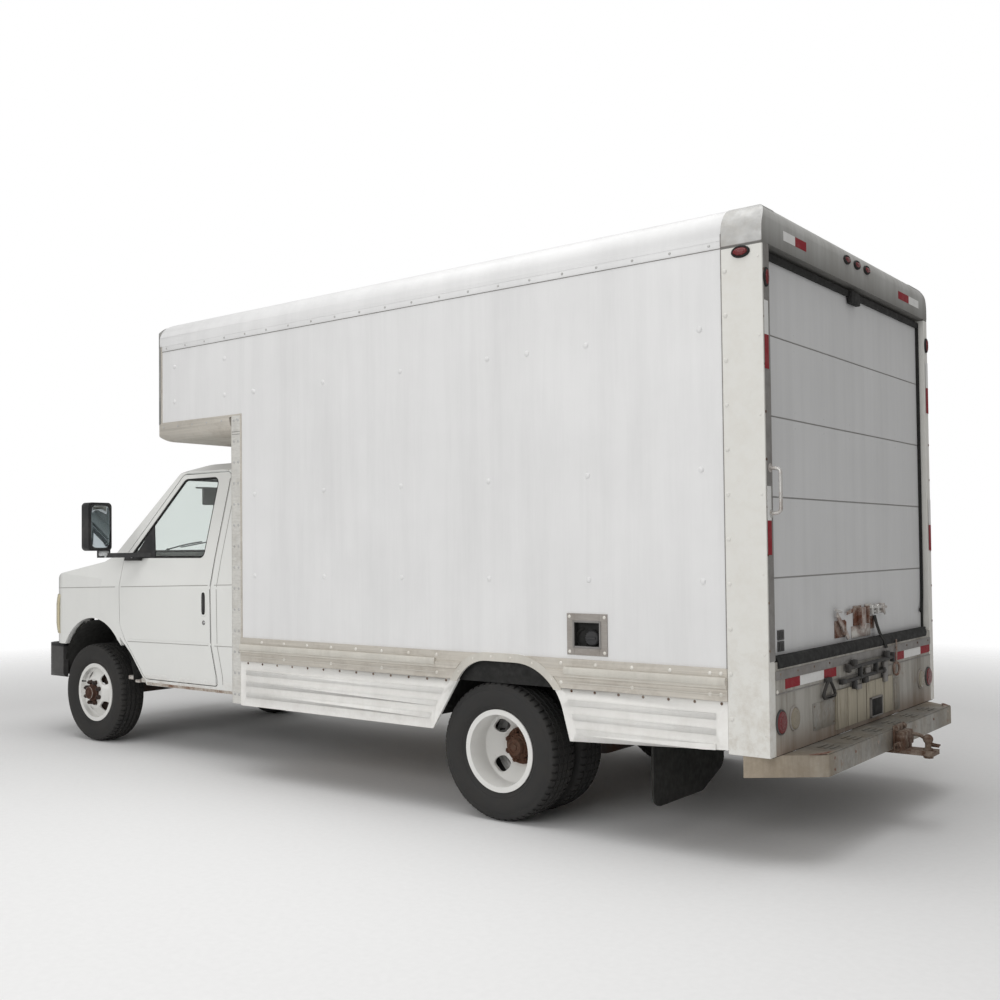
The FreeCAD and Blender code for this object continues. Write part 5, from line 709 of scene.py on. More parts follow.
SURFACES = (
    # node, look, rounding of its edges
    ("frame", "chassis_black", 0.002),
    ("front_axle", "axle_black", 0.002),
    ("rear_axle", "axle_iron", 0.002),
    ("knuckle_left", "axle_iron", 0.0015),
    ("knuckle_right", "axle_iron", 0.0015),
    ("engine", "engine_iron", 0.003),
    ("fuel_tank", "tank_black", 0.004),
    ("exhaust", "exhaust_steel", 0.0015),
    ("front_bumper", "bumper_grey", 0.004),
    ("grille", "trim_black", 0.003),
    ("headlamps", "headlamp_lens", 0.004),
    ("wings", "cab_white", 0.003),
    ("hood", "cab_white", 0.003),
    ("cab_shell", "cab_white", 0.003),
    ("door_left", "cab_white", 0.002),
    ("door_right", "cab_white", 0.002),
    ("cab_floor", "cab_lining", 0.004),
    ("windshield", "tinted_glass", 0.0),
    ("door_glass_left", "tinted_glass", 0.0),
    ("door_glass_right", "tinted_glass", 0.0),
    ("mirror_left", "trim_black", 0.003),
    ("mirror_right", "trim_black", 0.003),
    ("dash", "cab_lining", 0.008),
    ("steering_wheel", "trim_black", 0.001),
    ("box_floor", "deck_wood", 0.0015),
    ("box_side_left", "body_white", 0.0),
    ("box_side_right", "body_white", 0.0),
    ("box_front", "corner_sheet", 0.002),
    ("attic", "rail_aluminium", 0.0015),
    ("box_roof", "body_white", 0.002),
    ("rear_frame", "rear_paint", 0.003),
    ("rear_door", "shutter_grey", 0.002),
    ("door_latch", "rusty_steel", 0.0015),
    ("rub_rails", "rail_aluminium", 0.0015),
    ("skirts", "skirt_white", 0.002),
    ("fuel_filler", "casting_grey", 0.0015),
    ("step_bumper", "galvanised", 0.003),
    ("ramp", "ramp_boards", 0.002),
    ("hitch", "rusty_iron", 0.002),
    ("mud_flaps", "flap_rubber", 0.002),
    ("lamps", "lamp_red", 0.002),
    ("rim_front_left", "wheel_white", 0.0012),
    ("rim_front_right", "wheel_white", 0.0012),
    ("rims_rear_left", "wheel_white", 0.0012),
    ("rims_rear_right", "wheel_white", 0.0012),
)


def dress_frame():
    for node, look, bevel in SURFACES:
        dress(node, look, bevel)


# ---------------------------------------------------------------- camera, light and floor


def set_camera():
    """The photograph's view: from behind the driver's side, at a standing eye's height."""
    heading, rise, roll = (math.radians(a) for a in (-51.15, 1.5, -0.56))
    ahead = Vector(
        (math.cos(rise) * math.cos(heading), math.cos(rise) * math.sin(heading), math.sin(rise))
    )
    right = ahead.cross(Vector((0, 0, 1))).normalized()
    up = right.cross(ahead)
    turned = right * math.cos(roll) + up * math.sin(roll)
    raised = up * math.cos(roll) - right * math.sin(roll)
    data = bpy.data.cameras.new("camera")
    data.sensor_width = 36
    data.lens = 40.9
    data.shift_x = 0.0452
    data.shift_y = 0.0165
    camera = placed("camera", data)
    camera.matrix_world = Matrix(
        [(turned[i], raised[i], -ahead[i], p) for i, p in enumerate((rear_axle.x - 3.644, 6.05, 1.463))]
        + [(0, 0, 0, 1)]
    )
    bpy.context.scene.camera = camera


def area_lamp(name, place, target, size, power):
    data = bpy.data.lights.new(name, "AREA")
    data.shape = "RECTANGLE"
    data.size, data.size_y = size
    data.energy = power
    lamp = placed(name, data)
    lamp.location = place
    lamp.rotation_euler = (Vector(target) - Vector(place)).to_track_quat("-Z", "Y").to_euler()


def set_light():
    """Soft studio light from above, a fill at the driver's side, and white beyond the floor."""
    world = bpy.data.worlds.new("studio")
    bpy.context.scene.world = world
    world.use_nodes = True
    tree = world.node_tree
    tree.nodes.clear()
    path = tree.nodes.new("ShaderNodeLightPath")
    seen = tree.nodes.new("ShaderNodeMath")
    seen.operation = "MAXIMUM"
    soft = tree.nodes.new("ShaderNodeBackground")
    soft.inputs["Color"].default_value = (1.0, 0.99, 0.975, 1)
    soft.inputs["Strength"].default_value = 0.40
    white = tree.nodes.new("ShaderNodeBackground")
    white.inputs["Color"].default_value = (1, 1, 1, 1)
    mix = tree.nodes.new("ShaderNodeMixShader")
    out = tree.nodes.new("ShaderNodeOutputWorld")
    for output, socket in (
        (path.outputs["Is Camera Ray"], seen.inputs[0]),
        (path.outputs["Is Transmission Ray"], seen.inputs[1]),
        (seen.outputs[0], mix.inputs[0]),
        (soft.outputs[0], mix.inputs[1]),
        (white.outputs[0], mix.inputs[2]),
        (mix.outputs[0], out.inputs[0]),
    ):
        tree.links.new(output, socket)
    middle_of_truck = (cad_low + cad_high) / 2
    area_lamp("overhead", (-1, 1.5, 9), middle_of_truck, (9, 7), 430)
    area_lamp("driver_side", (-1.5, 10, 4.5), (-0.5, 1.2, 1.4), (9, 4), 300)


def lay_floor():
    """A pale floor that keeps the truck's shadow and fades into the white beyond."""
    shape = Shape()
    rings = [shape.ring((0, 0, -0.001), (0, 0, 1), r, 64) for r in (0.5, 8, 30)]
    shape.skin(rings, close_ends=False)
    shape.mesh.faces.new(rings[0])
    data = bpy.data.meshes.new("floor")
    shape.mesh.to_mesh(data)
    shape.mesh.free()
    floor = placed("floor", data)
    ground = Look("floor_pale", (0.86, 0.86, 0.86), 0.85)
    grit = ground.span(ground.noise(30, 4), 0.3, 0.7, 0.97, 1.0)
    ground.colour(ground.mixed(1.0, (0.86, 0.86, 0.86), grit, "MULTIPLY"))
    reach = ground.node("ShaderNodeVectorMath", "Value", {0: ground.stretched((1, 1, 0))}, operation="LENGTH")
    fade = ground.span(reach, 5.0, 11.0)
    clear = ground.add("ShaderNodeBsdfTransparent")
    mix = ground.add("ShaderNodeMixShader")
    ground.feed(mix.inputs[0], fade)
    ground.tree.links.new(ground.shader.outputs[0], mix.inputs[1])
    ground.tree.links.new(clear.outputs[0], mix.inputs[2])
    ground.tree.links.new(mix.outputs[0], ground.tree.nodes["Material Output"].inputs["Surface"])
    data.materials.append(ground.material)


# ---------------------------------------------------------------- wheels

tyre_radius = (high("tyre_front_left").z - low("tyre_front_left").z) / 2
tyre_half = (high("tyre_front_left").y - low("tyre_front_left").y) / 2
front_disc = middle("tyre_front_left").y + 0.100  # outward face of a front wheel's disc
nut_circle = 0.0825
nut_count = 8

# a sidewall and shoulder: how far inward from the tyre's side, and how far below its tread
SIDEWALL = (
    (0.036, 0.166),
    (0.034, 0.155),
    (0.027, 0.145),
    (0.0155, 0.129),
    (0.0125, 0.126),
    (0.0125, 0.122),
    (0.0105, 0.119),
    (0.0040, 0.100),
    (0.0000, 0.077),
    (0.0015, 0.056),
    (0.0045, 0.044),
    (0.0035, 0.042),
    (0.0045, 0.039),
    (0.0095, 0.026),
    (0.0120, 0.017),
)
# across the tread from the shoulder to the middle: place from the middle, drop, depth of a lug's gap
TREAD = (
    (0.0960, 0.0125, 0.003),
    (0.0900, 0.0075, 0.006),
    (0.0820, 0.0042, 0.007),
    (0.0640, 0.0022, 0.007),
    (0.0620, 0.0120, 0.0),
    (0.0550, 0.0120, 0.0),
    (0.0530, 0.0016, 0.0),
    (0.0400, 0.0010, 0.004),
    (0.0260, 0.0006, 0.0),
    (0.0240, 0.0105, 0.0),
    (0.0170, 0.0105, 0.0),
    (0.0150, 0.0004, 0.0),
    (0.0000, 0.0000, 0.004),
)


def round_axle(centre, radius, angle, y):
    """The place at a radius and an angle from straight up, round the axle through centre."""
    return Vector((centre.x + radius * math.sin(angle), y, centre.z + radius * math.cos(angle)))


def make_tyre(name, centre, body, node):
    """A tyre with ribs, zigzag grooves and shoulder lugs, replacing the CAD's plain one."""
    profile = [(tyre_half - a, tyre_radius - d, 0.0) for a, d in SIDEWALL]
    profile += [(a, tyre_radius - d, gap) for a, d, gap in TREAD]
    profile += [(-a, r, gap) for a, r, gap in reversed(profile[:-1])]
    lugs = 56
    steps = (0.0, 0.04, 0.27, 0.31, 0.54, 0.77)
    shape = Shape()
    rings = []
    for lug in range(lugs):
        for step in steps:
            angle = 2 * math.pi * (lug + step) / lugs
            sway = 0.0022 * (1 if step < 0.3 else -1)
            notch = 0.04 <= step <= 0.27
            ring = []
            for a, r, gap in profile:
                skewed = a + (sway if abs(a) < 0.07 else 0)
                depth = gap if notch else 0.0
                spot = round_axle(centre, r - depth, angle, centre.y + skewed)
                ring.append(shape.mesh.verts.new(spot))
            rings.append(ring)
    for one, two in zip(rings, rings[1:] + rings[:1]):
        for i in range(len(profile) - 1):
            shape.mesh.faces.new((one[i], one[i + 1], two[i + 1], two[i]))
    made = shape.piece(name, "tyre_black", body, "tyre_black", angle=28)
    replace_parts(made, node)


def wheel_nuts(shape, centre, face, outward, reach):
    """Eight wheel nuts with their washers and stud ends."""
    for k in range(nut_count):
        a = 2 * math.pi * (k + 0.5) / nut_count
        place = round_axle(centre, nut_circle, a, face)
        way = Vector((0, outward, 0))
        shape.rod(place, place + way * 0.003, 0.0175, 16, round_end=0.001)
        shape.nut(place + way * 0.003, way, 0.0285, reach, turn=a)
        shape.rod(place + way * reach, place + way * (reach + 0.012), 0.0072, 10, round_end=0.002)


def valve_stem(shape, centre, face, outward):
    start = Vector((centre.x + 0.128, face - outward * 0.018, centre.z + 0.075))
    shape.rod(start, start + Vector((0.006, outward * 0.022, 0.003)), 0.0048, 10)
    cap = start + Vector((0.006, outward * 0.022, 0.003))
    shape.rod(cap, cap + Vector((0.003, outward * 0.012, 0.001)), 0.0062, 10, round_end=0.002)


def make_front_wheel(side, word):
    centre = middle(f"tyre_front_{word}")
    body = f"wheel_front_{word}"
    make_tyre(f"tyre_front_{word}_tread", centre, body, f"tyre_front_{word}")
    face = front_disc * side
    axis = (0, side, 0)
    nuts = Shape()
    wheel_nuts(nuts, centre, face, side, 0.024)
    nuts.piece(f"wheel_nuts_front_{word}", "nut_dark", body, "rusty_iron", angle=25)
    hub = Shape()
    hub.lathe(
        [
            (0.0655, 0.000), (0.0655, 0.0145), (0.0640, 0.0155), (0.0490, 0.0165),
            (0.0475, 0.020), (0.0470, 0.038), (0.0450, 0.0450), (0.0400, 0.0475), (0.0300, 0.0480),
            (0.0285, 0.0455), (0.0240, 0.0455), (0.0225, 0.0500), (0.0180, 0.0520), (0.0, 0.0525),
        ],
        (centre.x, face, centre.z), axis, 48,
    )
    hub.piece(f"hub_front_{word}", "hub_front", body, "rusty_iron", angle=30)
    stem = Shape()
    valve_stem(stem, centre, face, side)
    stem.piece(f"valve_front_{word}", "seal_black", body, "trim_black")
    brake = Shape()
    brake.lathe(
        [
            (0.070, -0.100), (0.160, -0.100), (0.165, -0.097), (0.165, -0.078), (0.160, -0.075),
            (0.070, -0.075)
        ],
        (centre.x, face, centre.z), axis, 64, closed=True,
    )
    brake.piece(f"brake_disc_{word}", "axle_iron", body, "axle_iron", angle=30)


def make_rear_wheels(side, word):
    node = f"tyres_rear_{word}"
    body = f"wheels_rear_{word}"
    axis = (0, side, 0)
    outer = max(abs(low(node).y), abs(high(node).y)) - tyre_half
    inner = min(abs(low(node).y), abs(high(node).y)) + tyre_half
    for place, y in (("outer", outer), ("inner", inner)):
        make_tyre(
            f"tyre_rear_{place}_{word}_tread", Vector((rear_axle.x, y * side, rear_axle.z)), body, node
        )
    face = (outer + inner) / 2 + 0.010
    nuts = Shape()
    wheel_nuts(nuts, rear_axle, face * side, side, 0.026)
    nuts.piece(f"wheel_nuts_rear_{word}", "hub_rust", body, "rusty_iron", angle=25)
    hub = Shape()
    hub.lathe(
        [
            (0.1010, 0.000), (0.1005, 0.003), (0.0960, 0.0045), (0.0700, 0.0045), (0.0690, 0.026),
            (0.0660, 0.0300), (0.0600, 0.0310), (0.0580, 0.034), (0.0575, 0.0420), (0.0560, 0.0440),
            (0.0480, 0.0445), (0.0475, 0.0680), (0.0440, 0.0750), (0.0300, 0.0770), (0.0280, 0.0740),
            (0.0200, 0.0740), (0.0180, 0.0790), (0.0, 0.0800),
        ],
        (rear_axle.x, face * side, rear_axle.z), axis, 48,
    )
    for k in range(nut_count):
        a = 2 * math.pi * k / nut_count
        hub.nut(round_axle(rear_axle, 0.063, a, (face + 0.030) * side), axis, 0.0120, 0.0085, turn=a)
    hub.piece(f"hub_rear_{word}", "hub_rust", body, "rusty_iron", angle=28)
    stem = Shape()
    valve_stem(stem, rear_axle, face * side, side)
    stem.piece(f"valve_rear_{word}", "seal_black", body, "trim_black")


# ---------------------------------------------------------------- load body


def rivet_row(shape, start, end, count, normal, radius=0.008, height=0.0035, skip=()):
    """Evenly spaced rivet heads from start to end."""
    start, end = Vector(start), Vector(end)
    for k in range(count):
        if k in skip:
            continue
        place = start.lerp(end, k / max(count - 1, 1))
        shape.dome(place, normal, radius, height)


def panel_rivets(side, word):
    """Big capped rivets that hold the side's sheet to its posts, in columns."""
    out = (0, side, 0)
    cap = (0.0155, 0.006)  # radius and height
    caps = Shape()
    rows = (rail_top + 0.397, rail_top + 0.917, cove_low - 0.397)
    first, last = post_front + 0.117, panel_front - 0.132
    for row in rows:
        rivet_row(caps, (first, panel_face * side, row), (last, panel_face * side, row), 6, out, *cap)
    extra = (
        (first + 0.985, rows[2]),
        (last + 0.012, rows[2] + 0.005),
        (box_face + 0.05, rows[2] + 0.247),
        (panel_front + 0.16, rows[2] + 0.247),
        (panel_front + 0.68, rows[2] + 0.247),
        (panel_front + 0.68, rows[2] + 0.007),
        (panel_front + 0.16, rows[2] + 0.007),
    )
    for x, z in extra:
        caps.dome((x, panel_face * side, z), out, *cap)
    caps.piece(f"panel_rivets_{word}", "body_white", "chassis", "body_white", angle=DOMED)


def cove_trim(side, word):
    """The cove's lower flange with its screws, along the whole side."""
    strip = Shape()
    face = panel_face * side
    strip.box(
        (post_front + 0.001, face, cove_low - 0.034),
        (attic_face - 0.09, face + 0.0045 * side, cove_low + 0.004),
        0.0015,
    )
    strip.piece(f"cove_flange_{word}", "body_white", "chassis", "body_white")
    screws = Shape()
    rivet_row(
        screws,
        (post_front + 0.06, face + 0.0045 * side, cove_low - 0.015),
        (attic_face - 0.14, face + 0.0045 * side, cove_low - 0.015),
        21,
        (0, side, 0),
        0.0075,
        0.0035,
    )
    screws.piece(f"cove_screws_{word}", "casting_grey", "chassis", "rail_aluminium", angle=DOMED)


def post_rivets(side, word):
    """Rivets down the rear post's front edge, its rear edge and the front corner post."""
    out = (0, side, 0)
    face = post_face * side
    screws = Shape()
    rivet_row(
        screws, (post_front - 0.018, face, low("rear_frame").z + 0.16),
        (post_front - 0.018, face, cove_low - 0.146), 11, out, 0.0115, 0.005,
    )
    rivet_row(
        screws, (body_rear + 0.020, face, low("rear_frame").z + 0.10),
        (body_rear + 0.020, face, cove_low - 0.1), 7, out, 0.006, 0.0025,
    )
    screws.piece(f"post_rivets_{word}", "post_cream", "chassis", "post_cream", angle=DOMED)
    front = Shape()
    foot, top = low("box_front").z, high("box_front").z
    for inset in (0.018, 0.058):
        rivet_row(
            front, (corner_back + inset, face, foot + 0.06), (corner_back + inset, face, top - 0.03),
            14, out, 0.0095, 0.004,
        )
    rivet_row(
        front, (panel_front + 0.03, face, attic_low + 0.095), (attic_face - 0.11, face, attic_low + 0.095),
        6, out, 0.0065, 0.003,
    )
    rivet_row(
        front, (attic_face - 0.075, panel_face * side, attic_low + 0.16),
        (attic_face - 0.075, panel_face * side, cove_low - 0.05), 4, out, 0.0065, 0.003,
    )
    front.piece(f"corner_rivets_{word}", "casting_grey", "chassis", "rail_aluminium", angle=DOMED)


def rail_rivets(side, word):
    """Two rows of rivets along the rub rail, left out over the wheel."""
    out = (0, side, 0)
    screws, ridge = Shape(), Shape()
    arch = (rear_axle.x - 0.43, rear_axle.x + 0.33)
    for z, pitch in ((rail_top - 0.024, 0.205), (rail_low + 0.030, 0.410)):
        spots = [post_front + 0.030, post_front + 0.085]
        while spots[-1] < panel_front - 0.05:
            spots.append(spots[-1] + pitch)
        for x in spots:
            place, _ = beside("rub_rails", x, z, side, 1.5)
            if place and not arch[0] < x < arch[1]:
                screws.dome(place, out, 0.0105, 0.0045, 12)
    z = rail_top - 0.060
    for start, end in ((post_front + 0.004, arch[0] - 0.03), (arch[1] + 0.06, panel_front - 0.004)):
        place, _ = beside("rub_rails", (start + end) / 2, z, side, 1.5)
        ridge.rod(
            (start, place.y - side * 0.002, z), (end, place.y - side * 0.002, z), 0.020, 16, squash=0.42,
            aim=(0, 0, 1)
        )
        for low_z, high_z in ((z - 0.029, z - 0.024), (z - 0.060, z - 0.056)):
            ridge.box((start, place.y, low_z), (end, place.y + side * 0.0015, high_z), 0)
    ridge.piece(f"rail_ridge_{word}", "arch_cream", "chassis", "rail_aluminium", angle=DOMED)
    screws.piece(f"rail_rivets_{word}", "rivet_pale", "chassis", "rail_aluminium", angle=DOMED)


def skirt_screws(side, word):
    """A screw row under each skirt's top edge."""
    out = (0, side, 0)
    z = rail_low - 0.011
    screws = Shape()
    pitch = 0.136
    x = post_front + 0.030
    while x < panel_front - 0.02:
        place, _ = beside("skirts", x, z, side, 1.5)
        if place and abs(place.y) < post_face + 0.004:
            screws.dome(place, out, 0.0075, 0.0035, 8)
        x += pitch
    screws.piece(f"skirt_screws_{word}", "rusty_iron", "chassis", "rusty_iron", angle=DOMED)


# ---------------------------------------------------------------- lamps and tapes


def round_lamp(name, place, look):
    """A round lamp in its rubber ring, facing backwards."""
    ring = Shape()
    ring.lathe(
        [(0.058, -0.001), (0.058, 0.005), (0.056, 0.008), (0.0515, 0.008), (0.0505, 0.004)],
        place, (-1, 0, 0), 48,
    )
    ring.piece(f"{name}_ring", "door_slots" if look == "lamp_red" else "filler_grey", "chassis", "trim_black")
    glass = Shape()
    glass.lathe(
        [(0.0508, 0.002), (0.0508, 0.007), (0.0475, 0.0120), (0.036, 0.0148), (0.030, 0.0135),
         (0.028, 0.0150), (0.015, 0.0158), (0.0, 0.0160)],
        place, (-1, 0, 0), 48,
    )
    return glass.piece(f"{name}_lens", look, "chassis", "lamp_red" if look == "lamp_red" else "lamp_clear")


def oval_lamp(name, place, normal, along, half_long, half_tall, look="lamp_red"):
    """An oval marker lamp: a domed lens in a dark bezel."""
    place, normal, along = Vector(place), Vector(normal).normalized(), Vector(along).normalized()

    def loop(shape, grow, height):
        return shape.ring(
            place + normal * height, normal, half_long + grow, 28,
            squash=(half_tall + grow) / (half_long + grow), aim=along,
        )

    rim = Shape()
    rim.skin([loop(rim, g, h) for g, h in ((0.009, 0.0), (0.009, 0.006), (0.006, 0.010), (0.0, 0.009))])
    rim.piece(f"{name}_bezel", "seal_black", "chassis", "trim_black", angle=40)
    glass = Shape()
    glass.skin(
        [loop(glass, g, h) for g, h in ((0.0, 0.002), (-0.001, 0.010), (-0.005, 0.014), (-0.012, 0.0165))]
    )
    glass.piece(f"{name}_lens", look, "chassis", "lamp_red", angle=40)


def make_lamps():
    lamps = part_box("lamps")
    reach = 0.121
    height = low("rear_frame").z + 0.1475
    post_lamp_y, post_lamp_z, clearance_z = 1.187, 2.666, 2.942
    first = None
    for side, word in SIDES:
        for place, y, look in (
            ("outer", post_face - reach, "lamp_red"),
            ("inner", post_face - reach - 0.150, "lamp_dull"),
        ):
            made = round_lamp(f"tail_{place}_{word}", (body_rear, y * side, height), look)
            first = first or made
        marker = Vector((lamps[1].x - 0.0415, post_face * side, lamps[1].z - 0.026))
        oval_lamp(f"marker_{word}", marker, (0, side, 0), (1, 0, 0), 0.036, 0.019)
        oval_lamp(
            f"post_lamp_{word}", (body_rear, post_lamp_y * side, post_lamp_z), (-1, 0, 0), (0, 0, 1), 0.036,
            0.016
        )
    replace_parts(first, "lamps")
    for k, y in enumerate((0.152, 0.002, -0.148)):
        oval_lamp(f"clearance_{k}", (body_rear, y, clearance_z), (-1, 0, 0), (0, 1, 0), 0.034, 0.015)


def tape_strip(name, corner, along, up, normal, pieces):
    """Strips of tape end to end: pieces are (length, look)."""
    along, up, normal = Vector(along), Vector(up), Vector(normal)
    start = Vector(corner)
    for k, (length, look) in enumerate(pieces):
        strip = Shape()
        end = start + along * length
        outline = [start, end, end + up, start + up]
        strip.slab([p + normal * 0.0012 for p in outline], -normal, 0.001)
        strip.piece(f"{name}_{k}", look, "chassis", "lamp_red" if "red" in look else "body_white")
        start = end


def make_tapes():
    back = (-1, 0, 0)
    up = (0, 0, 0.045)
    red, white = "tape_red", "tape_white"
    for side, word in SIDES:
        low_y, out_y = (0.405, 1.042) if side > 0 else (0.487, 1.137)
        inward = (0, -side, 0)
        span = out_y - low_y
        tape_strip(
            f"panel_tape_{word}", (body_rear, out_y * side, 0.795), inward, up, back,
            ((span * 0.27, red), (span * 0.47, white), (span * 0.26, red)),
        )
        top_start, top_end = (0.975, 0.698) if side > 0 else (1.061, 0.685)
        run = top_start - top_end
        tape_strip(
            f"header_tape_{word}", (body_rear, top_start * side, 2.876), inward, up, back,
            ((run * 0.5, white), (run * 0.5, red)),
        )
        for name, start in (("low", 1.41), ("high", 2.25)):
            tape_strip(
                f"post_tape_{name}_{word}", (body_rear - 0.0025, (post_face - 0.008) * side, start),
                (0, 0, 1),
                (0, -side * 0.042, 0), back, ((0.155, red), (0.155, white)),
            )


# ---------------------------------------------------------------- pieces cut from the CAD's own surface


def copied(node):
    """The node's surface as a new mesh, with its corners welded."""
    mesh = bmesh.new()
    mesh.from_mesh(NODES[node].data)
    bmesh.ops.remove_doubles(mesh, verts=mesh.verts, dist=0.00005)
    return mesh


def carved(name, look, node, body, cuts, push=0.001, keep=None):
    """A thin skin over part of a node: what every plane (point, outward way) leaves."""
    mesh = copied(node)
    for point, way in cuts:
        parts = [*mesh.verts, *mesh.edges, *mesh.faces]
        bmesh.ops.bisect_plane(mesh, geom=parts, plane_co=point, plane_no=way, clear_outer=True)
    mesh.normal_update()
    if keep:
        lost = [f for f in mesh.faces if not keep(f)]
        bmesh.ops.delete(mesh, geom=lost, context="FACES")
    for v in mesh.verts:
        v.co += v.normal * push
    return skin_piece(name, look, mesh, body)


def skin_piece(name, look, mesh, body):
    """Makes the object of a mesh cut from a node, with its look, on its body."""
    data = bpy.data.meshes.new(name)
    for face in mesh.faces:
        face.smooth = True
    mesh.to_mesh(data)
    mesh.free()
    data.set_sharp_from_angle(angle=math.radians(32))
    made = placed(name, data)
    data.materials.append(LOOKS[look].material)
    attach(made, body)
    return made


def edge_band(name, look, node, body, way, width, proud):
    """A seal of the given width round a pane's edge, on the side that way points to."""
    mesh = copied(node)
    mesh.normal_update()
    way = Vector(way).normalized()
    lost = [f for f in mesh.faces if f.normal.dot(way) < 0.8]
    bmesh.ops.delete(mesh, geom=lost, context="FACES")
    mesh.normal_update()
    ring = set(bmesh.ops.inset_region(
        mesh, faces=mesh.faces[:], thickness=width, use_even_offset=True, use_boundary=True
    )["faces"])
    lost = [f for f in mesh.faces if f not in ring]
    bmesh.ops.delete(mesh, geom=lost, context="FACES")
    bmesh.ops.solidify(mesh, geom=mesh.faces[:], thickness=-proud)
    bmesh.ops.recalc_face_normals(mesh, faces=mesh.faces)
    return skin_piece(name, look, mesh, body)


def surface_at(node, start, way):
    """Where a ray meets the node: the place and the surface's normal there."""
    if node not in TREES:
        mesh = copied(node)
        TREES[node] = BVHTree.FromBMesh(mesh)
        mesh.free()
    place, normal, _, _ = TREES[node].ray_cast(Vector(start), Vector(way))
    return place, normal


TREES = {}


def beside(node, x, z, side, start=2.0):
    """What a level ray from outside one side, start metres from the middle, meets at x and z."""
    return surface_at(node, (x, side * start, z), (0, -side, 0))


# ---------------------------------------------------------------- load body's details


def side_details(side, word):
    """Corner casting, nose wrap, post sheets and the seams between them."""
    out = Vector((0, side, 0))
    back, up, down = Vector((-1, 0, 0)), Vector((0, 0, 1)), Vector((0, 0, -1))
    carved(
        f"corner_casting_{word}", "casting_grey", "rear_frame", "chassis",
        (((0, 0, cove_low - 0.030), down), ((0, 0, roof_top - 0.003), up), ((0, side * 1.02, 0), -out)),
        0.0022,
        keep=lambda f: f.normal.x > -0.75 and (f.normal.y * side > 0.1 or f.normal.z > 0.3),
    )
    carved(
        f"nose_wrap_{word}", "wrap_grey", "attic", "chassis",
        (((attic_face - 0.078, 0, 0), back), ((0, side * 1.10, 0), -out), ((0, 0, attic_low + 0.12), down)),
        0.0018, keep=lambda f: f.normal.y * side > -0.1,
    )
    carved(
        f"nose_cap_{word}", "wrap_grey", "box_roof", "chassis",
        (((attic_face - 0.060, 0, 0), back), ((0, 0, roof_top - 0.003), up), ((0, side * 0.95, 0), -out)),
        0.0018,
        keep=lambda f: f.normal.y * side > 0.05 or f.normal.x > 0.3 or f.normal.z > 0.5,
    )
    seams = Shape()
    face = panel_face * side
    edge = post_face * side
    seams.box((post_front - 0.0015, edge, rail_top), (post_front + 0.0035, face, cove_low - 0.034), 0)
    seams.box(
        (post_front, face, cove_low - 0.0375), (attic_face - 0.09, face + 0.0016 * side, cove_low - 0.034), 0
    )
    seams.box(
        (body_rear + 0.003, edge, cove_low - 0.034), (post_front, edge + 0.0026 * side, cove_low - 0.030), 0
    )
    seams.box(
        (post_front - 0.002, edge, cove_low - 0.034),
        (post_front + 0.002, edge + 0.003 * side, cove_low + 0.03), 0
    )
    seams.piece(f"body_seams_{word}", "frame_grey", "chassis", "rail_aluminium")
    trim = Shape()
    trim.box(
        (corner_back - 0.012, face, attic_low + 0.112), (corner_back + 0.004, face + 0.005 * side, rail_top),
        0.001
    )
    trim.box(
        (corner_back - 0.012, face, attic_low + 0.112),
        (attic_face - 0.085, face + 0.005 * side, attic_low + 0.128), 0.001,
    )
    trim.piece(f"corner_trim_{word}", "rail_aluminium", "chassis", "rail_aluminium")
    joints = Shape()
    for z in (attic_low - 0.005, attic_low + 0.012):
        joints.box((corner_back + 0.001, edge, z), (box_face - 0.03, edge + 0.0012 * side, z + 0.003), 0)
    joints.piece(f"post_joint_{word}", "frame_grey", "chassis", "rail_aluminium")


def rising_skirts():
    """The skirts, with the lower edge behind the rear wheels rising to the post."""
    rise = 0.051
    foot = Vector((rear_axle.x - 0.40, 0, low("skirts").z + 0.014))
    way = Vector((-rise, 0, -1)).normalized()
    mesh = copied("skirts")
    parts = [*mesh.verts, *mesh.edges, *mesh.faces]
    bmesh.ops.bisect_plane(mesh, geom=parts, plane_co=foot, plane_no=way, clear_outer=True)
    bmesh.ops.holes_fill(mesh, edges=[e for e in mesh.edges if e.is_boundary], sides=0)
    bmesh.ops.recalc_face_normals(mesh, faces=mesh.faces[:])
    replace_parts(skin_piece("skirt_sheets", "skirt_white", mesh, "chassis"), "skirts")


def arch_rivets(side, word):
    """Rivets round the wheel opening's trim."""
    caps = Shape()
    foot = rail_low + 0.016
    for k in range(11):
        angle = math.radians(12 + 156 * k / 10)
        spots = []
        for step in range(60):
            reach = 0.30 + step * 0.006
            x = rear_axle.x + 0.005 + reach * math.cos(angle)
            z = rear_axle.z + 0.05 + reach * math.sin(angle)
            if z < foot:
                continue
            place, normal = beside("skirts", x, z, side, 1.5)
            if place and abs(place.y) > post_face + 0.006 and abs(normal.y) > 0.9:
                spots.append(place)
        if spots:
            caps.dome(spots[len(spots) // 2], (0, side, 0), 0.0068, 0.0030, 8)
    caps.piece(f"arch_rivets_{word}", "rivet_pale", "chassis", "rail_aluminium", angle=DOMED)
    carved(
        f"arch_band_{word}", "arch_cream", "skirts", "chassis",
        (((0, side * (post_face + 0.003), 0), (0, -side, 0)), ((0, 0, rail_low - 0.010), (0, 0, -1))),
        0.0006,
    )


FILLER_BORDER = 0.045  # width of the plate round the filler's opening


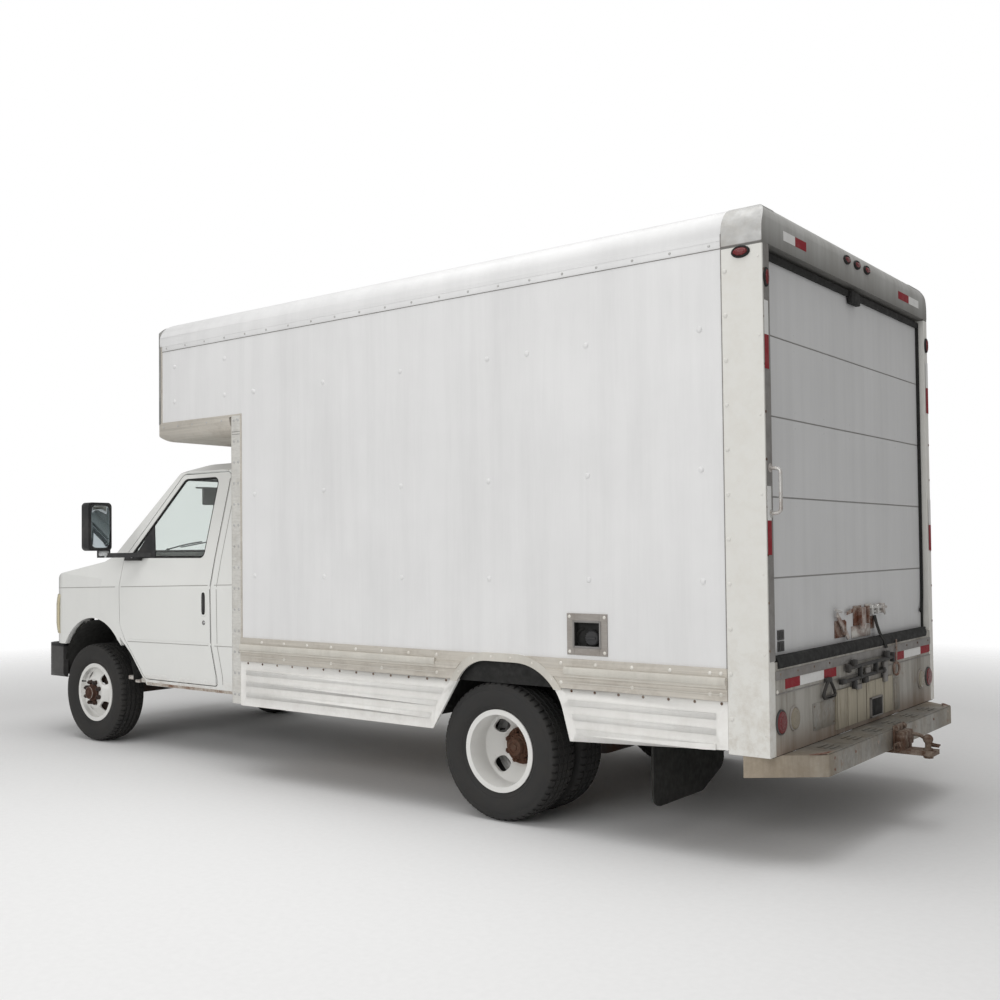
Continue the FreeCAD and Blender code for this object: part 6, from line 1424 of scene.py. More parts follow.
def filler_ring(shape, inset, wide, near, far, bevel, segments, lap=0.0):
    """Four bars round the filler's opening, inset from it: two posts and two rails between them."""
    start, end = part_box("fuel_filler")
    (x0, x1), (z0, z1) = (
        (start[i] + FILLER_BORDER + inset, end[i] - FILLER_BORDER - inset) for i in (0, 2)
    )
    for one, two in (
        ((x0 - wide, z0 - wide), (x0, z1 + wide)),
        ((x1, z0 - wide), (x1 + wide, z1 + wide)),
        ((x0 - lap, z0 - wide), (x1 + lap, z0)),
        ((x0 - lap, z1), (x1 + lap, z1 + wide)),
    ):
        shape.box((one[0], near, one[1]), (two[0], far, two[1]), bevel, segments)


def fuel_filler():
    """A dark recess with a cap and its hose behind a grey frame with four corner screws."""
    low_x, low_z = low("fuel_filler").x, low("fuel_filler").z
    high_x, high_z = high("fuel_filler").x, high("fuel_filler").z
    face = high("fuel_filler").y
    border = FILLER_BORDER
    walls = Shape()
    back = face - 0.034
    walls.box((low_x + border, back, low_z + border), (high_x - border, back + 0.002, high_z - border))
    sheet = 0.003
    filler_ring(walls, sheet, sheet, back, face - 0.001, 0, 2, lap=sheet)
    walls.piece("filler_recess", "seal_black", "chassis", "trim_black")
    middle_z = (low_z + high_z) / 2
    centre = Vector((low_x + border + 0.052, face - 0.030, middle_z - 0.018))
    cap = Shape()
    cap.lathe(
        [(0.036, 0.0), (0.038, 0.004), (0.037, 0.016), (0.033, 0.020), (0.018, 0.0205), (0.0, 0.0205)],
        centre, (0, 1, 0), 40,
    )
    for k in range(20):
        a = 2 * math.pi * k / 20
        spot = centre + Vector((0.0375 * math.cos(a), 0.004, 0.0375 * math.sin(a)))
        cap.box(spot - Vector((0.0025, 0, 0.0025)), spot + Vector((0.0025, 0.012, 0.0025)), 0.001, 1)
    cap.box(centre + Vector((-0.027, 0.018, -0.006)), centre + Vector((0.027, 0.027, 0.006)), 0.004)
    cap.piece("filler_cap", "tank_black", "chassis", "tank_black")
    tether = Shape()
    tether.tube(
        [centre + Vector(p) for p in ((0.030, 0.006, -0.030), (0.052, 0.010, -0.044), (0.078, 0.006, -0.040),
                                      (0.092, 0.002, -0.020))],
        0.0035, 8, 2,
    )
    tether.tube(
        [centre + Vector(p) for p in ((0.055, 0.001, 0.046), (0.086, 0.006, 0.030), (0.094, 0.002, 0.0))],
        0.006, 8, 2
    )
    tether.piece("filler_tether", "flap_rubber", "chassis", "flap_rubber")
    screws = Shape()
    for x in (low_x + 0.016, high_x - 0.016):
        for z in (low_z + 0.016, high_z - 0.016):
            screws.dome((x, face, z), (0, 1, 0), 0.009, 0.0035)
    screws.piece("filler_screws", "rivet_pale", "chassis", "rail_aluminium", angle=DOMED)
    rim = Shape()
    filler_ring(rim, 0, 0.010, face - 0.001, face + 0.004, 0.0015, 1)
    rim.piece("filler_rim", "frame_grey", "chassis", "rail_aluminium")


def filler_frame():
    """The plate round the fuel filler, open in its middle."""
    face = high("fuel_filler").y
    plate = Shape()
    filler_ring(plate, 0, FILLER_BORDER, face - 0.006, face, 0.0012, 1)
    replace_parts(plate.piece("filler_plate", "filler_grey", "chassis", "rail_aluminium"), "fuel_filler")


# ---------------------------------------------------------------- rear

door_face = low("rear_door").x
door_low, door_high = low("rear_door").z, high("rear_door").z
door_half = high("rear_door").y


def rear_seals():
    """The black bulb under the door, its side seal, a black top strip that is partly seal and partly painted
    shade in the recess under the header, and grey strips of painted shade on the left post's track and along
    the door's left edge.
    """
    sill = Shape()
    sill.rod(
        (body_rear + 0.018, -door_half + 0.078, door_low - 0.013),
        (body_rear + 0.018, door_half - 0.030, door_low - 0.016),
        0.034, 16, squash=0.7, aim=(0, 0, 1),
    )
    sill.box(
        (body_rear + 0.022, -door_half, door_low - 0.036), (door_face - 0.001, door_half, door_low + 0.016),
        0.003
    )
    sill.piece("sill_seal", "seal_black", "chassis", "trim_black")
    sides = Shape()
    sides.tube(
        [(door_face - 0.009, -door_half + 0.012, door_high - 0.01),
         (door_face - 0.009, -door_half + 0.012, 1.6),
         (door_face - 0.009, -door_half + 0.016, 1.10), (door_face - 0.012, -door_half + 0.050, 1.03),
         (door_face - 0.014, -door_half + 0.060, 1.06)],
        0.0085, 8, 2,
    )
    sides.box(
        (door_face - 0.010, -door_half, door_low), (door_face, -door_half + 0.022, door_high), 0.002, 1
    )
    # partly a top seal, partly painted shade: the black strip across the door's top, in the recess under the
    # header
    sides.box(
        (door_face - 0.016, -door_half, door_high - 0.034), (door_face, door_half, door_high), 0.004
    )
    sides.box(
        (door_face - 0.034, -0.085, door_high - 0.070), (door_face - 0.004, 0.045, door_high - 0.004), 0.006
    )
    foot = low("rear_frame").z
    sides.box(
        (body_rear + 0.001, -post_face + 0.03, foot - 0.0025),
        (body_rear + 0.05, post_face - 0.03, foot + 0.004), 0
    )
    sides.piece("door_seals_and_shade", "seal_black", "chassis", "trim_black")
    # grey strips of painted shade: on the left post's rear face at its track, and along the door's left edge
    track = Shape()
    track.box(
        (body_rear - 0.0015, door_half + 0.001, 0.93),
        (body_rear + 0.002, post_face - 0.010, cove_low - 0.038), 0
    )
    track.box(
        (body_rear + 0.003, door_half - 0.016, 0.93),
        (body_rear + 0.006, door_half + 0.004, cove_low - 0.038), 0
    )
    track.piece("left_track_shade", "frame_grey", "chassis", "galvanised")
    for side, word in SIDES:
        bolts = Shape()
        rivet_row(
            bolts, (body_rear - 0.0005, (post_face - 0.013) * side, 0.98),
            (body_rear - 0.0005, (post_face - 0.013) * side, 2.70),
            9, (-1, 0, 0), 0.0075, 0.003,
        )
        bolts.piece(f"track_bolts_{word}", "rusty_iron", "chassis", "rusty_iron", angle=DOMED)


def door_details():
    """Hinges between the shutter's panels, end stiles' rivets and the small two-part plate."""
    plate = Shape()
    for z in (0.960, 1.012):
        plate.box((door_face - 0.005, 0.945, z), (door_face, 1.018, z + 0.047), 0.004)
        for k in range(3):
            y = 0.957 + 0.019 * k
            plate.box((door_face - 0.008, y, z + 0.007), (door_face - 0.004, y + 0.011, z + 0.040), 0.001, 1)
    plate.piece("door_plate", "door_slots", "chassis", "trim_black")
    rivets = Shape()
    panels = 5
    tall = (door_high - door_low) / panels
    for k in range(panels):
        for y in (-0.74, -0.37, 0.0, 0.37, 0.74):
            for z in (door_low + tall * k + 0.035, door_low + tall * (k + 1) - 0.040):
                rivets.dome((door_face, y + 0.02, z), (-1, 0, 0), 0.0045, 0.0016, 8)
    rivets.piece("door_rivets", "shutter_grey", "chassis", "shutter_grey", angle=DOMED)
    beads = Shape()
    for k in range(1, panels):
        z = door_low + tall * k - 0.002
        beads.box(
            (door_face - 0.0008, -door_half + 0.02, z - 0.0022),
            (door_face + 0.004, door_half - 0.02, z + 0.0004), 0
        )
    beads.piece("door_joints", "crease_grey", "chassis", "trim_black")
    pull = Shape()
    stand, y = body_rear - 0.050, 1.172
    foot, head = 1.595, 1.803
    pull.tube(
        [(body_rear, y, foot), (stand, y, 1.600), (stand, y, 1.640), (stand, y, 1.760), (stand, y, 1.798),
         (body_rear, y, head)],
        0.0085, 12, 2,
    )
    for z in (foot, head):
        pull.lathe(
            [(0.0, 0.005), (0.019, 0.005), (0.021, 0.003), (0.021, 0.0)], (body_rear, y, z), (-1, 0, 0), 20
        )
    pull.piece("grab_handle", "bright_steel", "chassis", "galvanised")


def door_lock():
    """The shutter's latch: rusty brackets, a worn lever, a hasp, a slide bolt and a strap."""
    face = door_face
    rust = Shape()
    rust.box((face - 0.005, 0.150, 0.972), (face, 0.300, 1.060), 0.003)
    rust.box((face - 0.030, 0.205, 0.985), (face - 0.004, 0.218, 1.055), 0.002)
    rust.box((face - 0.006, -0.085, 1.020), (face - 0.001, 0.030, 1.125), 0.004)
    rust.box((face - 0.030, -0.030, 1.030), (face - 0.005, -0.018, 1.118), 0.003)
    rust.box((face - 0.030, -0.150, 1.025), (face - 0.005, -0.138, 1.120), 0.003)
    arm = ((0.045, 1.118), (0.150, 1.102), (0.158, 1.085), (0.050, 1.095))
    rust.slab([(face - 0.012, y, z) for y, z in arm], (-1, 0, 0), 0.005, 0.001)
    rust.box((face - 0.006, -0.290, 0.990), (face, -0.235, 1.060), 0.003)
    for y, z in (
        (0.165, 0.985), (0.285, 0.985), (0.165, 1.048), (0.015, 1.110), (-0.070, 1.110), (-0.280, 1.050)
    ):
        rust.nut((face - 0.006, y, z), (-1, 0, 0), 0.013, 0.006, 0.3)
    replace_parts(rust.piece("latch_brackets", "rusty_steel", "chassis", "rusty_steel"), "door_latch")
    worn = Shape()
    arm = ((0.318, 1.085), (0.300, 1.108), (0.155, 0.990), (0.135, 0.965), (0.165, 0.958))
    worn.slab([(face - 0.014, y, z) for y, z in arm], (-1, 0, 0), 0.009, 0.003)
    worn.box((face - 0.004, -0.230, 0.955), (face, 0.060, 1.018), 0.003)
    worn.box((face - 0.020, -0.125, 1.000), (face - 0.004, -0.045, 1.115), 0.006)
    worn.box((face - 0.008, -0.245, 1.075), (face, -0.150, 1.128), 0.004)
    worn.piece("latch_lever", "worn_white", "chassis", "rusty_steel")
    steel = Shape()
    steel.rod((face - 0.020, -0.160, 1.112), (face - 0.020, -0.440, 1.100), 0.0085, 12, round_end=0.002)
    steel.rod((face - 0.020, -0.400, 1.101), (face - 0.026, -0.405, 1.060), 0.0065, 10, round_end=0.002)
    steel.rod((face - 0.018, -0.180, 1.088), (face - 0.018, -0.400, 1.078), 0.0055, 10, round_end=0.002)
    steel.rod((face - 0.022, 0.335, 1.120), (face - 0.022, 0.250, 1.105), 0.0060, 10, round_end=0.002)
    for y in (-0.200, -0.290, -0.380):
        steel.box((face - 0.032, y - 0.009, 1.070), (face, y + 0.009, 1.124), 0.003)
    steel.piece("latch_bolt", "bright_steel", "chassis", "galvanised")
    strap = Shape()
    path = ((face - 0.014, -0.262, 1.062), (face - 0.024, -0.268, 1.010), (face - 0.034, -0.285, 0.962),
            (body_rear - 0.006, -0.305, 0.925), (body_rear - 0.009, -0.330, 0.880))
    wide, narrow = Vector((0, 0.020, 0)), Vector((0, 0.019, 0))
    for one, two in zip(path, path[1:]):
        one, two = Vector(one), Vector(two)
        strap.slab([one + wide, two + narrow, two - narrow, one - wide], (-1, 0, 0), 0.003)
    strap.piece("latch_strap", "flap_rubber", "chassis", "flap_rubber")


def lower_panel():
    """The sill's angle, patches, boards of the ramp's end and its black hardware."""
    face = body_rear
    sill = Shape()
    sill.box((face - 0.004, -door_half + 0.004, 0.842), (face, door_half - 0.004, 0.884), 0.002)
    sill.box((face - 0.003, -door_half + 0.004, 0.776), (face, door_half - 0.004, 0.782), 0.001, 1)
    sill.piece("sill_angle", "frame_grey", "chassis", "galvanised")
    patch = Shape()
    patch.box((face - 0.003, 0.440, 0.560), (face, 0.720, 0.690), 0.002)
    patch.box((face - 0.003, -0.560, 0.520), (face, -0.470, 0.700), 0.002)
    patch.piece("panel_patch", "galvanised", "chassis", "galvanised")
    screws = Shape()
    for y in (1.10, 0.90, 0.70, 0.50, -0.50, -0.70, -0.90, -1.10):
        screws.dome((face - 0.004, y, 0.868), (-1, 0, 0), 0.0065, 0.003)
    for y in (0.455, 0.705):
        for z in (0.575, 0.675):
            screws.dome((face - 0.003, y, z), (-1, 0, 0), 0.005, 0.0025)
    screws.piece("panel_screws", "rusty_iron", "chassis", "rusty_iron", angle=DOMED)
    front = low("ramp").x
    top, half = high("ramp").z, high("ramp").y
    boards = Shape()
    edges = [half - 2 * half * k / 6 for k in range(7)]
    for k, (one, two) in enumerate(zip(edges, edges[1:])):
        proud = 0.0015 * (k % 2)
        boards.box(
            (front - 0.001 - proud, two + 0.002, low("ramp").z + 0.002),
            (front + 0.006, one - 0.002, top + 0.006), 0.002
        )
    boards.piece("ramp_boards", "ramp_boards", "chassis", "galvanised")
    black = Shape()
    face = front - 0.004
    black.tube([(face - 0.008, 0.292, 0.822), (face - 0.008, -0.395, 0.826)], 0.0105, 10)
    black.tube(
        [(face - 0.008, 0.390, 0.762), (face - 0.008, 0.330, 0.760), (face - 0.008, -0.265, 0.766)], 0.0095,
        10
    )
    for y, z, wide, tall in (
        (0.205, 0.845, 0.050, 0.030), (0.290, 0.822, 0.034, 0.040), (-0.300, 0.850, 0.050, 0.034),
        (-0.395, 0.826, 0.030, 0.052), (0.370, 0.764, 0.060, 0.026), (0.206, 0.735, 0.030, 0.048),
        (0.045, 0.742, 0.052, 0.030), (-0.235, 0.768, 0.030, 0.030), (0.120, 0.790, 0.022, 0.070),
        (-0.120, 0.796, 0.022, 0.070),
    ):
        black.box(
            (face - 0.020, y - wide / 2, z - tall / 2), (face + 0.003, y + wide / 2, z + tall / 2), 0.004
        )
    black.piece("ramp_latch", "chassis_black", "chassis", "chassis_black")
    steel = Shape()
    steel.box((face - 0.012, -0.310, 0.700), (face + 0.003, -0.255, 0.812), 0.004)
    steel.box((face - 0.008, 0.090, 0.700), (face + 0.003, 0.160, 0.728), 0.003)
    steel.box((face - 0.007, -0.05, 0.768), (face + 0.003, 0.02, 0.802), 0.003)
    steel.piece("ramp_brackets", "frame_grey", "chassis", "galvanised")
    socket = Shape()
    socket.box((face - 0.006, -0.214, 0.538), (face + 0.003, -0.049, 0.628), 0.003)
    socket.piece("ramp_socket", "seal_black", "chassis", "trim_black")
    rim = Shape()
    for start, end in (
        ((-0.222, 0.530), (-0.041, 0.538)), ((-0.222, 0.628), (-0.041, 0.636)),
        ((-0.222, 0.530), (-0.214, 0.636)), ((-0.049, 0.530), (-0.041, 0.636)),
    ):
        rim.box((face - 0.010, start[0], start[1]), (face + 0.003, end[0], end[1]), 0.001, 1)
    rim.piece("ramp_socket_rim", "frame_grey", "chassis", "galvanised")
    handle = Shape()
    face = body_rear
    loop = [
        (0.470, 0.705), (0.610, 0.706), (0.622, 0.722), (0.560, 0.784), (0.542, 0.788), (0.520, 0.780),
        (0.462, 0.720)
    ]
    ring = [(face - 0.016, y, z) for y, z in loop]
    handle.tube([*ring, ring[0], ring[1]], 0.0080, 10, 2)
    handle.box((face - 0.020, 0.505, 0.780), (face, 0.575, 0.800), 0.004)
    handle.piece("ramp_handle", "chassis_black", "chassis", "chassis_black")
    pull = Shape()
    pull.tube(
        [(face - 0.008, -0.500, 0.915), (face - 0.012, -0.494, 0.880), (face - 0.010, -0.492, 0.790)], 0.0045,
        8, 2
    )
    y, z = -0.492, 0.752
    pull.lathe(ring_profile(0.034, 0.0065, 10), (face - 0.010, y, z), (-1, 0.15, 0), 28, closed=True)
    pull.dome((face, y, z), (-1, 0, 0), 0.016, 0.006)
    pull.piece("ring_pull", "rusty_steel", "chassis", "rusty_steel")
    stud = Shape()
    for side in (1, -1):
        stud.dome((face - 0.001, 1.135 * side, 0.790), (-1, 0, 0), 0.010, 0.006)
    stud.piece("panel_studs", "rivet_pale", "chassis", "rail_aluminium", angle=DOMED)


def step_details():
    """Folded lips, end caps, bolts and rust on the step, and the hitch's pins and lever."""
    back, bottom = low("step_bumper").x, low("step_bumper").z
    step_top = low("rear_frame").z - 0.0003
    half = high("step_bumper").y
    lip = Shape()
    inner = half - 0.245
    for side in (1, -1):
        end = inner * side
        corners = ((back + 0.004, 0.0), (back + 0.004, end), (back + 0.012, end), (back + 0.012, 0.0))
        lip.slab([(x, y, step_top - 0.001) for x, y in corners], (0, 0, 1), 0.004, 0.001)
    for y in (-0.75, -0.45, -0.15, 0.15, 0.45, 0.75):
        for k in range(3):
            x = back + 0.045 + 0.030 * k
            lip.slab(
                [(x, y - 0.055, step_top), (x, y + 0.055, step_top), (x + 0.012, y + 0.055, step_top),
                 (x + 0.012, y - 0.055, step_top)],
                (0, 0, 1), 0.0022, 0.0008, 1,
            )
    lip.piece("step_grip", "galvanised", "chassis", "galvanised")
    rust = Shape()
    for side in (1, -1):
        corner = Vector((back + 0.006, inner * side, step_top))
        along = (Vector((body_rear, half * side, step_top)) - corner).normalized()
        rust.slab(
            [corner - Vector((0, 0.13 * side, 0)) + Vector((0.004, 0, 0.0006)),
             corner + Vector((0.004, 0, 0.0006)),
             corner + along * 0.09 + Vector((0.006, 0, 0.0006)),
             corner + along * 0.07 + Vector((0.026, 0, 0.0006)),
             corner + Vector((0.028, -0.03 * side, 0.0006))],
            (0, 0, 1), 0.002, 0.0008, 1,
        )
        for z in (bottom + 0.025, step_top - 0.025):
            rust.dome((back, (inner - 0.07) * side, z), (-1, 0, 0), 0.008, 0.004)
    for y in (-0.62, -0.30, 0.30, 0.62):
        rust.dome((back, y, step_top - 0.035), (-1, 0, 0), 0.008, 0.004)
    rust.piece("step_rust", "rusty_steel", "chassis", "rusty_steel", angle=50)
    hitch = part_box("hitch")
    head = Shape()
    plate_top, tail = 0.400, hitch[0].x
    ball_x = tail + 0.040
    head.box((back - 0.052, -0.066, plate_top - 0.022), (back - 0.008, 0.066, plate_top + 0.088), 0.008)
    head.box((back - 0.009, -0.086, plate_top + 0.006), (back - 0.0005, 0.086, plate_top + 0.120), 0.003)
    for y in (-0.070, 0.070):
        head.nut((back - 0.009, y, plate_top + 0.103), (-1, 0, 0), 0.024, 0.012, 0.3)
    head.rod((back - 0.030, -0.100, plate_top + 0.030), (back - 0.030, 0.100, plate_top + 0.030), 0.010, 12)
    head.nut((ball_x, 0, plate_top - 0.024), (0, 0, -1), 0.044, 0.018)
    head.rod((ball_x, 0, plate_top), (ball_x, 0, plate_top + 0.010), 0.024, 20, round_end=0.003)
    head.piece("hitch_receiver", "rusty_iron", "chassis", "rusty_iron")
    lever = Shape()
    lever.tube(
        [(back - 0.030, -0.085, plate_top + 0.062), (body_rear - 0.25, -0.115, plate_top + 0.055),
         (tail + 0.06, -0.105, plate_top + 0.012), (tail + 0.016, -0.100, plate_top + 0.008)],
        0.0095, 10, 2,
    )
    lever.slab(
        [(tail + 0.016, -0.130, plate_top + 0.004), (tail + 0.016, -0.072, plate_top + 0.004),
         (tail + 0.075, -0.080, plate_top + 0.004), (tail + 0.075, -0.122, plate_top + 0.004)],
        (0, 0, 1), 0.009, 0.002,
    )
    lever.box((back - 0.046, -0.112, plate_top + 0.010), (back - 0.002, -0.067, plate_top + 0.084), 0.006)
    lever.lathe(
        ring_profile(0.020, 0.005, 8), (back - 0.030, 0.104, plate_top + 0.014), (0.3, 1, 0), 24, closed=True
    )
    lever.piece("hitch_lever", "rusty_iron", "chassis", "rusty_iron")


def flap_details():
    """Clamp bars and bolts at the top of the mud flaps."""
    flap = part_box("mud_flaps")
    for side, word in SIDES:
        bar = Shape()
        for x, way in ((flap[0].x, -1), (flap[1].x, 1)):
            bar.box((x, 0.66 * side, 0.655), (x + 0.004 * way, 1.10 * side, 0.690), 0.001, 1)
            for k in range(5):
                bar.nut((x + 0.004 * way, (0.69 + 0.095 * k) * side, 0.6725), (way, 0, 0), 0.016, 0.008, 0.2)
        bar.piece(f"flap_bar_{word}", "rusty_iron", "chassis", "rusty_iron")


# ---------------------------------------------------------------- cab


def strip_on(name, look, nodes, body, slot, path, width, push, side):
    """A ribbon laid on the nodes' outer side along (x, z) points."""
    shape = Shape()
    rows = []
    points = []
    for one, two in zip(path, path[1:]):
        count = max(2, int((Vector(two) - Vector(one)).length / 0.03))
        points += [Vector(one).lerp(Vector(two), k / count) for k in range(count)]
    points.append(Vector(path[-1]))
    for i, p in enumerate(points):
        way = (points[min(i + 1, len(points) - 1)] - points[max(i - 1, 0)]).normalized()
        across = Vector((-way.y, way.x)) * width / 2
        row = []
        for spot in (p - across, p + across):
            hit = None
            for node in nodes:
                place, _ = beside(node, spot.x, spot.y, side)
                if place and (hit is None or place.y * side > hit.y * side):
                    hit = place
            row.append(hit)
        if all(row):
            rows.append([shape.mesh.verts.new(r + Vector((0, side * push, 0))) for r in row])
    for one, two in zip(rows, rows[1:]):
        shape.mesh.faces.new((one[0], one[1], two[1], two[0]))
    bmesh.ops.solidify(shape.mesh, geom=shape.mesh.faces[:], thickness=push * 1.5)
    return shape.piece(name, look, body, slot, angle=50)


def door_rear_edge(side, word, z):
    """Where the door's outer skin begins at a height."""
    x = low(f"door_{word}").x - 0.02
    while x < low(f"door_{word}").x + 0.5:
        place, _ = beside(f"door_{word}", x, z, side)
        if place:
            return x
        x += 0.002
    return None


def cab_side(side, word):
    """Seams behind the door, the body creases with grey lines of painted shade along them, door handle and
    lock, and the rusty sill.
    """
    door = f"door_{word}"
    bottom, top = low(door).z, high(door).z
    edge = []
    for k in range(25):
        z = bottom + 0.012 + (top - bottom - 0.06) * k / 24
        x = door_rear_edge(side, word, z)
        if x:
            edge.append((x, z))
    shell = ("cab_shell",)
    strip_on(f"door_gap_{word}", "seal_black", (door,), door, "trim_black",
             [(x + 0.0040, z) for x, z in edge], 0.005, 0.0006, side)
    strip_on(f"rear_seam_{word}", "crease_grey", shell, "chassis", "trim_black",
             [(x - 0.066, z) for x, z in edge], 0.0055, 0.0008, side)
    wing_line = ((front_axle.x + 0.56, 1.161), (front_axle.x - 0.318, 1.1830))
    door_line = ((front_axle.x - 0.330, 1.1833), (front_axle.x - 1.395, 1.2098))
    shell_line = ((front_axle.x - 1.43, 1.2107), (front_axle.x - 1.80, 1.2200))
    # grey lines of painted shade along the belt crease on the wing, door and pillar
    for part, nodes, body, line in (
        ("wing", ("wings", "cab_shell"), "chassis", wing_line), ("door", (door,), door, door_line),
        ("pillar", shell, "chassis", shell_line),
    ):
        strip_on(
            f"belt_crease_shade_{part}_{word}", "crease_grey", nodes, body, "cab_white", line, 0.005, 0.0007, side
        )
    # the low crease: a raised strip of the cab's paint, with a grey line of painted shade just below it
    for part, nodes, body, line in (
        ("door", (door,), door, ((front_axle.x - 0.40, 0.7916), (front_axle.x - 1.395, 0.8043))),
        ("pillar", shell, "chassis", ((front_axle.x - 1.43, 0.8047), (front_axle.x - 1.80, 0.809))),
    ):
        strip_on(
            f"low_crease_{part}_{word}", "cab_white", nodes, body, "cab_white", line, 0.013, 0.0028, side
        )
        under = [(x, z - 0.011) for x, z in line]
        strip_on(
            f"low_shade_{part}_{word}", "crease_grey", nodes, body, "cab_white", under, 0.004, 0.0006, side
        )
    x = front_axle.x - 1.350
    place, _ = beside(door, x, 1.083, side)
    if place:
        out = Vector((0, side, 0))
        plate = Shape()
        base = place + out * 0.0015
        rim = [base + Vector((dx, 0, dz)) for dx, dz in squarish(24, 0.030, 0.090, 0.45)]
        plate.slab([p - out * 0.012 for p in rim], out, 0.0125, 0.003)
        plate.piece(f"handle_plate_{word}", "cab_white", door, "cab_white")
        recess = Shape()
        shrunk = [base + (p - base) * 0.86 for p in rim]
        recess.slab(
            [Vector((base.x + (p.x - base.x) * 0.74, p.y - side * 0.004, p.z)) for p in shrunk], out, 0.0052,
            0.001
        )
        recess.piece(f"handle_recess_{word}", "seal_black", door, "trim_black")
        paddle = Shape()
        paddle.box(
            (base.x - 0.0155, place.y, 1.022), (base.x + 0.008, place.y + side * 0.0115, 1.146), 0.005
        )
        paddle.piece(f"door_handle_{word}", "trim_black", door, "trim_black")
        lock_place, _ = beside(door, x + 0.001, 0.950, side)
        lock = Shape()
        lock.lathe(
            [
                (0.0, 0.004), (0.005, 0.004), (0.0055, 0.0025), (0.0095, 0.0030), (0.0115, 0.0015),
                (0.0120, -0.002)
            ],
            lock_place, out, 24,
        )
        lock.piece(f"door_lock_{word}", "chrome", door, "rail_aluminium")
        ring = Shape()
        ring.lathe([(0.0120, 0.0012), (0.0155, 0.0012), (0.0158, -0.001)], lock_place, out, 24)
        ring.piece(f"lock_ring_{word}", "seal_black", door, "trim_black")
    hinges = Shape()
    for z in (0.735, 1.085):
        front = None
        x = high(door).x
        while x > high(door).x - 0.2 and not front:
            spot, _ = beside(door, x, z, side)
            front = spot
            x -= 0.002
        if front:
            hinges.rod(
                front + Vector((0.006, -0.014 * side, -0.035)), front + Vector((0.006, -0.014 * side, 0.035)),
                0.008, 12
            )
    hinges.piece(f"door_hinges_{word}", "crease_grey", "chassis", "cab_white")
    rust = Shape()
    sill = low("cab_shell").z
    for k, (x, long, tall, drop) in enumerate((
        (2.165, 0.060, 0.030, 0.030), (2.085, 0.050, 0.022, 0.012), (2.015, 0.040, 0.034, 0.018),
        (1.930, 0.030, 0.016, 0.006),
    )):
        rust.box(
            (x - long / 2, 0.880 * side, sill + drop), (x + long / 2, 0.945 * side, sill + drop + tall), 0.006
        )
        rust.nut((x, 0.945 * side, sill + drop + tall / 2), (0, side, 0), 0.016, 0.007)
    rust.piece(f"sill_bracket_{word}", "worn_white", "chassis", "rusty_steel")
    strip_on(f"sill_rust_{word}", "sill_rust", shell, "chassis", "rusty_steel",
             ((1.98, sill + 0.013), (1.55, sill + 0.012), (0.80, sill + 0.012)), 0.020, 0.0010, side)


def window_trim(side, word):
    """Black seals round the door glass, outside and inside."""
    pane = f"door_glass_{word}"
    edge_band(
        f"glass_seal_{word}", "seal_black", pane, f"door_{word}", (0, side, 0.25), 0.014, 0.004
    )
    edge_band(
        f"glass_seal_inner_{word}", "seal_black", pane, f"door_{word}", (0, -side, -0.25), 0.014,
        0.003
    )


def mirror_details(side, word):
    """The mirror's glass and rim, the arm's clamp and the black base on the door."""
    node, body = f"mirror_{word}", f"door_{word}"
    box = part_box(node)
    outer = max(abs(box[0].y), abs(box[1].y))
    inner = outer - 0.195
    low_z, high_z = box[1].z - 0.350, box[1].z
    face, _ = surface_at(node, (1.0, side * (outer - 0.09), (low_z + high_z) / 2), (1, 0, 0))
    if face is None:
        return
    x = face.x

    def pane(margin, depth, look, name, slot):
        shape = Shape()
        y_mid, z_mid = side * (inner + outer) / 2, (low_z + high_z) / 2
        half_y, half_z = (outer - inner) / 2 - margin, (high_z - low_z) / 2 - margin
        rim = [(x - depth, y_mid + dy, z_mid + dz) for dy, dz in squarish(32, half_y, half_z, 0.35)]
        shape.slab(rim, (1, 0, 0), depth + 0.001, 0.0015)
        return shape.piece(name, look, body, slot)

    pane(0.012, 0.0035, "trim_black", f"mirror_rim_{word}", "trim_black")
    pane(0.022, 0.0050, "mirror_glass", f"mirror_glass_{word}", "tinted_glass")
    sleeve = Shape()
    sleeve.box(
        (x + 0.012, side * (inner + 0.010), low_z - 0.040),
        (x + 0.060, side * (inner + 0.075), low_z + 0.002), 0.010
    )
    sleeve.rod(
        (x + 0.036, side * (inner + 0.042), low_z - 0.050),
        (x + 0.036, side * (inner + 0.042), low_z + 0.004), 0.021, 20
    )
    sleeve.piece(f"mirror_clamp_{word}", "clamp_pale", body, "rail_aluminium")
    root_z = low(f"door_glass_{word}").z
    carved(
        f"sail_base_{word}", "trim_black", body, body,
        (((2.205, 0, 0), (1, 0, 0)), ((1.985, 0, 0), (-1, 0, 0)), ((0, 0, root_z + 0.012), (0, 0, 1)),
         ((0, 0, root_z - 0.020), (0, 0, -1))),
        0.007, keep=lambda f: f.normal.y * side > 0.3,
    )


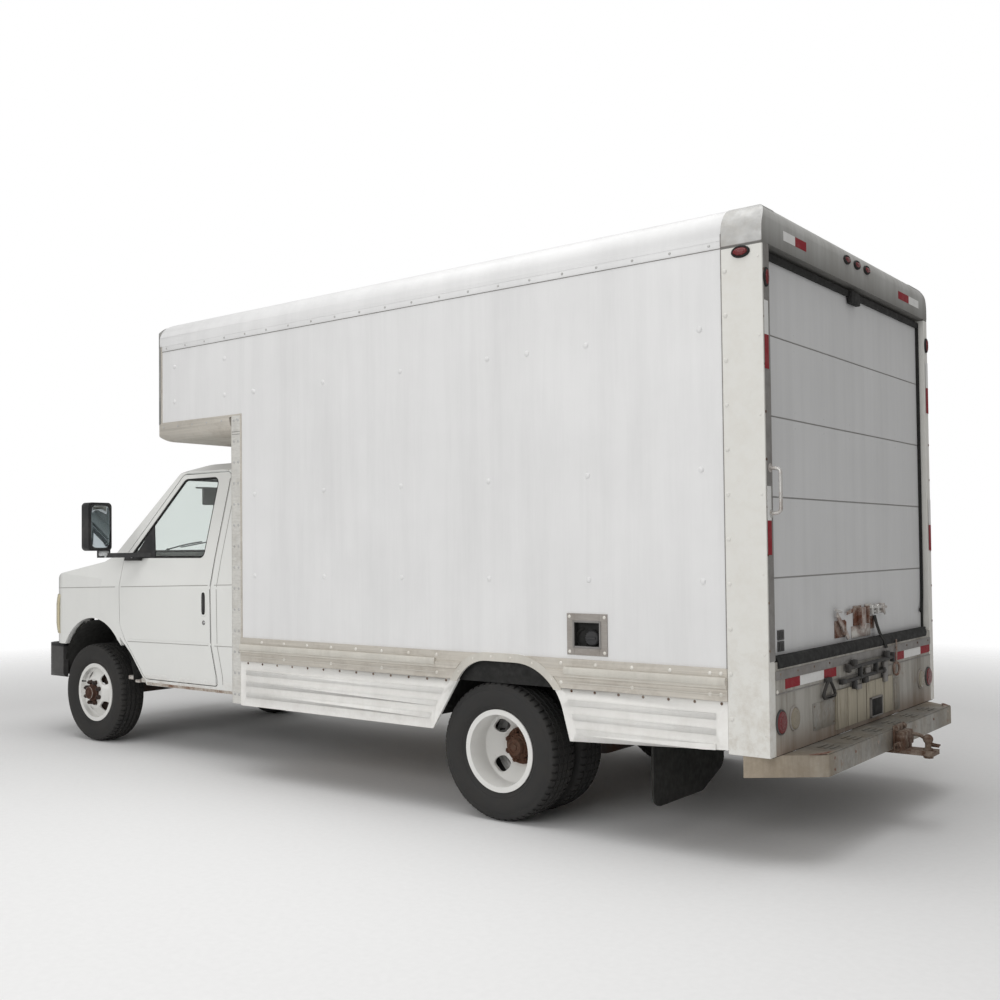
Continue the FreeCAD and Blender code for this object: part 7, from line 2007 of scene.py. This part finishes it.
def windshield_trim():
    """The windshield's seals inside and out, two wipers and the cowl's vents."""
    edge_band(
        "windshield_seal", "seal_black", "windshield", "chassis", (0.75, 0, 0.66), 0.022, 0.005
    )
    edge_band(
        "windshield_seal_inner", "seal_black", "windshield", "chassis", (-0.75, 0, -0.66), 0.022,
        0.003
    )
    cowl, _ = surface_at("windshield", (3.2, 0.0, low("windshield").z + 0.02), (-1, 0, 0))
    for k, (start, reach) in enumerate(((0.46, -0.40), (-0.10, -0.40))):
        wiper = Shape()
        pivot = Vector((cowl.x + 0.030, start, cowl.z - 0.010))
        tip, normal = surface_at("windshield", (3.2, start + reach, low("windshield").z + 0.085), (-1, 0, 0))
        near, _ = surface_at(
            "windshield", (3.2, start + reach * 0.35, low("windshield").z + 0.040), (-1, 0, 0)
        )
        if not (tip and near):
            continue
        lift = normal * 0.016
        wiper.rod(pivot - normal * 0.02, pivot + normal * 0.022, 0.014, 16, round_end=0.004)
        wiper.tube(
            [pivot + normal * 0.018, near + normal * 0.030, tip.lerp(near, 0.45) + normal * 0.026], 0.0055, 8,
            1
        )
        blade_one = near + (near - tip) * 0.18 + lift * 0.7
        wiper.tube([blade_one, near.lerp(tip, 0.5) + lift * 0.7, tip + lift * 0.7], 0.0045, 8)
        wiper.piece(f"wiper_{k}", "seal_black", "chassis", "trim_black")
    vent = Shape()
    for k in range(9):
        y = -0.60 + 0.15 * k
        spot, normal = surface_at("hood", (2.50, y, 3.0), (0, 0, -1))
        if spot is None:
            spot, normal = surface_at("wings", (2.50, y, 3.0), (0, 0, -1))
        if spot is not None and normal.z > 0.5:
            vent.box(spot + Vector((-0.012, -0.058, -0.002)), spot + Vector((0.012, 0.058, 0.0025)), 0.001, 1)
    vent.piece("cowl_vents", "seal_black", "hood", "trim_black")


def wheelhouse(side, word):
    """The black liner over a front wheel, with its inner wall."""
    shape = Shape()
    inner, outer = 0.545, 0.945
    centre_x, centre_z, radius = front_axle.x, 0.460, 0.462
    rim = []
    for k in range(25):
        a = math.radians(2 + 176 * k / 24)
        rim.append((centre_x + radius * math.cos(a), centre_z + radius * math.sin(a)))
    rows = [[shape.mesh.verts.new((x, y * side, z)) for y in (inner, outer)] for x, z in rim]
    for one, two in zip(rows, rows[1:]):
        shape.mesh.faces.new((one[0], one[1], two[1], two[0]))
    middle_row = shape.mesh.verts.new((centre_x, inner * side, centre_z + 0.19))
    for one, two in zip(rows, rows[1:]):
        shape.mesh.faces.new((one[0], two[0], middle_row))
    shape.piece(f"wheelhouse_{word}", "flap_rubber", "chassis", "flap_rubber", thickness=0.004)


def rear_wheelhouse(side, word):
    """The black liner round the rear wheels, flat under the floor, with its inner wall."""
    shape = Shape()
    inner, outer = 0.640, post_face - 0.052
    centre = Vector((rear_axle.x, 0, rear_axle.z + 0.05))
    radius, flat = 0.470, rail_low - 0.005
    rows = []
    for k in range(25):
        a = math.radians(12 + 156 * k / 24)
        x, z = centre.x + radius * math.cos(a), min(centre.z + radius * math.sin(a), flat)
        rows.append([shape.mesh.verts.new((x, y * side, z)) for y in (inner, outer)])
    for one, two in zip(rows, rows[1:]):
        shape.mesh.faces.new((one[0], one[1], two[1], two[0]))
    pivot = shape.mesh.verts.new((centre.x, inner * side, centre.z + 0.12))
    for one, two in zip(rows, rows[1:]):
        shape.mesh.faces.new((one[0], two[0], pivot))
    shape.piece(f"wheel_well_{word}", "flap_rubber", "chassis", "flap_rubber", thickness=0.004)
    fascia = Shape()
    edge = high("box_floor").y + 0.0035
    fascia.box(
        (centre.x - 0.50, edge * side, flat - 0.002), (centre.x + 0.46, (edge + 0.003) * side, flat + 0.124),
        0
    )
    fascia.piece(f"well_fascia_{word}", "seal_black", "chassis", "flap_rubber")


def lamp_corner(side, word):
    """The headlamp's lens over the lamp and its pale end round the wing's corner, both bulging forwards."""
    bottom, top = low("headlamps").z + 0.014, high("headlamps").z - 0.012
    rows, columns = 9, 12

    def front_of(y, z):
        hits = [surface_at(node, (5, side * y, z), (-1, 0, 0))[0] for node in ("wings", "headlamps")]
        return max((place.x for place in hits if place), default=None)

    for name, inner, outer, look in (
        ("lens", 0.655, 0.880, "headlamp_lens"), ("end", 0.884, 0.984, "lamp_cream"),
    ):
        shape, grid = Shape(), []
        for j in range(rows):
            z = bottom + (top - bottom) * j / (rows - 1)
            row = []
            for k in range(columns):
                y = inner + (outer - inner) * k / (columns - 1)
                x = front_of(y, z)
                rim = min(1.0, 0.35 + min(j, rows - 1 - j) * 0.4)
                bulge = (0.005 + 0.028 * math.exp(-(((y - 0.930) / 0.075) ** 2))) * rim
                row.append(None if x is None else shape.mesh.verts.new((x + bulge, y * side, z)))
            grid.append(row)
        for one, two in zip(grid, grid[1:]):
            for k in range(columns - 1):
                corners = (one[k], one[k + 1], two[k + 1], two[k])
                if all(corners):
                    shape.mesh.faces.new(corners)
        shape.piece(f"headlamp_{name}_{word}", look, "chassis", "lamp_clear", angle=DOMED, thickness=0.004)


def front_details():
    """The grille's surround, middle bar and slats, and the two slots in the bumper."""
    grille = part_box("grille")
    face = grille[1].x
    frame_bar = Shape()
    for start, end in (
        ((grille[0].y + 0.004, grille[0].z + 0.002), (grille[1].y - 0.004, grille[0].z + 0.030)),
        ((grille[0].y + 0.004, grille[1].z - 0.030), (grille[1].y - 0.004, grille[1].z - 0.002)),
        ((grille[0].y + 0.004, grille[0].z + 0.002), (grille[0].y + 0.030, grille[1].z - 0.002)),
        ((grille[1].y - 0.030, grille[0].z + 0.002), (grille[1].y - 0.004, grille[1].z - 0.002)),
        ((grille[0].y + 0.010, grille[0].z + 0.150), (grille[1].y - 0.010, grille[0].z + 0.180)),
    ):
        frame_bar.box((face - 0.010, start[0], start[1]), (face, end[0], end[1]), 0.003)
    frame_bar.piece("grille_frame", "grille_grey", "chassis", "bumper_grey")
    slats = Shape()
    for k in range(13):
        y = grille[0].y + 0.090 + (grille[1].y - grille[0].y - 0.180) * k / 12
        slats.box(
            (face - 0.012, y - 0.004, grille[0].z + 0.03), (face - 0.003, y + 0.004, grille[1].z - 0.03),
            0.002
        )
    slats.piece("grille_slats", "grille_grey", "chassis", "bumper_grey")
    dark = Shape()
    for side in (1, -1):
        place, _ = surface_at("front_bumper", (5, side * 0.60, 0.585), (-1, 0, 0))
        dark.box(
            (place.x - 0.014, side * 0.60 - 0.075, 0.545), (place.x + 0.0002, side * 0.60 + 0.075, 0.625),
            0.010
        )
    dark.piece("bumper_slots", "seal_black", "chassis", "trim_black")


def cab_roof_details():
    """Drip rails over the doors and low ribs along the roof."""
    for side, word in SIDES:
        path = []
        for k in range(22):
            x = 0.95 + (2.02 - 0.95) * k / 21
            z = high(f"door_{word}").z + 0.10
            best = None
            while z > high(f"door_{word}").z - 0.45:
                place, _ = beside("cab_shell", x, z, side)
                door_hit, _ = beside(f"door_{word}", x, z, side)
                if door_hit and (place is None or door_hit.y * side >= place.y * side):
                    best = z + 0.012
                    break
                z -= 0.004
            if best:
                place, _ = beside("cab_shell", x, best, side)
                if place:
                    path.append(place + Vector((0, side * 0.002, 0.004)))
        if len(path) > 4:
            rail = Shape()
            rail.tube(path, 0.0075, 8)
            rail.piece(f"drip_rail_{word}", "cab_white", "chassis", "cab_white", angle=50)
    ribs = Shape()
    for y in (-0.45, -0.225, 0.0, 0.225, 0.45):
        spots = []
        for k in range(14):
            place, normal = surface_at("cab_shell", (0.95 + 0.055 * k, y, 4), (0, 0, -1))
            if place and place.z > high("cab_shell").z - 0.06 and normal.z > 0.9:
                spots.append(place)
        for one, two in zip(spots, spots[1:]):
            left, right = Vector((0, -0.014, 0.0004)), Vector((0, 0.014, 0.0004))
            quad = [one + left, two + left, two + right, one + right]
            ribs.slab(quad, (0, 0, 1), 0.0035, 0)
    ribs.piece("roof_ribs", "cab_white", "chassis", "cab_white", angle=50)


def attic_lamps():
    """Five amber clearance lamps along the attic's brow, and the roof's cross seams."""
    for k, y in enumerate((-1.02, -0.15, 0.0, 0.15, 1.02)):
        place, normal = surface_at("box_roof", (3.0, y, cove_low + 0.055), (-1, 0, 0))
        if place is None:
            continue
        oval_lamp(f"brow_lamp_{k}", place, normal, (0, 1, 0), 0.034, 0.015, "lamp_amber")
    seams = Shape()
    half = high("box_roof").y - 0.19
    pitch = 0.61
    x = body_rear + pitch
    while x < attic_face - 0.2:
        seams.box((x - 0.012, -half, roof_top - 0.0015), (x + 0.012, half, roof_top - 0.0002), 0.0004, 1)
        x += pitch
    seams.piece("roof_seams", "casting_grey", "chassis", "rail_aluminium")


# ---------------------------------------------------------------- seats and cab inside


def applied(made):
    """The object's mesh as its modifiers leave it; the modifiers go."""
    graph = bpy.context.evaluated_depsgraph_get()
    mesh = bpy.data.meshes.new_from_object(made.evaluated_get(graph))
    made.modifiers.clear()
    return mesh


def puffed(name, shape, cap):
    """Foam under cloth: the rough form remeshed, blown up a little by the cloth solver, and softened."""
    data = bpy.data.meshes.new(name)
    bmesh.ops.recalc_face_normals(shape.mesh, faces=shape.mesh.faces)
    shape.mesh.to_mesh(data)
    shape.mesh.free()
    made = placed(name, data)
    remesh = made.modifiers.new("remesh", "REMESH")
    remesh.mode = "VOXEL"
    remesh.voxel_size = 0.012
    even = made.modifiers.new("even", "SMOOTH")
    even.factor = 0.5
    even.iterations = 4
    made.data = solid = applied(made)
    start = [v.co.copy() for v in solid.vertices]
    cloth = made.modifiers.new("cloth", "CLOTH")
    cloth.settings.use_pressure = True
    cloth.settings.uniform_pressure_force = 4
    cloth.settings.effector_weights.gravity = 0
    cloth.settings.quality = 4
    scene = bpy.context.scene
    for step in range(1, 21):
        scene.frame_set(step)
    blown = applied(made)
    for v, first in zip(blown.vertices, start):
        move = v.co - first
        if move.length > cap:
            v.co = first + move * (cap / move.length)
    made.data = blown
    scene.frame_set(1)
    softer = made.modifiers.new("softer", "SUBSURF")
    softer.levels = softer.render_levels = 1
    made.data = final = applied(made)
    for face in final.polygons:
        face.use_smooth = True
    final.materials.clear()
    final.materials.append(LOOKS["seat_cloth"].material)
    return made


def twin(source, name, move):
    """The same mesh, set down beside its first copy."""
    data = source.data.copy()
    data.transform(Matrix.Translation(Vector(move)))
    return placed(name, data)


def seam_line(mesh, lines, way, radius=0.0022):
    """Piping along lines of points, each thrown onto a soft piece's mesh."""
    tree = BVHTree.FromPolygons([v.co for v in mesh.vertices], [f.vertices for f in mesh.polygons])
    shape = Shape()
    for line in lines:
        spots = []
        for p in line:
            place, normal, _, _ = tree.ray_cast(Vector(p), Vector(way))
            if place:
                spots.append(place + normal * radius * 0.4)
        if len(spots) > 3:
            shape.tube(spots, radius, 6)
    return shape


def make_seats():
    """Two high-backed seats: crowned cushions and backs with bolsters and piping, on black plinths."""
    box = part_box("seats")
    front, top, base = box[1].x, 1.06, box[0].z
    width = 0.25
    middle_y = box[1].y - width
    rake = math.atan2(0.09, 0.52)
    depth = 0.50
    lean = Matrix.Rotation(-rake, 4, "Y")
    foot = Vector((front - depth - 0.060, middle_y, top - 0.03))

    def leaned(shape, start, end, bevel):
        part = Shape()
        part.box(start, end, bevel, 3)
        bmesh.ops.transform(part.mesh, matrix=Matrix.Translation(foot) @ lean, verts=part.mesh.verts)
        shape.join(part)
        part.mesh.free()

    cushion = Shape()
    cushion.box(
        (front - 0.485, middle_y - 0.150, top - 0.128), (front - 0.012, middle_y + 0.150, top - 0.020), 0.034,
        3
    )
    for y in (-1, 1):
        cushion.box(
            (front - 0.470, middle_y + y * 0.130, top - 0.128),
            (front - 0.010, middle_y + y * 0.240, top - 0.012), 0.036, 3
        )
    back = Shape()
    leaned(back, (-0.048, -0.150, 0.020), (0.040, 0.150, 0.385), 0.030)
    for y in (-1, 1):
        leaned(back, (-0.048, y * 0.132, 0.030), (0.050, y * 0.238, 0.375), 0.034)
    head = Shape()
    leaned(head, (-0.044, -0.135, 0.418), (0.034, 0.135, 0.525), 0.032)
    soft = {}
    for part, shape, cap in (("cushion", cushion, 0.010), ("back", back, 0.009), ("headrest", head, 0.006)):
        made = puffed(f"seat_{part}_left", shape, cap)
        other = twin(made, f"seat_{part}_right", (0, -2 * middle_y, 0))
        soft[part] = made
        for piece in (made, other):
            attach(piece, "chassis")
            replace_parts(piece, "seats")
    lines = []
    for y in (-0.141, 0.141):
        lines.append([(front - 0.03 - 0.43 * k / 24, middle_y + y, top + 0.2) for k in range(25)])
    lines.append([(front - 0.30, middle_y - 0.132 + 0.264 * k / 16, top + 0.2) for k in range(17)])
    seams = [seam_line(soft["cushion"].data, lines, (0, 0, -1))]
    lines = []
    for y in (-0.141, 0.141):
        lines.append([(front + 0.1, middle_y + y, top + 0.03 + 0.31 * k / 24) for k in range(25)])
    for rise in (0.13, 0.25):
        lines.append([(front + 0.1, middle_y - 0.132 + 0.264 * k / 16, top + rise) for k in range(17)])
    seams.append(seam_line(soft["back"].data, lines, (-1, 0, 0)))
    for word, move in (("left", 0), ("right", -2 * middle_y)):
        for shape, part in zip(seams, ("cushion", "back")):
            copy = Shape().join(shape, Matrix.Translation((0, move, 0)))
            copy.piece(f"seat_piping_{part}_{word}", "seal_black", "chassis", "seat_cloth", angle=DOMED)
        frame_parts = Shape()
        y = middle_y + move
        frame_parts.box((front - 0.50, y - 0.19, base + 0.004), (front - 0.06, y + 0.19, top - 0.150), 0.020)
        frame_parts.box(
            (front - 0.535, y - 0.205, top - 0.155), (front - 0.020, y + 0.205, top - 0.118), 0.012
        )
        for part_y in (-0.185, 0.185):
            frame_parts.box(
                (front - 0.52, y + part_y - 0.012, base + 0.002),
                (front - 0.04, y + part_y + 0.012, base + 0.022), 0.004
            )
        frame_parts.box((front - 0.40, y + 0.205, top - 0.150), (front - 0.22, y + 0.232, top - 0.110), 0.010)
        frame_parts.piece(f"seat_plinth_{word}", "trim_black", "chassis", "trim_black")
        posts = Shape()
        for part_y in (-0.06, 0.06):
            one = foot + lean @ Vector((-0.004, part_y, 0.36))
            two = foot + lean @ Vector((-0.004, part_y, 0.45))
            posts.rod(one + Vector((0, move, 0)), two + Vector((0, move, 0)), 0.006, 10)
        posts.rod((front - 0.46, y - 0.215, top - 0.06), (front - 0.46, y - 0.215, top - 0.15), 0.010, 10)
        posts.piece(f"headrest_posts_{word}", "chrome", "chassis", "rail_aluminium")
        belt = Shape()
        side = 1 if word == "left" else -1
        wall = abs(middle_y) + 0.325
        half_belt = Vector((0.023, 0, 0))
        run = [
            (front - 0.545, wall * side, 1.660), (front - 0.550, (wall - 0.004) * side, 1.300),
            (front - 0.552, (wall - 0.008) * side, 0.760),
        ]
        for one, two in zip(run, run[1:]):
            one, two = Vector(one), Vector(two)
            belt.slab(
                [one + half_belt, one - half_belt, two - half_belt, two + half_belt], (0, -side, 0), 0.002
            )
        belt.box(
            (front - 0.575, (wall - 0.014) * side, 1.630), (front - 0.515, (wall + 0.004) * side, 1.690),
            0.006
        )
        belt.box(
            (front - 0.585, (wall - 0.040) * side, 0.700), (front - 0.515, (wall + 0.004) * side, 0.800),
            0.008
        )
        belt.tube(
            [(front - 0.44, y - 0.222 * side, top - 0.15), (front - 0.42, y - 0.226 * side, top - 0.06),
             (front - 0.40, y - 0.228 * side, top + 0.010)], 0.008, 8, 1,
        )
        belt.box(
            (front - 0.425, y - 0.250 * side, top + 0.000), (front - 0.375, y - 0.212 * side, top + 0.050),
            0.007
        )
        belt.piece(f"seat_belt_{word}", "flap_rubber", "chassis", "trim_black")
    for shape in seams:
        shape.mesh.free()


def cab_inside():
    """Gauges, vents and radio on the dashboard, the pedals, the visors and the mirror."""
    dark, pale = Shape(), Shape()

    def on_dash(y, z):
        return surface_at("dash", (0.9, y, z), (1, 0, 0))

    for y, radius in ((0.60, 0.042), (0.50, 0.052), (0.40, 0.042)):
        place, normal = on_dash(y, 1.255)
        if place:
            dark.lathe([(0.0, 0.003), (radius * 0.92, 0.003), (radius, 0.008), (radius + 0.005, 0.008),
                        (radius + 0.007, -0.004)], place, normal, 32)
            needle = Vector((0, 0.55, 0.8)).normalized() * radius * 0.75
            pale.rod(place + normal * 0.005, place + normal * 0.005 + needle, 0.0014, 6)
    for y, half, z, tall in (
        (0.0, 0.095, 1.235, 0.030), (0.0, 0.095, 1.160, 0.026), (0.24, 0.045, 1.270, 0.030),
        (-0.24, 0.045, 1.270, 0.030), (0.78, 0.040, 1.255, 0.030), (-0.78, 0.040, 1.255, 0.030),
    ):
        place, normal = on_dash(y, z)
        if not place:
            continue
        dark.box(place + Vector((-0.006, -half, -tall)), place + Vector((0.010, half, tall)), 0.004)
        for k in range(3):
            level = -tall * 0.6 + tall * 0.6 * k
            pale.box(
                place + Vector((-0.008, -half * 0.85, level - 0.002)),
                place + Vector((-0.005, half * 0.85, level + 0.002)), 0.001, 1
            )
    place, normal = on_dash(-0.50, 1.20)
    if place:
        dark.box(place + Vector((-0.003, -0.150, -0.060)), place + Vector((0.004, 0.150, 0.060)), 0.003)
    for y, z, half in ((0.36, 0.770, 0.026), (0.52, 0.775, 0.040)):
        dark.box((2.060, y - half, z), (2.075, y + half, z + 0.085), 0.006)
        dark.tube([(2.072, y, z + 0.05), (2.12, y, z + 0.12), (2.16, y, z + 0.27)], 0.008, 8, 1)
    dark.piece("dash_controls", "trim_black", "chassis", "trim_black")
    pale.piece("dash_marks", "clamp_pale", "chassis", "rail_aluminium")
    for side, word in SIDES:
        visor = Shape()
        place, _ = surface_at("windshield", (3.2, side * 0.42, high("windshield").z - 0.05), (-1, 0, 0))
        edge = Vector((place.x - 0.060, 0, place.z - 0.010))
        visor.box((edge.x - 0.022, side * 0.20, edge.z - 0.135), (edge.x, side * 0.60, edge.z), 0.010)
        visor.rod(
            (edge.x - 0.011, side * 0.60, edge.z - 0.008), (edge.x - 0.011, side * 0.66, edge.z - 0.008),
            0.006, 8
        )
        visor.piece(f"sun_visor_{word}", "cab_lining", "chassis", "cab_lining")
    place, normal = surface_at("windshield", (3.2, 0, high("windshield").z - 0.09), (-1, 0, 0))
    mirror = Shape()
    root = place - normal * 0.012
    mirror.tube([root, root - normal * 0.030, root + Vector((-0.055, 0, -0.040))], 0.007, 8, 1)
    centre = root + Vector((-0.070, 0, -0.045))
    mirror.box(centre - Vector((0.010, 0.125, 0.030)), centre + Vector((0.012, 0.125, 0.030)), 0.009)
    mirror.piece("inside_mirror", "seal_black", "chassis", "trim_black")
    pane = Shape()
    pane.box(centre - Vector((0.0115, 0.116, 0.023)), centre - Vector((0.009, -0.116, -0.023)), 0.001, 1)
    pane.piece("inside_mirror_glass", "mirror_glass", "chassis", "tinted_glass")


# ---------------------------------------------------------------- build


dress_frame()
for side, word in SIDES:
    make_front_wheel(side, word)
    make_rear_wheels(side, word)
    panel_rivets(side, word)
    cove_trim(side, word)
    post_rivets(side, word)
    rail_rivets(side, word)
    skirt_screws(side, word)
    side_details(side, word)
    arch_rivets(side, word)
    cab_side(side, word)
    window_trim(side, word)
    mirror_details(side, word)
    wheelhouse(side, word)
    rear_wheelhouse(side, word)
    lamp_corner(side, word)
rising_skirts()
make_lamps()
make_tapes()
fuel_filler()
filler_frame()
rear_seals()
door_details()
door_lock()
lower_panel()
step_details()
flap_details()
windshield_trim()
make_seats()
cab_inside()
front_details()
cab_roof_details()
attic_lamps()
set_camera()
set_light()
lay_floor()
bpy.context.scene.view_settings.view_transform = "Standard"
